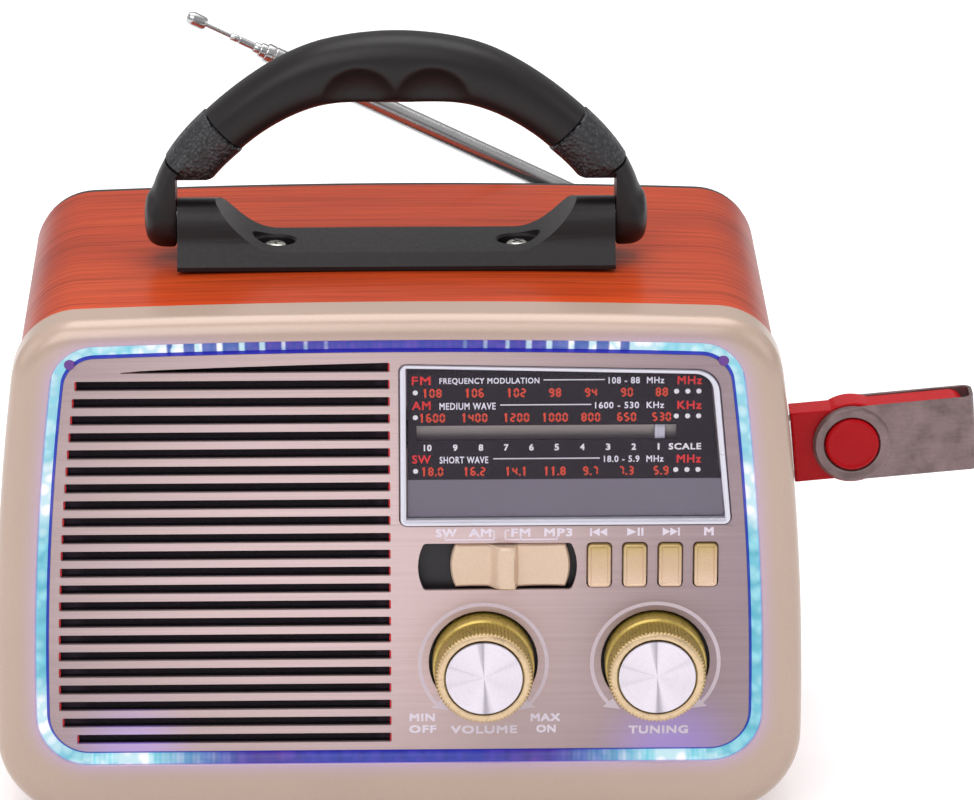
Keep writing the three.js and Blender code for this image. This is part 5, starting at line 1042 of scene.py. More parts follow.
def rubber_feet():
    rubber = even("ribbed_rubber", shade(34, 33, 34), 0.8, grain=1500, depth=0.3)
    tread = [(0, 0), (1.6, 0), (1.8, 0.35), (2.4, 0.35), (2.6, 0), (3.8, 0), (4, 0.35), (4.6, 0.35), (4.8, 0)]
    for node in ("foot_front_left", "foot_front_right", "foot_rear_left", "foot_rear_right"):
        place, (low, high) = middle(node), edges(node)
        radius, tall = (high.x - low.x) / 2, high.z - low.z
        side = [(radius - 0.9, 0), (radius - 0.26, 0.26), (radius, 0.9), (radius, tall), (0, tall)]
        form = Form().turned(tread + side, (place.x, place.y, low.z), "z", 48)
        made(node.replace("foot", "rubber_foot"), form, "housing", rubber, node)


class RADIO_OT_case(Operator):
    """Builds the veneered wrap, the moulded front and the rubber feet."""

    bl_idname = "radio.case"
    bl_label = "Case"

    def execute(self, context):
        scene = context.scene
        wooden_wrap(scene.radio_case)
        moulded_front(scene.radio_case, scene.radio_ring)
        rubber_feet()
        return {"FINISHED"}


# ---- light ring
WHITE = Vector((1, 1, 1))


def ring_top(x, bright, dim):
    """Colour along the top: teeth that shine, and blocks of light towards the corners."""
    side = abs(x)
    if side > 50:
        block = 0.5 + 0.5 * sin(x * 1.7) * sin(x * 0.9)
        return bright.lerp(WHITE, 0.9 if side < 56 else 0.15 + 0.5 * block)
    tooth = ((side + (1.6 if x > 0 else 0.7)) / 4.6) % 1
    lit = held((side - 12) / 24)
    width = 0.12 + 0.16 * lit + 0.28 * held((side - 40) / 8)
    if abs(tooth - 0.5) < width / 2:
        return dim.lerp(WHITE, lit**0.7)
    violet = dim.lerp(shade(126, 70, 170), 0.35 * abs(sin(x * 2.1)))
    return violet.lerp(bright, 0.5 * max(0, lit - 0.7))


def ring_foot(x, bright, dim):
    """Colour along the foot: a lamp near each end, and sparkles that fade towards the middle."""
    side = abs(x)
    if abs(x - LAMPS[x >= 0]) < 3.2:
        return WHITE
    lit = held((side - 33) / 22)
    sparkle = 0.5 + 0.5 * sin(x * 3.7) * sin(x * 1.9 + 1)
    facet = 0.86 + 0.14 * (((x / 4.6) % 1) > 0.3)
    base = dim.lerp(shade(112, 60, 150), max(0, 1 - abs(side - 30) / 12) * 0.7) * facet
    return base.lerp(bright.lerp(WHITE, sparkle * 0.7), lit**1.3 * (0.35 + 0.65 * max(sparkle, lit)))


def ring_side(x, z, bright):
    """Colour up a side: white before its lamps, and waves of pale blue between them."""
    wave = 0.5 + 0.5 * sin(z * 1.3) * sin(z * 0.37 + 0.5)
    lamps = max(0, 1 - abs(z - 76) / 11), max(0, 1 - abs(z - 24) / 10) if x < 0 else 0
    upper = min(1.6 * max(lamps), 1)
    calm = 0.6 if z > 86 or z < 14 else 0
    colour = bright.lerp(WHITE, min(0.15 + 0.3 * wave + 0.3 * calm, 1)).lerp(WHITE, upper)
    return colour.lerp(shade(84, 184, 200), (1 - upper) * (1 - calm) * (0.2 + 0.6 * wave))


def light_guide(ring):
    """Guide whose colour changes round it: lamps shine through near its corners."""
    bright, dim = Vector(ring.bright), Vector(ring.dim)
    profile = [(0.15, 6.4), (0.15, 0.55), (0.4, 0.35), (1.2, 0.5), (1.75, 0.9), (2.05, 1.2), (2.15, 1.6)]
    profile.append((2.15, 6.4))
    line = resampled(groove(1.2), 1200)
    form = Form()
    form.skin([form.loop(moved_in(line, inset - 1.2), depth) for inset, depth in profile], True)
    piece = raw_object("lit_ring", form)

    def lit(x, _, z):
        if z > GROOVE_TOP - 9 and abs(x) < 66:
            return ring_top(x, bright, dim)
        if z < BASE + LIGHT_LOW + 6 and abs(x) < 68:
            return ring_foot(x, bright, dim)
        return ring_side(x, z, bright)

    coloured(piece, "lit", lit)
    settle(piece, "housing", ring_glow(ring), "light_guide", 50)


def guide_pegs():
    """Round ends of the two pegs that the ring's guide is fixed by, at its upper corners."""
    form = Form()
    for x in (-71, 70.6):
        form.turned([(0, 0), (0.95, 0), (1.15, 0.2), (1.15, 3), (0, 3)], (x, behind(0.15), 106.2), "y", 24)
    made("guide_pegs", form, "housing", even("violet_peg", shade(110, 60, 150), 0.4))


class RADIO_OT_ring(Operator):
    """Builds the lit guide in its groove and its pegs, and finishes the lamps behind it."""

    bl_idname = "radio.ring"
    bl_label = "Light ring"

    def execute(self, context):
        light_guide(context.scene.radio_ring)
        guide_pegs()
        kept("led_board", even("white_board", shade(235, 233, 228), 0.5), 0)
        return {"FINISHED"}


# ---- facing and grille
def slot_outline(row, grow, tall):
    """A slot of the grille, its ends moved in by a distance and made taller by another."""
    half = bpy.context.scene.radio_facing.slot_height * 500 + tall
    z = SLOT_LOW + 3.05 + row * SLOT_PITCH
    right = SLOT_RIGHT - grow
    soft = 0.3
    if row == SLOT_COUNT - 1:
        left, bend = 24 - TOP_WIDTH / 2 + grow, right - soft
        points = [(left, z - half)]
        points += arc((bend, z - half + soft), soft, -pi / 2, 0, 3)
        points += arc((bend, z + half - soft), soft, 0, pi / 2, 3)
        steps = 14
        for i in range(1, steps):
            share = 1 - i / steps
            points.append((left + (bend - left) * share, z - half + 2 * half * (0.06 + 0.94 * share**0.62)))
        return points + [(left, z - half + 0.14)]
    edge = groove(LIGHT_WIDTH + SLOT_EDGE)
    lowest = SLOT_LOW + SLOT_EDGE + 0.6
    left = max(left_edge(edge, max(z + off, lowest)) for off in (tall - half, 0, half - tall)) + grow
    return rounded_box(left, right, z - half, z + half, soft, 3)


def dial_outline(inset):
    low, high = edges("dial_frame")
    soft = max(1.5 - inset, 0.2)
    corners = [
        (low.x + inset, low.z + inset, soft),
        (high.x + 0.4 - inset, low.z + inset, soft),
        (high.x - 2.9 - inset, high.z - 2.2 - inset * 0.6, 5.2 - inset * 0.8),
        (low.x + inset, high.z - 0.5 - inset * 0.6, soft),
    ]
    return filleted(corners, 12)


def bowed_ends(more, low, high):
    """The switch's opening, made longer: straight top and bottom, and ends bowed outward."""
    rise, half_way = (high - low) / 2, (low + high) / 2
    radius = (rise**2 + SWITCH_BOW**2) / (2 * SWITCH_BOW)
    soft = 0.9
    inner = radius - soft
    turn = asin((rise - soft) / inner)
    outline = []
    for way, tip in ((1, SWITCH_HIGH + more), (-1, SWITCH_LOW - more)):
        half_turn = pi * (way < 0)
        corners = []
        for side in (-1, 1):
            centre = (tip - way * (radius - inner * cos(turn)), half_way + way * side * (rise - soft))
            start = half_turn + (-pi / 2 if side < 0 else turn)
            corners.append(arc(centre, soft, start, start + pi / 2 - turn, 5))
        face = arc((tip - way * radius, half_way), radius, half_turn - turn, half_turn + turn, 12)
        outline += corners[0] + face[1:-1] + corners[1]
    return outline


def key_outline(x, inset, round_off=0.8):
    half, rise = KEY_WIDTH / 2 - inset, KEY_HEIGHT / 2 - inset
    z = SWITCH_Z - 0.3
    return rounded_box(x - half, x + half, z - rise, z + rise, max(round_off - inset, 0.2), 4)


def facing_holes(slots, more=0.0, tall=0.0):
    holes = [slot_outline(row, slots, tall) for row in range(SLOT_COUNT)]
    holes += [dial_outline(-GAP - more), bowed_ends(more, SWITCH_Z - 5.95 - more, SWITCH_Z + 4.9 + more)]
    holes += [key_outline(x, -0.3 - more) for x in KEYS.values()]
    return holes + [circle(knob.x, knob.z, KNOB_HOLE + more) for knob in (KNOB_VOLUME, KNOB_TUNING)]


def facing_layers(facing, ring):
    """Brushed sheet, red film that peeps out at the slots' ends, and black carrier behind both."""
    rim = groove(LIGHT_WIDTH)
    sheet = Form().plate(moved_in(rim, 0.05), PANEL_FRONT, 1.7, facing_holes(0), edge=0.1, steps=2)
    made("brushed_facing", sheet, "housing", brushed_facing(facing, ring), "front_panel", 30)
    film_edge = [(x + 0.02, z + 0.1) for x, z in moved_in(rim, 0.12)]
    film = Form().plate(film_edge, 1.72, 1.92, facing_holes(0.34, 0.1, 0.3))
    made("red_film", film, "housing", even("red_film", facing.film_colour, 0.4, vary=0.1))
    carrier = Form().plate(moved_in(rim, 0.15), 1.95, PANEL_BACK, facing_holes(-0.1, 0.1, 0.1))
    black = even("black_carrier", shade(30, 26, 32), 0.42, grain=300)
    made("facing_carrier", carrier, "housing", black)


def facing_edge(facing):
    """Strip round the edge of the facing, blue with a painted glow of the ring's light below it, red at its
    upper right.
    """
    profile = ((0, 1.02), (0.16, 1.25), (0.6, 1.9), (0.6, 4.35), (0, 4.35))
    form = Form()
    rings = [form.loop(groove(LIGHT_WIDTH - out), depth) for out, depth in profile]
    form.skin(rings, True)
    for i in rings[0]:
        form.kinds[i] = int(form.corners[i].x > -14 and form.corners[i].z > 97)
    w = Wiring("blue_painted_glow_edge", shade(40, 44, 150), 0.4)
    w.paint(w.ramp(w.noise(120, 2), (0.3, shade(36, 40, 150)), (0.7, shade(56, 52, 170))))
    # Painted glow: the ring's blue light, given off by the strip itself.
    w.glow(shade(40, 40, 150), 0.42)
    red = even("red_edge", facing.film_colour, 0.4)
    made("facing_edge", form, "housing", [w.material, red])


def speaker_cloth():
    """Fine black cloth stretched over the baffle behind the slots, with painted light that makes it paler
    near the slots' ends.
    """
    low, high = edges("speaker_cloth")
    edge = [point for point in groove(LIGHT_WIDTH + 0.9) if point[0] < SLOT_RIGHT - 3]
    outline = [(high.x, edge[-1][1]), (high.x, edge[0][1])] + edge
    form = Form().plate(outline, PANEL_BACK + 0.03, BAFFLE_FRONT - 0.02)
    w = Wiring("black_weave", shade(40, 32, 40), 0.9, sheen_weight=0.3, sheen_roughness=0.5)
    threads = []
    for axis in "XZ":
        inputs = [("Scale", 900), ("Vector", w.stretched((1, 1, 1)))]
        threads.append(w.add("TexWave", inputs, wave_type="BANDS", bands_direction=axis).outputs["Fac"])
    weave = w.calc(*threads)
    tone = w.ramp(weave, (0.0, shade(34, 24, 34)), (1.0, shade(62, 50, 62)))
    # Painted light: the cloth is paler near the left and right ends of the slots.
    ends = [w.span(w.axis("X"), start, end, 0, 1) for start, end in ((-0.0072, -0.0018), (-0.066, -0.0745))]
    w.paint(tone, (w.calc(*ends, "MAXIMUM"), (0.3, 1.0), (0.6, 2.6)))
    w.bump(weave, 0.6, 0.0001)
    piece = made("stretched_cloth", form, "housing", w.material, "speaker_cloth")


class RADIO_OT_facing(Operator):
    """Builds the brushed facing with its slots, the film and carrier behind it, and the speaker's cloth."""

    bl_idname = "radio.facing"
    bl_label = "Facing and grille"

    def execute(self, context):
        scene = context.scene
        facing_layers(scene.radio_facing, scene.radio_ring)
        facing_edge(scene.radio_facing)
        speaker_cloth()
        kept("speaker_basket", even("plated_basket", shade(168, 162, 158), 0.35, 0.9), 0)
        kept("speaker_cone", even("black_paper", shade(30, 28, 29), 0.9, grain=900, depth=0.3), 0)
        return {"FINISHED"}


# ---- dial
def dial_frame(dial):
    profile = [(0, PANEL_BACK), (0, 0.62), (0.1, 0.4), (0.3, 0.3), (0.62, 0.3), (0.84, 0.36), (0.9, 0.52)]
    profile += [(1.18, 0.62), (1.3, 0.8), (1.3, PANEL_BACK)]
    form = Form()
    form.skin([form.loop(dial_outline(inset), depth) for inset, depth in profile], True)
    finish = brushed("satin_silver", dial.frame_colour, 0.32, (40, 40, 400), 0.35, 0.05)
    made("silver_frame", form, "housing", finish, "dial_frame", 28)


def lettering(name, words, finish, depth, weight):
    """Raised print of several words, each given as (text, left, right, middle height, height).

    Each word is printed four times, a little aside in every direction, for the weight of its strokes.
    """
    work = bmesh.new()
    for text, left, right, z, height in words:
        curve = bpy.data.curves.new("word", "FONT")
        curve.body = text
        curve.resolution_u = 3
        curve.fill_mode = "FRONT"
        curve.space_character = 1.12
        drawn = in_scene("word", curve)
        flat = worked_mesh(drawn)
        xs = [corner.co.x for corner in flat.vertices]
        ys = [corner.co.y for corner in flat.vertices]
        up = (height - 2 * weight) / (max(ys) - min(ys))
        across = min((right - left - 2 * weight) / (max(xs) - min(xs)), up * 1.4)
        left = (left + right - across * (max(xs) - min(xs))) / 2 - weight
        for corner in flat.vertices:
            x = left + weight + (corner.co.x - min(xs)) * across
            rise = z - height / 2 + weight + (corner.co.y - min(ys)) * up
            corner.co = Vector((x, behind(depth), rise)) / 1000
        for k, (aside, rise) in enumerate((a, b) for a in (-1, 1) for b in (-1, 1)):
            copy = flat.copy()
            copy.transform(Matrix.Translation((aside * weight / 1000, -0.000004 * k, rise * weight / 1000)))
            work.from_mesh(copy)
            bpy.data.meshes.remove(copy)
        bpy.data.objects.remove(drawn)
        bpy.data.curves.remove(curve)
        bpy.data.meshes.remove(flat)
    raised(name, work, finish)


def raised(name, work, finish):
    """Turns flat print into a body as thin as ink."""
    for face in work.faces:
        face.normal_update()
        if face.normal.y > 0:
            face.normal_flip()
    pushed = bmesh.ops.extrude_face_region(work, geom=work.faces[:])
    front = [item for item in pushed["geom"] if isinstance(item, bmesh.types.BMVert)]
    bmesh.ops.translate(work, verts=front, vec=(0, -INK, 0))
    bmesh.ops.recalc_face_normals(work, faces=work.faces)
    mesh = bpy.data.meshes.new(name)
    work.to_mesh(mesh)
    work.free()
    piece = in_scene(name, mesh)
    mesh.materials.append(finish)
    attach(piece, "housing")


def printed(name, shapes, finish, depth):
    """Raised print of flat shapes, each a loop of (x, z) pairs."""
    work = bmesh.new()
    for loop in shapes:
        verts = [work.verts.new(Vector((x, behind(depth), z)) / 1000) for x, z in loop]
        for triangle in tessellate_polygon([[Vector((x, z, 0)) for x, z in loop]]):
            work.faces.new([verts[i] for i in triangle])
    raised(name, work, finish)


INK = 0.00003  # thickness of print, in metres
DIAL_DEPTH = 2.1
SEGMENTS = {
    "0": "abcdef",
    "2": "abged",
    "3": "abgcd",
    "4": "fgbc",
    "5": "afgcd",
    "6": "afgedc",
    "7": "abc",
    "8": "abcdefg",
    "9": "abcdfg",
}


def segment(x0, z0, x1, z1, half):
    """A straight stroke between two places, with pointed ends."""
    gap = 0.02
    if z0 == z1:
        left, right = x0 + gap, x1 - gap
        low, high = z0 - half, z0 + half
        near, far = left + half, right - half
        return [(left, z0), (near, low), (far, low), (right, z0), (far, high), (near, high)]
    low, high = z0 + gap, z1 - gap
    left, right = x0 - half, x0 + half
    near, far = low + half, high - half
    return [(x0, low), (right, near), (right, far), (x0, high), (left, far), (left, near)]


def digits(text, x, z):
    """Numbers made of seven straight strokes, their middle at a place."""
    height, width, stroke, space, dot = 2.05, 1.2, 0.4, 0.28, 0.62
    sizes = [dot if letter == "." else width + space for letter in text]
    left = x - (sum(sizes) - space) / 2
    half = stroke / 2
    low, high = z - height / 2 + half, z + height / 2 - half
    shapes = []
    for letter, size in zip(text, sizes):
        near, right = left + half, left + (size - space) - half
        strokes = {
            "a": (near, high, right, high),
            "b": (right, z, right, high),
            "c": (right, low, right, z),
            "d": (near, low, right, low),
            "e": (near, low, near, z),
            "f": (near, z, near, high),
            "g": (near, z, right, z),
        }
        if letter == ".":
            shapes.append(rectangle(left, left + stroke, low - half, low + half))
        if letter == "1":
            stem = (near + right) / 2
            side = stem - half
            shapes.append(upright(stem, low - half, high + half, half))
            shapes.append([(side, high + half), (near, high - 0.22), (near, high - 0.55), (side, high - 0.2)])
        shapes += [segment(*strokes[part], half) for part in SEGMENTS.get(letter, "")]
        left += size
    return shapes


# label, title and its end, span and its start, and unit
# height of the words, and both ends of the rule
# height and values of the frequencies
BANDS = [
    (
        ("FM", "FREQUENCY MODULATION", 30.7, "108 - 88  MHz", 45.7, "MHz"),
        (101.5, 31.6, 44.9),
        (98.7, (108, 106, 102, 98, 94, 90, 88)),
    ),
    (
        ("AM", "MEDIUM WAVE", 21.2, "1600 - 530  KHz", 42.8, "KHz"),
        (95.8, 22.2, 42.0),
        (93.0, (1600, 1400, 1200, 1000, 800, 650, 530)),
    ),
    (
        ("SW", "SHORT WAVE", 19.6, "18.0 - 5.9  MHz", 44.8, "MHz"),
        (83.4, 20.7, 43.9),
        (80.6, ("18.0", "16.2", "14.1", "11.8", "9.7", "7.3", "5.9")),
    ),
]
NUMBERS_AT = (7.4, 16.6, 25.7, 34.1, 41.9, 49.7, 57.3)
SCALE_AT = (6.4, 12.4, 18.0, 23.5, 29.0, 34.5, 40.1, 45.7, 51.3, 56.7)
SCALE_Z = 86


def dial_face(dial):
    """Dark plate with its slot, the grey band below, and the scales printed on it."""
    slot = rectangle(*POINTER_SLOT, POINTER_Z - 2.15, POINTER_Z + 1.25)
    form = Form().plate(dial_outline(1.6), DIAL_DEPTH, DIAL_DEPTH + 0.8, [slot], edge=0.05, steps=1)
    back = even("violet_black", dial.plate_colour, 0.5, grain=900, depth=0.03, specular_ior_level=0.15)
    made("dial_face", form, "housing", back, "dial_plate")
    band = lower_band([point for point in dial_outline(1.62) if point[1] < 78.4], 78.6)
    grey = even("grey_band", shade(112, 104, 119), 0.4, vary=0.04)
    printed("dial_band", [band], grey, DIAL_DEPTH)
    red, white, figures, marks = [], [], [], []
    for (label, title, title_end, span, span_start, unit), (z, rule_start, rule_end), (row, numbers) in BANDS:
        red += [(label, 3.0, 7.1, z - 0.05, 1.95), (unit, 60.7, 66.0, z - 0.25, 1.9)]
        white += [(title, 9.0, title_end, z - 0.25, 1.6), (span, span_start, 57.8, z - 0.2, 1.5)]
        for x, number in zip(NUMBERS_AT, numbers):
            figures += digits(str(number), x, row - 0.12)
        marks.append(rectangle(rule_start, rule_end, z - 0.12, z + 0.12))
        marks += [circle(x, row, 0.56, 20) for x in (3.75, 60.5, 62.95, 65.35)]
    red_ink = lit_print("red_print", shade(205, 20, 14), 0.2)
    lettering("band_labels", red, red_ink, DIAL_DEPTH, 0.05)
    white_ink = lit_print("white_print", dial.label_colour, 0.12)
    lettering("scale_words", white, white_ink, DIAL_DEPTH, 0.035)
    orange_ink = lit_print("orange_print", dial.number_colour, 0.15)
    printed("frequencies", figures, orange_ink, DIAL_DEPTH)
    scale = []
    for i, x in enumerate(SCALE_AT):
        half = 0.5 if i else 0.85
        scale.append((str(10 - i), x - half, x + half, SCALE_Z, 1.5))
    scale.append(("SCALE", 58.9, 66.0, SCALE_Z, 1.5))
    bright_ink = lit_print("bright_print", shade(224, 220, 228), 0.12)
    lettering("pointer_scale", scale, bright_ink, DIAL_DEPTH, 0.06)
    printed("scale_marks", marks, bright_ink, DIAL_DEPTH)


def lower_band(points, top):
    """The lower part of the plate's outline, closed by a straight edge above it."""
    right, left = max(point[0] for point in points), min(point[0] for point in points)
    low = [point for point in points if point[1] < top - 4]
    down = sorted((point for point in low if point[0] < 36), key=lambda point: -point[1])
    up = sorted((point for point in low if point[0] >= 36), key=lambda point: point[1])
    return down + up + [(right - 0.2, top), (left, top)]


def pointer_channel():
    """Grey strips behind the slot that the pointer runs in front of, with painted shading: darker at their
    foot and lighter at their top.
    """
    w = Wiring("channel_grey", shade(130, 122, 118), 0.35, 0.3)
    # Painted shading: darker at the foot of the strip, lighter at its top.
    rise = w.span(w.axis("Z"), (POINTER_Z - 3.1) / 1000, (POINTER_Z + 0.6) / 1000, 0, 1)
    w.paint(w.ramp(rise, (0.0, shade(94, 86, 92)), (0.5, shade(124, 116, 114)), (1.0, shade(168, 158, 154))))
    w.rough(w.noise(500, 2), 0.3, 0.4)
    start, end = POINTER_SLOT
    strip = Form().plate(rounded_box(start - 2, end + 2, POINTER_Z - 4.5, POINTER_Z + 1, 0.3, 2), 4.25, 4.65)
    made("pointer_channel", strip, "housing", w.material)


def pointer():
    """Pale flag with a raised line, an arm back to the cord and a clip round it."""
    low, high = edges("dial_pointer")
    x0, x1, z = low.x, high.x, POINTER_Z
    line = (x0 + x1) / 2
    form = Form()
    form.box(x0, x1, behind(3.2), behind(4.0), low.z, high.z, 0.12)
    form.box(line - 0.25, line + 0.25, behind(3.0), behind(3.4), low.z + 0.2, high.z - 0.2, 0.1)
    clip = (14.6, 17.8, -2, -0.75), (14.6, 17.8, 0.7, 1.6), (14.6, 15.4, -0.8, 0.8)
    for front, back, down, up in ((3.9, 15.4, 1.2, 2.4), *clip):
        form.box(x0, x1, behind(front), behind(back), z + down, z + up)
    finish = even("pearl_flag", shade(214, 208, 226), 0.3, vary=0.03)
    made("pointer_flag", form, "pointer", finish, "dial_pointer")


class RADIO_OT_dial(Operator):
    """Builds the dial's frame, window, plate and print, and the pointer with its channel."""

    bl_idname = "radio.dial"
    bl_label = "Dial"

    def execute(self, context):
        dial = context.scene.radio_dial
        dial_frame(dial)
        dial_face(dial)
        window = Form().plate(dial_outline(1.6), PANEL_FRONT, PANEL_FRONT + 0.8, edge=0.12, steps=2)
        made("clear_window", window, "housing", clear_sheet(), "dial_window")
        pointer_channel()
        pointer()
        return {"FINISHED"}


class RADIO_OT_mechanism(Operator):
    """Finishes the cord, drum and pulleys that carry the pointer, and the parts the knobs turn."""

    bl_idname = "radio.mechanism"
    bl_label = "Dial mechanism"

    def execute(self, context):
        white = even("white_nylon", shade(232, 230, 226), 0.45)
        for node in ("tuning_drum", "pulley_left", "pulley_right"):
            kept(node, white, 0)
        kept("dial_cord", even("waxed_cord", shade(226, 222, 212), 0.7, grain=3000, depth=0.5), 0)
        kept("tuning_capacitor", even("clear_case", shade(206, 208, 206), 0.3, coat_weight=0.4))
        kept("volume_control", brushed("plated_can", shade(190, 186, 178), 0.32, (60, 60, 900)))
        return {"FINISHED"}


# ---- knobs
KNOB_DEPTH = KNOB_FRONT - FRONT
# radius, depth behind the knob's front and share of a tooth's depth, from the recess to the skirt
KNOB_RINGS = (
    (8.8, 1.6, 0), (8.8, 0.25, 0), (8.95, 0.06, 0), (9.2, 0, 0),
    (9.75, 0.03, 0), (10.0, 0.18, 0), (10.05, 0.3, 0), (10.15, 0.34, 0.1),
    (10.62, 0.5, 1), (10.8, 0.8, 1), (10.8, 5.9, 1), (10.75, 6.25, 0.4),
    (10.62, 6.4, 0), (10.62, 6.7, 0), (11.05, 7.0, 0), (11.2, 7.3, 0),
)


def knob_grip(centre, node, knobs):
    """Plain skirt, toothed grip, smooth front ring and the shaft behind."""
    segments = knobs.teeth * 4
    bite = knobs.tooth_depth * 1000
    x, z = centre.x, centre.z
    back = BAFFLE_FRONT - 0.5
    shaft_end = edges(node)[1].y
    form = Form()

    def ring(radius, depth, cut=0.0):
        corners = []
        for i in range(segments):
            turn = 2 * pi * i / segments
            reach = radius - (0, 0.5, 1, 0.5)[i % 4] * cut
            corners.append((x + reach * cos(turn), behind(depth), z + reach * sin(turn)))
        return form.ring(corners)

    rings = [form.ring([(x, behind(KNOB_DEPTH + 1.6), z)])]
    rings += [ring(radius, KNOB_DEPTH + depth, bite * cut) for radius, depth, cut in KNOB_RINGS]
    rings += [ring(*end) for end in ((11.2, back - 0.4), (10.9, back), (3, back), (3, shaft_end - FRONT))]
    return form.skin([*rings, form.ring([(x, shaft_end, z)])])


def gold_metal(knobs):
    base = Vector(knobs.gold)
    w = Wiring("gold_anodised", base, 0.34, 0.45)
    depth = w.span(w.axis("Y"), KNOB_FRONT / 1000, (FRONT + 2) / 1000, 0, 1)
    front = (0.0, shade(222, 194, 156)), (0.035, shade(216, 186, 142))
    skirt = (0.62, shade(200, 174, 92)), (1.0, shade(190, 164, 76))
    spots = w.noise(700, 3)
    tone = w.ramp(depth, *front, (0.07, base), (0.5, base * 0.9), *skirt)
    w.paint(tone, (spots, (0.3, 0.9), (0.7, 1.1)))
    w.rough(spots, 0.24, 0.4)
    w.bump(spots, 0.06, 0.00005)
    return w.material


# painted reflection on a spun disc, by the turn round it: grey wedges above and below
PAINTED_REFLECTION_WEDGES = (
    (0.0, 1.0), (0.035, 0.9), (0.06, 1.0), (0.2, 1.0), (0.235, 0.96),
    (0.256, 0.5), (0.262, 0.56), (0.285, 0.9), (0.3, 1.0), (0.55, 1.0),
    (0.58, 0.9), (0.6, 1.0), (0.72, 1.0), (0.745, 0.94), (0.756, 0.52),
    (0.77, 0.7), (0.79, 1.0), (0.93, 1.0), (0.945, 0.86), (0.96, 1.0),
)


def spun_disc(knobs):
    """Disc turned on a lathe: round lines, gloss drawn out along them into wedges, and grey wedges of
    reflection painted across them as well.
    """
    base = Vector(knobs.spun)
    w = Wiring("spun_aluminium", base, 0.3, 1.0, anisotropic=0.85)
    w.set("Tangent", w.add("Tangent", direction_type="RADIAL", axis="Y").outputs[0])
    lines = w.noise(1, 2, 0.5, w.stretched((9000, 1, 1), w.carried("turned")))
    # Painted reflection: grey wedges above and below, on top of the gloss that the anisotropy draws out.
    tone = w.ramp(w.axis("Y", w.carried("turned")), *[(at, base * share) for at, share in PAINTED_REFLECTION_WEDGES], ease=True)
    w.paint(tone, (lines, (0.3, 0.94), (0.7, 1.05)))
    w.rough(lines, 0.22, 0.34)
    return w.material


def knob_cap(name, centre, body, node, knobs):
    """Dished disc let into the knob, with the fine edge that a lathe leaves."""
    x, z = centre.x, centre.z
    profile = [(0, 0.5), (1.2, 0.49), (6.5, 0.24), (8.0, 0.16), (8.2, 0.14), (8.4, 0.22), (8.5, 0.45)]
    profile += [(8.5, 1.3), (0, 1.3)]
    form = Form().turned([(radius, KNOB_DEPTH + depth) for radius, depth in profile], (x, FRONT, z), "y", 96)
    piece = raw_object(name, form)
    mesh = piece.data

    def from_middle(place):
        across, up = place.x - x / 1000, place.z - z / 1000
        return hypot(across, up), atan2(up, across)

    store = mesh.attributes.new("turned", "FLOAT_VECTOR", "CORNER")
    for polygon in mesh.polygons:
        middle_turn = from_middle(polygon.center)[1]
        for index in polygon.loop_indices:
            radius, turn = from_middle(mesh.vertices[mesh.loops[index].vertex_index].co)
            if radius <= 1e-6:
                turn = middle_turn
            if abs(turn - middle_turn) > pi:
                turn += copysign(2 * pi, middle_turn - turn)
            store.data[index].vector = (radius, (turn + pi) / (2 * pi), 0)
    settle(piece, body, spun_disc(knobs), node, 30)


class RADIO_OT_knobs(Operator):
    """Builds the two toothed knobs and the spun discs in their fronts."""

    bl_idname = "radio.knobs"
    bl_label = "Knobs"

    def execute(self, context):
        knobs = context.scene.radio_knobs
        gold = gold_metal(knobs)
        for body, centre in (("volume", KNOB_VOLUME), ("tuning", KNOB_TUNING)):
            node = f"{body}_knob"
            made(f"{body}_grip", knob_grip(centre, node, knobs), body, gold, node, 28)
            knob_cap(f"{body}_disc", centre, body, f"{node}_cap", knobs)
        return {"FINISHED"}


# ---- band switch, keys and the facing's print
def slider_front(x, half):
    """Depth of the slider's front at a place across it: two flat pads and a ridge with one steep side."""
    flat, ridge = PANEL_FRONT + 0.25, PANEL_FRONT - 2.3
    gentle, steep = (x + 5.2) / 3.6, (1.7 - x) / 0.8
    on_ridge = -1.6 <= x <= 0.9
    rise = 1 if on_ridge else held(gentle if x < 0 else steep)
    rise = rise * rise * (3 - 2 * rise)
    dish = 0.35 * max(0, 1 - ((abs(x) - half * 0.55) / (half * 0.4)) ** 2)
    top = 0.12 * cos((x + 0.35) * 1.2) if on_ridge else 0
    return flat + dish * (1 - rise) + (ridge - flat) * rise - top


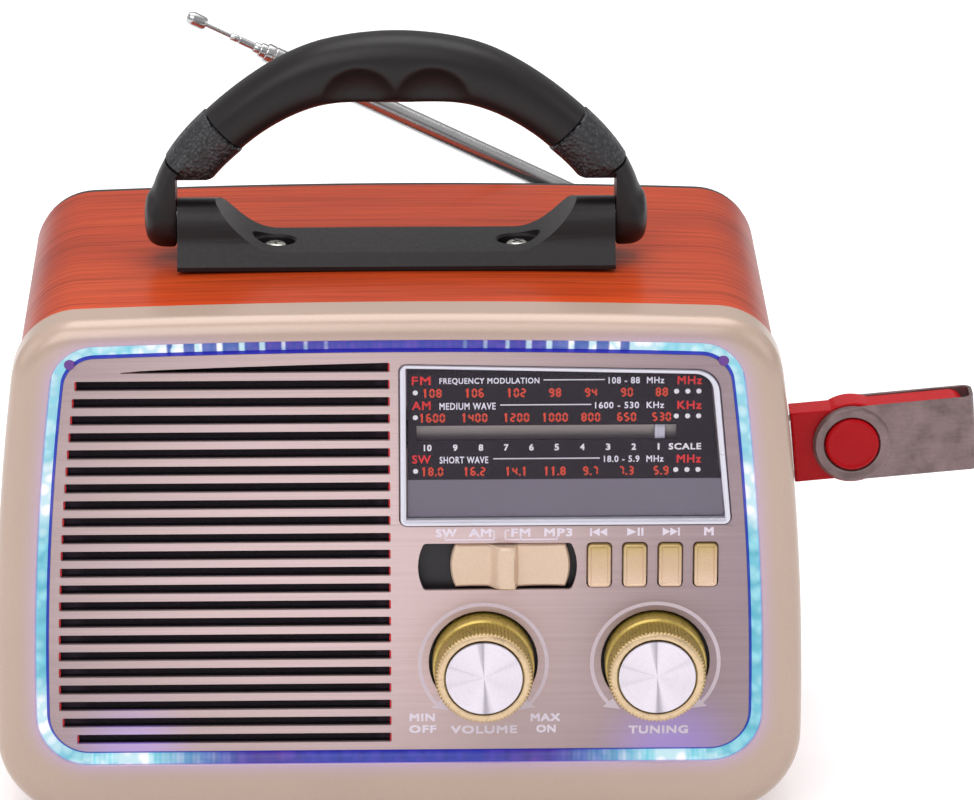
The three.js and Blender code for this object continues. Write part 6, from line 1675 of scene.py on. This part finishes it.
def band_slider(knobs):
    """Two finger pads with a ridge between them, its edges softened, and a stem to the switch."""
    low, high = edges("band_slider")
    centre, half = (low.x + high.x) / 2, (high.x - low.x) / 2
    rise, bow = 4.95, 1.1
    radius = (rise**2 + bow**2) / (2 * bow)
    columns, rows = 72, 20
    edge = 0.45
    form = Form()
    grid = []
    for j in range(rows + 1):
        z = -rise + 2 * rise * j / rows
        reach = half - radius + sqrt(radius**2 - z**2)
        ring = []
        for i in range(columns + 1):
            x = -reach + 2 * reach * i / columns
            off = min(rise - abs(z), reach - abs(x))
            drop = edge * (1 - sqrt(max(0, 1 - (1 - min(off / edge, 1)) ** 2)))
            ring.append((centre + x, behind(slider_front(x, half) + drop), SWITCH_Z - 0.45 + z))
        grid.append(form.ring(ring))
    for near, far in zip(grid, grid[1:]):
        for i in range(columns):
            form.face(near[i], near[i + 1], far[i + 1], far[i])
    border = grid[0] + [row[-1] for row in grid[1:]] + grid[-1][-2::-1] + [row[0] for row in grid[-2:0:-1]]
    back = form.loop([(form.corners[i].x, form.corners[i].z) for i in border], PANEL_BACK - 0.2)
    form.band(border, back)
    form.cap(back)
    form.box(centre - 2, centre + 2, behind(PANEL_BACK - 0.5), high.y, SWITCH_Z - 1.5, SWITCH_Z + 1.5)
    base = Vector(knobs.slider)
    w = Wiring("champagne_paint", base, 0.36, 0.3, specular_ior_level=0.5)
    flakes = w.noise(2400, 2)
    w.paint(w.ramp(flakes, (0.3, base * 0.95), (0.7, base * 1.04)))
    w.bump(flakes, 0.05, 0.00005)
    made("slider_cap", form, "slider", w.material, "band_slider", 34)


def push_keys(knobs):
    base = Vector(knobs.key)
    w = Wiring("key_gold", base, 0.34, 0.35)
    # Painted shading: the keys are paler at their foot and deeper gold at their top.
    rise = w.span(w.axis("Z"), (SWITCH_Z - 5) / 1000, (SWITCH_Z + 5) / 1000, 0, 1)
    tone = w.ramp(rise, (0.0, shade(230, 198, 172)), (0.55, base), (1.0, shade(198, 170, 112)), ease=True)
    flakes = w.noise(2400, 2)
    w.paint(tone, (flakes, (0.3, 0.95), (0.7, 1.04)))
    w.bump(flakes, 0.05, 0.00005)
    profile = [(1.3, 0.34), (0.8, 0.3), (0.62, 0.12), (0.5, 0.02), (0.36, 0), (0.2, 0.04), (0.06, 0.16)]
    profile.append((0, 0.4))
    for node, x in KEYS.items():
        front, back = edges(node)[0].y - FRONT, edges(node)[1].y
        form = Form()
        rings = [form.loop(key_outline(x, inset, 0.9), front + depth) for inset, depth in profile]
        form.solid([*rings, form.loop(key_outline(x, 0, 0.9), 4.6)])
        form.plate(key_outline(x, -0.8), PANEL_BACK + GAP, PANEL_BACK + 1.2)
        form.box(x - 1.3, x + 1.3, behind(4.5), back, SWITCH_Z - 1.3, SWITCH_Z + 1.3)
        body = f"{node[4:]}_key"
        made(f"bar_{node}", form, body, w.material, node, 34)


def well_liners():
    """Black sheets behind the slider and round the knobs' shafts, which hide the baffle."""
    stem = middle("band_slider").x
    way = rectangle(stem - 9.4, stem + 3.1, SWITCH_Z - 1.9, SWITCH_Z + 1.9)
    front, back = 3.62, 3.88
    sheets = Form().plate(bowed_ends(1, SWITCH_Z - 6.8, SWITCH_Z + 6.2), front, back, [way])
    for knob in (KNOB_VOLUME, KNOB_TUNING):
        sheets.plate(circle(knob.x, knob.z, 13.5), front, back, [circle(knob.x, knob.z, 3.6)])
    made("well_liners", sheets, "housing", even("black_liner", shade(26, 22, 28), 0.5))


def turn_mark(x, z):
    """An arc over a knob, with an arrowhead at each of its lower ends."""
    radius, half, steps = 14, 0.42, 48
    low, high = radians(-42), radians(222)

    def on_arc(reach, turn):
        return x + reach * cos(turn), z + reach * sin(turn)

    shapes = []
    for i in range(steps):
        start, end = (low + (high - low) * share / steps for share in (i, i + 1))
        shapes.append(arc((x, z), radius + half, start, end, 1) + arc((x, z), radius - half, end, start, 1))
    for turn, side in ((low, 1), (high, -1)):
        tip = on_arc(radius - 0.6, turn - side * radians(13))
        shapes.append([on_arc(radius + 1.5, turn), tip, on_arc(radius - 1.5, turn)])
    return shapes


WORDS_Z = 66.6
# text, left, right, middle height and height
FACING_WORDS = (
    ("SW", 8.1, 12.7, WORDS_Z, 1.95),
    ("AM", 15.3, 20.2, WORDS_Z, 1.95),
    ("FM", 24.6, 28.8, WORDS_Z, 1.95),
    ("MP3", 31.8, 38.0, WORDS_Z, 1.95),
    ("M", 66.8, 68.9, WORDS_Z, 1.95),
    ("MIN", 2.2, 7.8, 23.2, 1.9),
    ("OFF", 2.1, 8.1, 20.4, 1.9),
    ("VOLUME", 11.1, 26.1, 20.2, 1.95),
    ("MAX", 28.9, 35.5, 23.0, 1.9),
    ("ON", 30.2, 34.5, 20.3, 1.9),
    ("TUNING", 50.6, 63.8, 19.9, 1.95),
)


def switch_marks():
    """Lines under the words over the switch, each with a tick, a short end and a tall end."""
    half, low, high = 0.16, 65, WORDS_Z + 0.6
    marks = []
    for left, right, tick, tall_right in ((9.9, 20.9, 17.7, True), (23.3, 34.8, 26.7, False)):
        tall = right if tall_right else left
        short = left if tall_right else right - 2 * half
        marks += [rectangle(left, right, low - half, low + half), upright(tall, low, high, half)]
        marks += [rectangle(short, short + 2 * half, low, low + 0.6), upright(tick, low, low + 0.6, half)]
        cap = (tall - 0.9, tall) if tall_right else (tall, tall + 0.9)
        marks.append(rectangle(*cap, WORDS_Z + 0.35, WORDS_Z + 0.65))
    return marks


def key_marks():
    """Arrows and bars over the keys: back, play and pause, and on."""
    half = 0.95
    low, high = WORDS_Z - half, WORDS_Z + half
    marks = []
    keys = list(KEYS.values())
    # place, arrows as (tip, tail) and bars as (left, right), from the place on
    for x, arrows, bars in (
        (keys[0] - 0.1, ((-1.5, 0.15), (0.15, 1.8)), ((-1.95, -1.55),)),
        (keys[1], ((0.35, -1.7),), ((0.6, 1.05), (1.4, 1.85))),
        (keys[2] + 0.1, ((-0.15, -1.8), (1.5, -0.15)), ((1.55, 1.95),)),
    ):
        marks += [[(x + tip, WORDS_Z), (x + tail, low), (x + tail, high)] for tip, tail in arrows]
        marks += [rectangle(x + left, x + right, low, high) for left, right in bars]
    return marks


def facing_print():
    """Words and marks printed on the facing, round the switch, keys and knobs."""
    lilac = lit_print("lilac_print", shade(226, 214, 228), 0.14)
    lettering("facing_words", FACING_WORDS, lilac, PANEL_FRONT, 0.11)
    printed("facing_marks", switch_marks() + key_marks(), lilac, PANEL_FRONT)
    faint = lit_print("faint_print", shade(214, 198, 210), 0.1)
    turns = turn_mark(KNOB_VOLUME.x, KNOB_VOLUME.z - 0.4) + turn_mark(KNOB_TUNING.x, KNOB_TUNING.z - 0.4)
    printed("turn_marks", turns, faint, PANEL_FRONT)


class RADIO_OT_switch(Operator):
    """Builds the band slider, the four keys, their surrounds and the print beside them."""

    bl_idname = "radio.switch"
    bl_label = "Switch and keys"

    def execute(self, context):
        knobs = context.scene.radio_knobs
        band_slider(knobs)
        push_keys(knobs)
        well_liners()
        facing_print()
        kept("band_switch", brushed("switch_can", shade(180, 178, 172), 0.35, (60, 60, 900)))
        return {"FINISHED"}


class RADIO_OT_inside(Operator):
    """Finishes the boards and the ferrite rod inside the case."""

    bl_idname = "radio.inside"
    bl_label = "Inside"

    def execute(self, context):
        board = circuit_board()
        kept("key_board", board, 0.1)
        kept("main_board", board, 0.1)
        kept("ferrite_rod", even("sintered_ferrite", shade(52, 48, 46), 0.7, grain=1200, depth=0.3), 0.1)
        return {"FINISHED"}


# ---- handle
BOW_RADIUS = 60
BOW_MIDDLE = edges("handle_bow")[1].z - BOW_RADIUS
BOW_FOOT = asin((PIVOT.z - BOW_MIDDLE) / BOW_RADIUS)
BOW_HALF = 6.8
BASE_END = edges("handle_base")[1].x
BASE_LOW = edges("handle_base")[0].z
BASE_FRONT = PIVOT.y - 13.1
BASE_BACK = PIVOT.y + 7
STRAP = BASE_LOW + 3.7
SCREW_X = 27
SCREW_Y = PIVOT.y - 2
SLEEVE = (radians(30.4), radians(44.2))


def bow_loop(form, handle, turn, inset):
    """The bow's section at an angle round its arc: a flat-sided oval, thicker over the grip."""
    from_foot = min(turn, pi - turn)
    away = min(abs(turn - pi / 2) / radians(44), 1)
    grip_share = 0.5 + 0.5 * cos(away * pi)
    arm, grip = handle.arm * 1000, handle.grip * 1000
    taper = max(0, 1 - (from_foot - BOW_FOOT) / radians(24)) ** 2
    shoulder = max(0, 1 - ((from_foot - radians(50)) / radians(24)) ** 2) ** 2
    thickness = arm + (grip - arm) * grip_share + 0.7 * shoulder
    centre = BOW_RADIUS - 0.3 - 0.8 * grip_share - 1.6 * taper - 1.2 * shoulder - thickness / 2
    sides = 44
    points = []
    for k in range(sides):
        angle = 2 * pi * k / sides
        u, v = (copysign(abs(share) ** 0.8, share) for share in (cos(angle), sin(angle)))
        reach = centre + (thickness / 2 - inset) * u
        aside = (BOW_HALF - inset) * v
        points.append((reach * cos(turn), PIVOT.y + aside, BOW_MIDDLE + reach * sin(turn)))
    return form.ring(points)


def bow_part(handle, start, end, steps, *insets):
    """A stretch of the bow, made thinner all round by the last inset. The others round off its ends."""
    form = Form()
    ends = [(0.3 / BOW_RADIUS * i, inset) for i, inset in enumerate(insets[:-1])]
    run = [(start + (end - start) * i / steps, insets[-1]) for i in range(steps + 1)]
    if ends:
        run = [(start + on, inset) for on, inset in ends] + run[1:-1]
        run += [(end - on, inset) for on, inset in ends[::-1]]
    return form.solid([bow_loop(form, handle, turn, inset) for turn, inset in run])


def sleeve_run(side):
    """Angles round the bow's arc where the sleeve on a side starts and ends."""
    return sorted(turn if side > 0 else pi - turn for turn in SLEEVE)


def across_bar(outline, x0, x1):
    """A bar along X with an outline of (y, z) pairs from the handle's pivot."""
    form = Form()
    return form.solid([form.ring((x, PIVOT.y + y, PIVOT.z + z) for y, z in outline) for x in (x0, x1)])


def pin_hole(side, start, end):
    """What a pin of the handle takes up in the bow or the base."""
    profile = ((0, start), (2.3, start), (2.3, end), (0, end))
    return Form().turned([(r, x * side) for r, x in profile], PIVOT, "x", 24)


def fold_notch(side):
    """What the base sweeps in the bow's arm on a side as the bow folds to the front and the back."""
    reach, flat = 30, 9.9
    front, back = radians(29.5), radians(44)
    front_z, back_z = reach * cos(front), reach * cos(back)
    outline = [(-flat * tan(front), flat), (-reach * sin(front), front_z), (-reach, front_z)]
    outline += [(-reach, -reach), (reach, -reach), (reach, back_z), (reach * sin(back), back_z)]
    outline.append((flat * tan(back), flat))
    return across_bar(outline, *sorted((34 * side, 48.8 * side)))


def handle_bow(handle, black):
    arch = raw_object("handle_grip", bow_part(handle, BOW_FOOT - 0.02, pi - BOW_FOOT + 0.02, 110, 0))
    knuckle = [(0, 48.8), (7, 48.8), (7, 51.2), (6.85, 52.8), (6.3, 54.2), (5.2, 55.2), (3.2, 55.8), (0, 56)]
    turns = [pi * i / 24 for i in range(25)]
    dent = [(9.7 * sin(turn) if 0 < i < 24 else 0, -6.6 * cos(turn)) for i, turn in enumerate(turns)]
    under = BOW_MIDDLE + BOW_RADIUS - 1.1 - handle.grip * 1000
    for side, _ in SIDES:
        dome = Form().turned([(r, x * side) for r, x in knuckle], PIVOT, "x", 48)
        joined(arch, raw_object("knuckle", dome), "UNION")
        carved(arch, Form().turned(dent, (8.1 * side, PIVOT.y - BOW_HALF - 2.8, under + 0.6), "y", 48))
    even_out = arch.modifiers.new("even", "REMESH")
    even_out.mode = "VOXEL"
    even_out.voxel_size = 0.0007
    soften = arch.modifiers.new("soften", "SMOOTH")
    soften.factor = 0.5
    soften.iterations = 7
    worked(arch)
    for side, _ in SIDES:
        carved(arch, fold_notch(side), pin_hole(side, 48, 55))
    for side, _ in SIDES:
        start, end = sleeve_run(side)
        band = raw_object("band", bow_part(handle, start - 0.004, end + 0.004, 10, -3))
        carved(band, bow_part(handle, start - 0.05, end + 0.05, 12, 0.9))
        joined(arch, band, "DIFFERENCE")
    bevelled(arch, 0.3, 2, 42)
    settle(arch, "handle", black, "handle_bow", 50)


def sleeves(handle, leather):
    """Grained bands let into the bow's arms, with rolled ends."""
    for side, name in SIDES:
        start, end = sleeve_run(side)
        band = raw_object(f"sleeve_{name}", bow_part(handle, start, end, 26, 0.5, 0.1, -0.25))
        carved(band, bow_part(handle, start - 0.05, end + 0.05, 12, 1), fold_notch(side))
        settle(band, "handle", leather, f"handle_sleeve_{name}", 40)


def handle_base(handle_black):
    high, inner, steps = BASE_LOW + 14.5, BASE_END - 8, 28
    curve = []
    for i in range(steps + 1):
        sine = sin(pi / 2 * i / steps)
        curve.append((inner - 12.65 * sine - 2.2 * i / steps, STRAP + (high - STRAP) * (1 - sine) ** 2))
    outline = [(-BASE_END, BASE_LOW), (BASE_END, BASE_LOW), (BASE_END, high)] + curve
    outline += [(-x, z) for x, z in reversed(curve)] + [(-BASE_END, high)]
    base = raw_object("handle_bracket", Form().plate(outline, BASE_FRONT - FRONT, BASE_BACK - FRONT))
    side = [(-13.1, -12), (7, -12), (7, -5.2), (6.8, -2), (6.2, 0.4), (4.8, 2.2), (2.5, 3.4), (-0.5, 4.3)]
    side += [(-4, 5), (-5.8, 4.7), (-7.2, 3.9), (-8.3, 2.8), (-9.1, 1.3), (-9.6, -0.4), (-9.85, -2)]
    side += [(-10.3, -3.3), (-11.1, -4.7), (-12.1, -6.3), (-13.1, -8)]
    joined(base, raw_object("envelope", across_bar(side, -BASE_END - 1, BASE_END + 1)), "INTERSECT")
    depths = ((0, STRAP - 2), (0, STRAP - 0.5), (-0.5, STRAP), (-0.5, STRAP + 9))
    for way, _ in SIDES:
        x = SCREW_X * way
        pocket = arc((x + 0.9, SCREW_Y), 3.6, -pi / 2, pi / 2, 16)
        pocket += arc((x - 0.9, SCREW_Y), 3.6, pi / 2, 1.5 * pi, 16)
        cut = Form()
        cut.solid([cut.ring((px, py, z) for px, py in moved_in(pocket, inset)) for inset, z in depths])
        carved(base, cut, pin_hole(way, 41, 49))
    bevelled(base, 0.45, 3, 30)
    settle(base, "housing", handle_black, "handle_base", 35)


def handle_screws(steel):
    seat = STRAP - 2
    head = [(0, -1.2), (1.5, -1.2), (1.5, 0), (2.45, 0), (2.6, 0.15), (2.6, 0.7), (2.45, 1.05), (2.0, 1.35)]
    head = [(radius, seat + rise) for radius, rise in head + [(1.3, 1.52), (0, 1.6)]]
    for way, name in SIDES:
        place = (SCREW_X * way, SCREW_Y, 0)
        screw = raw_object(f"pan_screw_{name}", Form().turned(head, place, "z", 40))
        turn = Matrix.Translation(place) @ Matrix.Rotation(0.5 + way * 0.3, 4, "Z")
        for long, wide in ((1.45, 0.27), (0.27, 1.45)):
            carved(screw, Form().box(-long, long, -wide, wide, seat + 0.75, seat + 3).moved(turn))
        settle(screw, "housing", steel, f"handle_screw_{name}", 30)


class RADIO_OT_handle(Operator):
    """Builds the folding handle: its base, screws, bow and grained sleeves."""

    bl_idname = "radio.handle"
    bl_label = "Handle"

    def execute(self, context):
        handle = context.scene.radio_handle
        black = even("satin_black", handle.black, 0.42, grain=1400, depth=0.12, specular_ior_level=0.34)
        handle_base(black)
        handle_bow(handle, black)
        sleeves(handle, leather_grain(handle.sleeve))
        handle_screws(brushed("screw_steel", (0.62, 0.6, 0.56), 0.24, (900, 900, 900)))
        for node in ("handle_pin_left", "handle_pin_right"):
            kept(node, brushed("pin_steel", (0.6, 0.6, 0.6), 0.3, (60, 900, 900)), 0.1)
        return {"FINISHED"}


# ---- side port and memory stick
STICK_START = 2.0
STICK_LENGTH = 38.2
STICK_END = STICK_START + STICK_LENGTH
STICK_HALF = 3.3
COVER_INSIDE = STICK_HALF + 0.3
COVER_OUTSIDE = STICK_HALF + 1.1
JOINTS = {joint["name"]: joint for joint in frame["record"]["behaviour"]["joints"]}
HUB_AT = port_wall().inverted() @ (Vector(JOINTS["stick_cover_turn"]["pos_m"]) * 1000)
STICK_HUB = HUB_AT.x
STICK_PLACE = port_wall() @ Matrix.Translation((0, 0, HUB_AT.z))


def stick_body(red):
    half, swell = 8.25, 9.35
    lean = acos(half / swell)
    hub = (STICK_HUB, 0)
    soft, bend = 3.4, STICK_END - 2.8
    outline = [(STICK_START, -half)] + arc(hub, swell, -pi / 2 - lean, -pi / 2 + lean, 14)
    outline += arc((bend, soft - half), soft, -pi / 2, 0, 10) + arc((bend, half - soft), soft, 0, pi / 2, 10)
    outline += arc(hub, swell, pi / 2 - lean, pi / 2 + lean, 14) + [(STICK_START, half)]
    form = Form().plate(outline, -STICK_HALF - FRONT, STICK_HALF - FRONT, edge=0.6, steps=4, back_edge=0.3)
    button = [(5.95, 0.15), (5.8, 0.5), (5.35, 0.7), (4.9, 0.62)]
    button += [(4.6, 0.5), (3.4, 0.62), (1.8, 0.7), (0, 0.72)]
    profile = [(0, 3.5), (5.95, 3.5)] + [(radius, COVER_OUTSIDE + rise) for radius, rise in button]
    for way, _ in SIDES:
        form.turned([(r, y * way) for r, y in profile], (STICK_HUB, 0, 0), "y", 64)
    made("stick_case", form.moved(STICK_PLACE), "stick", red, "usb_stick_body", 30)


def stick_plug(steel):
    """Open metal tongue of the stick, which goes into the port."""
    profile = [(-10.4, 2.2, 5.95), (-10.6, 2.1, 5.85), (-10.6, 1.85, 5.6), (-3, 1.85, 5.6)]
    profile.append((STICK_START + 0.6, 2.2, 5.95))
    form = Form()
    *rings, end = (form.ring((x, y, z) for y, z in rounded_box(-w, w, -h, h, 0.3, 3)) for x, w, h in profile)
    form.skin([end, *rings])
    form.cap(rings[-1])
    form.cap(end)
    form.box(-10.2, -2.5, -1.7, -0.2, -5.4, 5.4)
    made("stick_plug", form.moved(STICK_PLACE), "stick", steel)


def stick_cover(steel, dark):
    """Folded steel cover: two leaves with a ring round each hub, a rounded fold and an eyelet."""
    form = Form()
    rise, swell = 8.45, 8.7
    bend = STICK_END + 0.3
    round_off = acos(rise / swell)
    leaf = arc((STICK_HUB, 0), swell, pi / 2 - round_off, 1.5 * pi + round_off, 40)
    leaf += [(bend, -rise), (bend, rise)]
    hole = circle(STICK_HUB, 0, 6.2, 64)
    for near in (-COVER_OUTSIDE, COVER_INSIDE):
        form.plate(leaf, near - FRONT, near + 0.8 - FRONT, [hole], edge=0.12, steps=2)

    inner, outer, steps = 1.5, 2.3, 10
    turns = [pi / 2 * i / steps for i in range(steps + 1)]
    sections = [(-1, -0.02, -1)] + [(-cos(turn), sin(turn), -1) for turn in turns]
    sections += [(sin(turn), cos(turn), 1) for turn in turns] + [(1, -0.02, 1)]
    fold = []
    for aside, on, way in sections:
        middle_y = way * (COVER_OUTSIDE - outer)
        (x0, y0), (x1, y1) = ((bend + on * r, middle_y + aside * r) for r in (inner, outer))
        fold.append(form.ring([(x0, y0, -rise), (x1, y1, -rise), (x1, y1, rise), (x0, y0, rise)]))
    form.solid(fold)

    face = COVER_OUTSIDE
    rim = [(8.6, -0.1), (8.55, 0.25), (8.1, 0.5), (7.5, 0.42), (6.75, 0.2), (6.35, 0.25), (6.25, 0)]
    lip = [(6.25, COVER_INSIDE), (8.1, COVER_INSIDE)] + [(radius, face + rise) for radius, rise in rim]
    for way, _ in SIDES:
        form.turned([(r, y * way) for r, y in lip], (STICK_HUB, 0, 0), "y", 72, closed=True)

    eyelet = []
    for i in range(13):
        turn = -pi / 2 + pi * i / 12
        out = Vector((cos(turn), 0, sin(turn)))
        centre = Vector((bend + outer + 1.45 * out.x, 0, 1.6 * out.z))
        rounds = [pi * k / 6 for k in range(12)]
        eyelet.append(form.ring(centre + out * (0.5 * cos(t)) + Vector((0, 0.5 * sin(t), 0)) for t in rounds))
    form.solid(eyelet)

    form.kind = 1
    for z in (2.9, 0.6, -1.7, -4.1):
        for near in (-face - 0.012, face - 0.1):
            form.box(STICK_HUB + 9.6, bend - 0.2, near, near + 0.112, z - 0.15, z + 0.15)
    form.moved(STICK_PLACE)
    made("swivel_cover", form, "stick_cover", [steel, dark], "usb_stick_cover", 34)


class RADIO_OT_stick(Operator):
    """Finishes the side port, and builds the memory stick and its swivel cover."""

    bl_idname = "radio.stick"
    bl_label = "Port and Stick"

    def execute(self, context):
        stick = context.scene.radio_stick
        red = even("red_case", stick.red, 0.26, grain=500, depth=0.06, vary=0.1, specular_ior_level=0.15)
        steel = worn_steel(stick.steel)
        stick_body(red)
        stick_plug(brushed("plug_steel", (0.7, 0.7, 0.7), 0.25, (60, 900, 900)))
        stick_cover(steel, even("engraving", shade(70, 56, 58), 0.6))
        kept("port_plate", even("cream_surround", stick.cream, 0.36), 0.3)
        kept("usb_socket", brushed("socket_steel", (0.6, 0.6, 0.6), 0.3, (60, 900, 900)), 0.05)
        return {"FINISHED"}


# ---- rear
def grown(low, high, by):
    """A rectangle round two corners, larger all round."""
    return rectangle(low.x - by, high.x + by, low.z - by, high.z + by)


def rear_cover(black):
    cone, socket, aerial = (middle(node) for node in ("speaker_cone", "dc_socket", "antenna_mount"))
    door_low, door_high = edges("battery_door")
    start = DEPTH - REAR_PANEL
    holes = []
    for i in range(5):
        z = cone.z + 6 * i
        holes.append(rounded_box(cone.x - 20, cone.x + 20, z + 6.8, z + 9.2, 1.15, 5))
    holes += [circle(socket.x, 26, 4.3, 40), circle(aerial.x, aerial.z, 1.8, 24)]
    holes.append(grown(door_low, door_high, 0.3))
    form = Form().plate(housing(WOOD_INSET + 0.3), start, DEPTH, holes, back_edge=1.4)
    tongue = WOOD_INSET + WOOD_WALL + GAP
    form.plate(housing(tongue), start - 4, start, [housing(tongue + 1.8)])
    tray_front, wall = DEPTH - 12.4, 1.6
    tray = grown(door_low, door_high, wall - 2)
    form.plate(tray, tray_front, DEPTH - 2.1, [grown(door_low, door_high, -2)])
    form.plate(tray, tray_front - wall, tray_front)
    made("rear_panel", form, "housing", black, "rear_cover", 30)


class RADIO_OT_rear(Operator):
    """Builds the rear panel, and finishes the battery, its door and the power socket."""

    bl_idname = "radio.rear"
    bl_label = "Rear"

    def execute(self, context):
        rear = context.scene.radio_rear
        black = even("grained_black", rear.black, 0.5, grain=2200, depth=0.3, specular_ior_level=0.45)
        rear_cover(black)
        kept("battery_door", black, 0.25)
        kept("battery_pack", even("battery_wrap", rear.battery, 0.35, coat_weight=0.3), 0.5)
        kept("dc_socket", even("socket_black", shade(30, 29, 31), 0.3))
        return {"FINISHED"}


# ---- aerial
AERIAL_WAY = Vector((-0.898794, 0, 0.438371))
AERIAL_PIVOT = Vector((66.5, 57.2, 98))
# radius and bore of each section, from the thickest to the thinnest, which is a solid rod
AERIAL_SECTIONS = ((2.3, 2.0), (1.8, 1.5), (1.3, 1.05), (0.9, 0.65), (0.5, 0))


def on_aerial():
    """Carries what is drawn with +X along the aerial from its swivel to its place."""
    turn = atan2(-AERIAL_WAY.z, AERIAL_WAY.x)
    return Matrix.Translation(AERIAL_PIVOT) @ Matrix.Rotation(turn, 4, "Y")


def aerial_sections(chrome):
    for i, (radius, bore) in enumerate(AERIAL_SECTIONS, 1):
        node = f"antenna_tube_{i}"
        reaches = [(corner.co * 1000 - AERIAL_PIVOT).dot(AERIAL_WAY) for corner in NODES[node].data.vertices]
        start, end = min(reaches), max(reaches)
        form = Form()
        if i == 1:
            start += 3  # before it lies the blade that the swivel holds
            plug = [(0, start - 2), (radius - 0.2, start - 2), (radius, start - 1.8)]
            plug += [(radius, start + 0.6), (0, start + 0.6)]
            form.turned(plug, (0, 0, 0), "x", 36)
            form.box(4.9, start - 1.5, -2, 2, -0.6, 0.6, 0.2)
        if bore:
            slim = radius - 0.12
            tube = [(bore, start), (radius, start), (radius, end - 2.4), (slim, end - 2.2), (slim, end - 1.9)]
            tube += [(radius, end - 1.7), (radius, end - 0.3), (slim, end - 0.05), (bore + 0.05, end)]
            tube.append((bore, end - 0.2))
            form.turned(tube, (0, 0, 0), "x", 36, closed=True)
        else:
            tip = [(0, start), (radius, start), (radius, end - 5), (1.3, end - 4.7), (1.6, end - 4.2)]
            tip += [(1.65, end - 1.6), (1.5, end - 0.8), (1.0, end - 0.15), (0, end)]
            form.turned(tip, (0, 0, 0), "x", 32)
        made(f"aerial_section_{i}", form.moved(on_aerial()), f"aerial_{i}", chrome, node, 30)


class RADIO_OT_aerial(Operator):
    """Builds the telescopic aerial's sections, and finishes its bracket and swivel foot."""

    bl_idname = "radio.aerial"
    bl_label = "Aerial"

    def execute(self, context):
        chrome = brushed("chrome", context.scene.radio_aerial.chrome, 0.24, (90, 90, 90), contrast=0.05)
        aerial_sections(chrome)
        for node in ("antenna_mount", "antenna_knuckle"):
            kept(node, chrome, 0.12)
        return {"FINISHED"}


# ---- the add-on
OPERATORS = (
    RADIO_OT_stage,
    RADIO_OT_case,
    RADIO_OT_ring,
    RADIO_OT_facing,
    RADIO_OT_dial,
    RADIO_OT_mechanism,
    RADIO_OT_knobs,
    RADIO_OT_switch,
    RADIO_OT_inside,
    RADIO_OT_handle,
    RADIO_OT_stick,
    RADIO_OT_rear,
    RADIO_OT_aerial,
)


class RADIO_PT_pieces(bpy.types.Panel):
    """Lists the sizes and colours of the radio's pieces, and the buttons that build them."""

    bl_idname = "RADIO_PT_pieces"
    bl_label = "Tabletop Radio"
    bl_space_type = "VIEW_3D"
    bl_region_type = "UI"
    bl_category = "Radio"

    def draw(self, context):
        for name, group in SETTINGS.items():
            box = self.layout.box()
            for prop in group.__annotations__:
                box.prop(getattr(context.scene, name), prop)
        for operator in OPERATORS:
            self.layout.operator(operator.bl_idname)


def register():
    for name, group in SETTINGS.items():
        bpy.utils.register_class(group)
        setattr(bpy.types.Scene, name, PointerProperty(type=group))
    for item in (*OPERATORS, RADIO_PT_pieces):
        bpy.utils.register_class(item)


def unregister():
    for item in (RADIO_PT_pieces, *reversed(OPERATORS)):
        bpy.utils.unregister_class(item)
    for name, group in SETTINGS.items():
        delattr(bpy.types.Scene, name)
        bpy.utils.unregister_class(group)


def main():
    register()
    for operator in OPERATORS:
        group, name = operator.bl_idname.split(".")
        getattr(getattr(bpy.ops, group), name)()
    sizes = {"cad_box": CAD_BOX, "visual_box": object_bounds()}
    {name: [list(low), list(high)] for name, (low, high) in sizes.items()}


if __name__ == "__main__":
    main()
